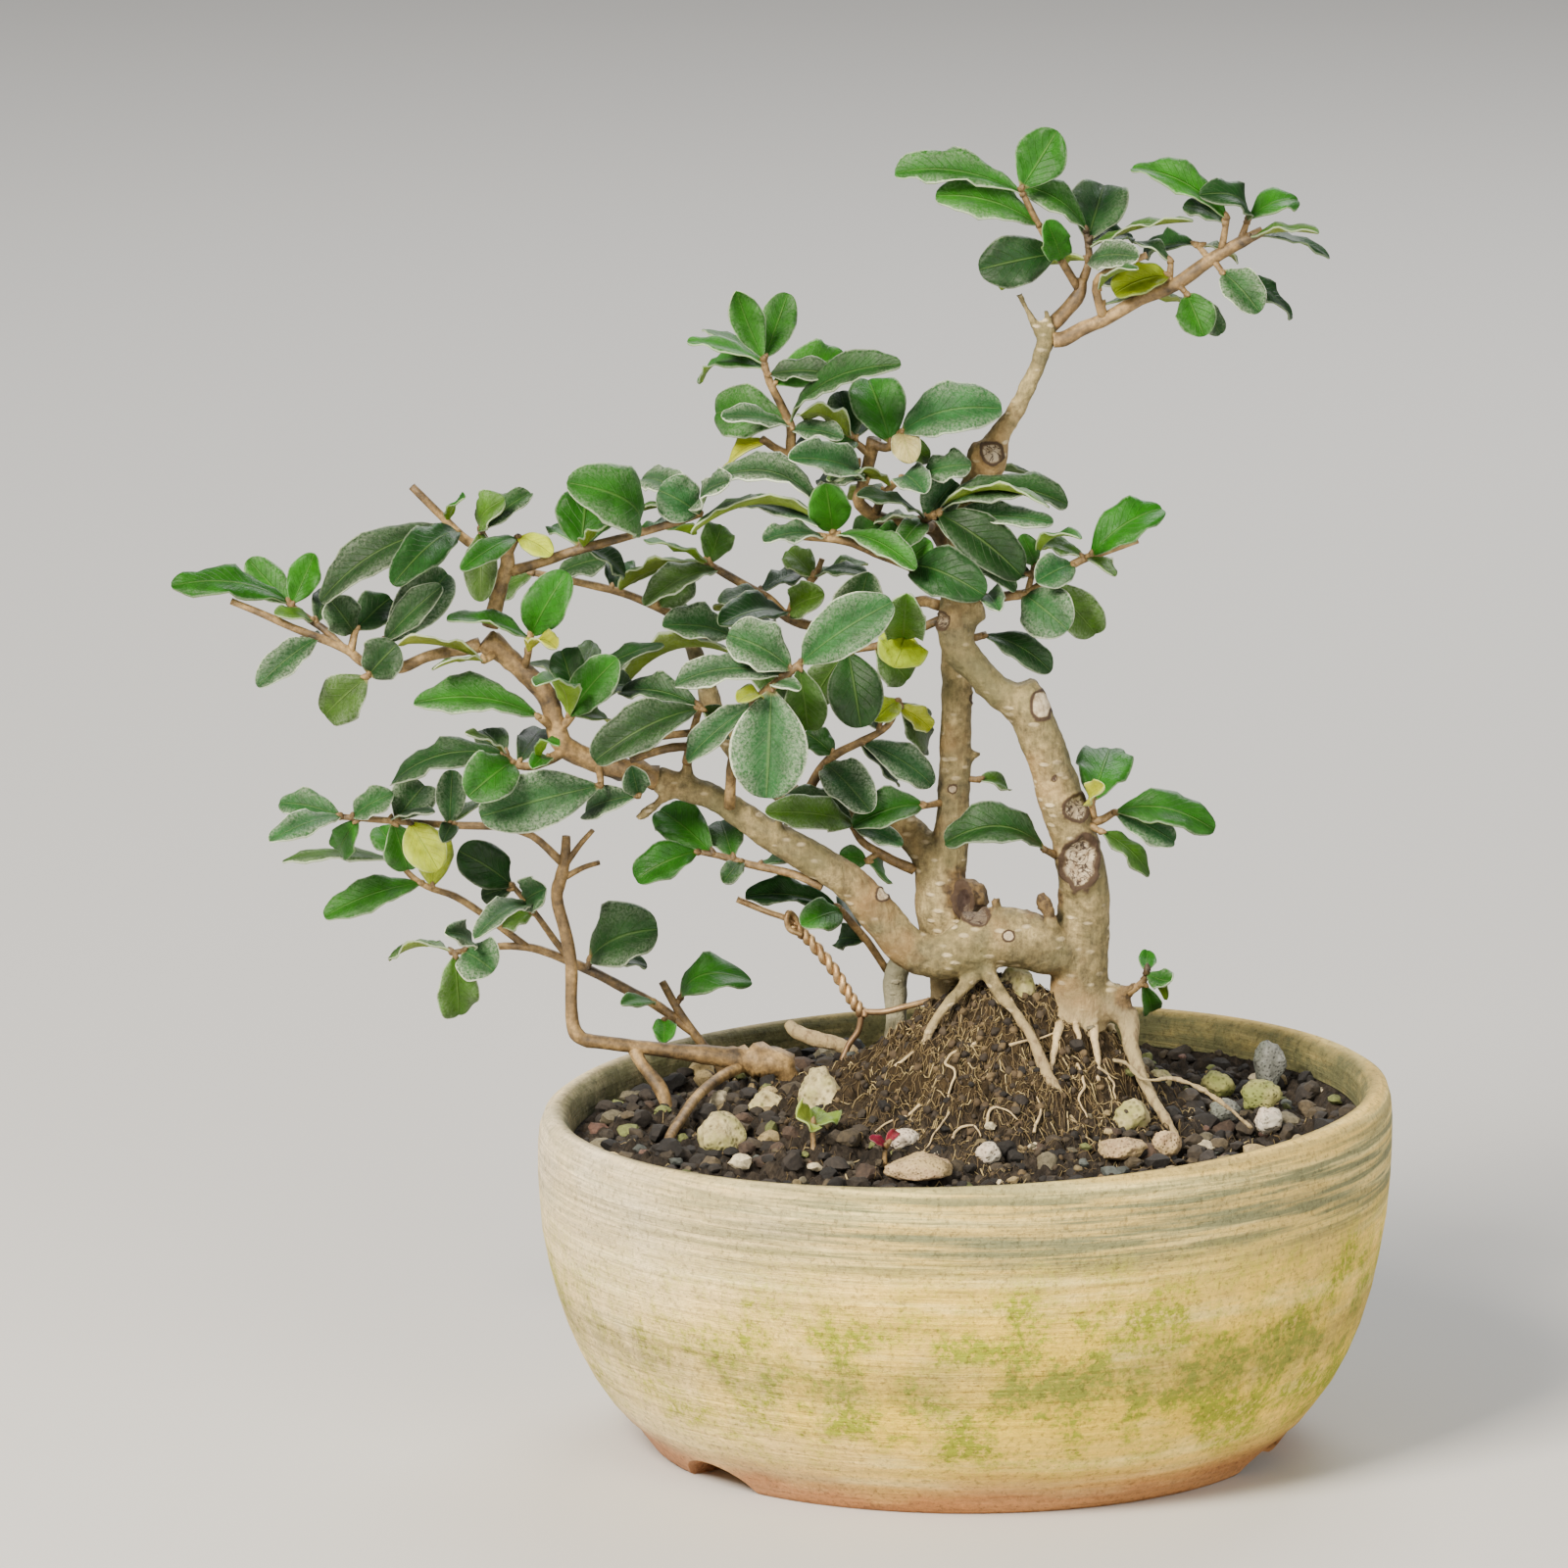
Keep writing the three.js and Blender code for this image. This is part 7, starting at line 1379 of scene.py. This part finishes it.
# The tie wire. Two strands of soft copper wire, twisted together with pliers when the tree was
# tied in, with one free end bent over above and two legs that hold the root ball down.
WIRE_TWIST = ((-30, 17, 92), (-27, 17, 89), (-23, 16, 84), (-20, 15.5, 79), (-17.5, 15, 75.5))
WIRE_ENDS = (
    ((-40, 18, 96.6), (-35, 17.6, 94.5), (-30.6, 17.6, 92.8), (-28.5, 17.6, 90.5)),
    ((-28.5, 16.4, 90.3), (-30.8, 16.2, 91.4), (-31, 16.6, 94), (-30, 17.4, 93.6), (-28.6, 17.2, 91)),
    (
        (-18, 15.2, 76.3), (-18.6, 15, 73), (-20.5, 14.6, 70), (-22, 13, 64), (-16, 8, 45), (-6, 2, 20),
        (-5.2, 0, 13.4),
    ),
    ((-18.2, 15, 76.4), (-14, 14.5, 76.4), (-10, 13.5, 77.4), (-5.5, 11, 78.6)),
)
STRAND_RADIUS, TWIST_TURNS = 0.6, 5.5
places, faces = [], []
core, _ = smooth_route([(*point, STRAND_RADIUS) for point in WIRE_TWIST], 24)
for half_turn in (0, math.pi):
    strand = []
    across = Vector((0, 1, 0))
    for i, centre in enumerate(core):
        along = (core[min(i + 1, len(core) - 1)] - core[max(i - 1, 0)]).normalized()
        across = (across - along * across.dot(along)).normalized()
        turn = half_turn + 2 * math.pi * TWIST_TURNS * i / (len(core) - 1)
        offset = across * math.cos(turn) + along.cross(across) * math.sin(turn)
        strand.append(centre + offset * STRAND_RADIUS * 0.92 * MM)
    add_tube(places, faces, strand, [STRAND_RADIUS * MM] * len(strand), 10)
for route in WIRE_ENDS:
    line, widths = smooth_route([(*point, STRAND_RADIUS * 0.95) for point in route], 8)
    add_tube(places, faces, line, widths, 10)
wire = mesh_piece("twisted_tie_wire", places, faces)
bpy.ops.object.shade_smooth()
settle(wire)
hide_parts("tie_wire")

# Annealed copper, years in the weather: a dull tan metal, darker brown where it touches soil.
copper, graph, shader = new_material("weathered_copper_wire")
place = add_node(graph, "TexCoord").outputs["Object"]
split = add_node(graph, "SeparateXYZ", {"Vector": place})
patina = add_node(
    graph, "TexNoise", {"Vector": place, "Scale": per_mm(1.8), "Detail": 6, "Roughness": 0.7},
)
toned = add_node(graph, "ValToRGB", {"Fac": patina}, stops=((0.35, "#8A6A48"), (0.65, "#D8B886")))
near_soil = add_node(
    graph, "MapRange", {"Value": split.outputs["Z"], "From Min": 0.077, "From Max": 0.072, "To Max": 0.8},
)
browned = add_node(graph, "MixRGB", {"Fac": near_soil, "Color1": toned, "Color2": linear("#5E4630")})
bump = add_node(graph, "Bump", {"Height": patina, "Strength": 0.4, "Distance": 0.1 * MM})
plug(shader, {"Base Color": browned, "Metallic": 0.55, "Roughness": 0.5, "Normal": bump})
wire.data.materials.append(copper)

# Two seedlings that came up in the soil: a clover with round leaves, and a tiny red one.
weeds = (
    (
        "weed_clover",
        [[4, [-26.6, -26, 49, 0.6], [-26.6, -25, 53, 0.5], [-26.8, -24.6, 57, 0.4]]],
        [[-26.8, 57, -29.6, 58.4, -4, 6, 45, 0.04, 7], [-26.8, 57, -24.2, 58.8, -4, 6, 45, 0.04, 7]],
    ),
    (
        "weed_red",
        [[4, [-14.2, -36, 46.5, 0.5], [-14.3, -36, 51, 0.45], [-14.2, -36, 53.8, 0.35]]],
        [[-14.2, 53.4, -17, 55, -2, 1.8, 50, 0.1, 6], [-14.3, 53.6, -12, 55.6, -2, 1.8, 50, 0.1, 6]],
    ),
)
for name, limbs, rows in weeds:
    seedling = leafy_piece(name, limbs, rows, 8)
    settle(seedling)
    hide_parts(name)

# The fine roots. Washing bared the mound's mat of thread-like roots: brown fibres all over it,
# a few long pale ones that wander down its front, and crumbs of peat caught between them.
LONG_ROOTS = (
    ((1.9, 71), (-1.8, 69.3), (-3.5, 67.2), (-2, 65.3), (-2.9, 61.9), (-3.2, 58.5), (-5.7, 55.1),
     (-7.4, 52)),
    ((7.6, 70.4), (10, 71.1), (12.7, 71.5), (16.5, 72.9)),
    ((-12.5, 66.5), (-9.8, 68.4), (-7.5, 70.8), (-5.5, 73.6)),
    ((3.5, 56.5), (4.4, 58.9), (6.6, 59.2), (8.8, 57.6)), ((-2.5, 54), (-1, 56.4), (1.2, 56.2),
     (2.4, 54.4)),
    ((19.5, 67), (20.6, 63.8), (19.8, 60.6), (21, 57.5)), ((11.5, 55.5), (13, 58.4), (12.4, 61.5)),
    ((-8, 60), (-10.4, 57.8), (-13.5, 57.4), (-16, 55)), ((23, 66.5), (25.4, 64), (26, 60.8)),
)
LONG_ROOT_THICK = 0.32
STOUT_ROOTS = [
    (1.15, ((17, 76.6), (16.3, 73.4), (15.4, 69.6), (14.7, 65.8))),
    (0.9, ((19.6, 76), (19.3, 73), (19.9, 69.8))),
    (1.05, ((22.2, 76.4), (22.4, 72.6), (23, 68), (23.2, 64.5))),
    (0.8, ((25.6, 74.6), (26.6, 70.6), (27, 66.4))),
]
THREAD_COUNT, CRUMB_COUNT = 2600, 700
THREAD_RADII, CRUMB_HALF_WIDTHS = (0.07, 0.09, 0.12, 0.16), (0.3, 0.4, 0.55, 0.75)
THREAD_TINTS = [
    linear(colour)
    for colour in ("#6E5D3A", "#51432A", "#83714A", "#A99768", "#3A2F20", "#5F4F31", "#473A25", "#645335")
]
CRUMB_TINTS = [linear(c) for c in ("#221B13", "#2C241A", "#3C3224", "#4A3C28", "#5E4E34")]
fibre = random.Random(31)


def ground(x, y):
    """The height in millimetres of the finished soil at a place measured from the pot's axis."""
    return soil_height(x, y) + crumbs(x, y)


def front_of_mound(x, height):
    """How far back the soil is that shows at a place seen from the front."""
    rows = [12 - 0.5 * step for step in range(150)]
    return min(rows, key=lambda y: abs(ground(x, y) + VIEW_FALL * y - height))


def add_thread(shape, points, thick, tint):
    """Adds one root to the mat: a tapered tube through points in millimetres."""
    before = len(shape["places"])
    line = [spot(*point) for point in points]
    steps = len(line) - 1
    widths = [thick * MM * (1 - 0.65 * i / steps) for i in range(steps + 1)]
    add_tube(shape["places"], shape["faces"], line, widths, 6 if thick > 0.3 else 3)
    shape["tints"] += [tint] * (len(shape["places"]) - before)


mat = {"places": [], "faces": [], "tints": []}
for _ in range(THREAD_COUNT):
    spread = 15 if fibre.random() < 0.75 else 30
    x, y = fibre.gauss(MOUND_X, spread), fibre.gauss(MOUND_Y - 6, spread)
    if math.hypot(x, y) > 62:
        continue
    heading = math.atan2(y - MOUND_Y, x - MOUND_X) + fibre.gauss(0, 1.2)
    lift, points = fibre.uniform(0.1, 0.5), []
    for step in range(fibre.randint(5, 12)):
        arch = lift * math.sin(step * 1.7) + 0.15
        points.append((x, y, ground(x, y) + arch))
        heading += fibre.gauss(0, 0.5)
        stride = fibre.uniform(0.5, 1)
        x, y = x + stride * math.cos(heading), y + stride * math.sin(heading)
    add_thread(mat, points, fibre.choice(THREAD_RADII), fibre.choice(THREAD_TINTS))
for thick, root in [(LONG_ROOT_THICK, root) for root in LONG_ROOTS] + STOUT_ROOTS:
    route = [(x, front_of_mound(x, height)) for x, height in root]
    route = [(x, y, ground(x, y) + VIEW_FALL * y + 0.5, 0.5) for x, y in route]
    line, _ = smooth_route(route, 6)
    points = [((at.x - POT_AXIS) / MM, at.y / MM, at.z / MM) for at in line]
    wiggled = [(x + 0.35 * noise.noise(Vector((x, y, z)) / 1.7), y, z) for x, y, z in points]
    add_thread(mat, wiggled, thick, linear("#BFA97E"))
for _ in range(CRUMB_COUNT):
    x, y = fibre.gauss(MOUND_X - 2, 17), fibre.gauss(MOUND_Y - 6, 17)
    size = fibre.choice(CRUMB_HALF_WIDTHS)
    first, tint = len(mat["places"]), fibre.choice(CRUMB_TINTS)
    for at in fibre.choice(broken_grains):
        mat["places"].append(spot(x, y, ground(x, y) + 0.1) + at * (size * MM))
    mat["faces"].extend(tuple(first + i for i in face) for face in ball_faces)
    mat["tints"] += [tint] * len(ball_places)
rootlets = mesh_piece("root_mat_and_peat", mat["places"], mat["faces"])
store_tints(rootlets, "root_tint", mat["tints"])
bpy.ops.object.shade_smooth()
settle(rootlets)

# Root fibre and peat: dry and dull, each thread its own brown.
fibrous, graph, shader = new_material("root_fibre_and_peat")
place = add_node(graph, "TexCoord").outputs["Object"]
tint = add_node(graph, "Attribute", attribute_name="root_tint")
dirt = add_node(graph, "TexNoise", {"Vector": place, "Scale": per_mm(1.2), "Detail": 6, "Roughness": 0.7})
dirty = add_node(
    graph, "MapRange", {"Value": dirt, "From Min": 0.3, "From Max": 0.7, "To Min": 0.55, "To Max": 1.4},
)
dirtied = add_node(graph, "MixRGB", {"Fac": 1.0, "Color1": tint, "Color2": dirty}, blend_type="MULTIPLY")
bump = add_node(graph, "Bump", {"Height": dirt, "Strength": 0.6, "Distance": 0.2 * MM})
plug(shader, {"Base Color": dirtied, "Roughness": 0.85, "Normal": bump})
rootlets.data.materials.append(fibrous)

# The studio: a pale matt floor, three soft lights and the camera at the photograph's angle.
EYE_DISTANCE, LENS, SENSOR = 2.5, 329, 36
FLOOR_SIZE = 6
LOOK_AT = spot(-31.7, 0, 117.3)
bpy.ops.object.select_all(action="DESELECT")
bpy.ops.mesh.primitive_plane_add(size=FLOOR_SIZE)
floor = lone("floor", bpy.context.object)
matt, graph, shader = new_material("matt_paper_floor")
plug(shader, {"Base Color": linear("#C4C3C0"), "Roughness": 0.9})
floor.data.materials.append(matt)

scene = bpy.context.scene
scene.world = bpy.data.worlds.new("studio_air")
scene.world.use_nodes = True
air = scene.world.node_tree.nodes["Background"]
air.inputs["Color"].default_value = linear("#E4E6EA")
air.inputs["Strength"].default_value = 0.43
for name, spot_at, size, power, colour in (
    ("key_light", (-0.72, -1.0, 1.05), 0.55, 70, "#FFF4E4"),
    ("fill_light", (0.75, -1.2, 0.42), 0.7, 14, "#FFF9EE"),
    ("back_light", (0.3, 1.2, 1.1), 0.8, 17, "#FFFFFF"),
):
    light = bpy.data.lights.new(name, "AREA")
    light.size, light.energy, light.color = size, power, linear(colour)[:3]
    lamp = bpy.data.objects.new(name, light)
    scene.collection.objects.link(lamp)
    lamp.location = spot_at
    lamp.rotation_euler = (LOOK_AT - Vector(spot_at)).to_track_quat("-Z", "Y").to_euler()
eye = bpy.data.cameras.new("camera")
eye.lens, eye.sensor_width = LENS, SENSOR
camera = bpy.data.objects.new("camera", eye)
scene.collection.objects.link(camera)
camera.location = LOOK_AT + Vector((0, -math.cos(SIGHT_DOWN), math.sin(SIGHT_DOWN))) * EYE_DISTANCE
camera.rotation_euler = (math.pi / 2 - SIGHT_DOWN, 0, 0)
scene.camera = camera
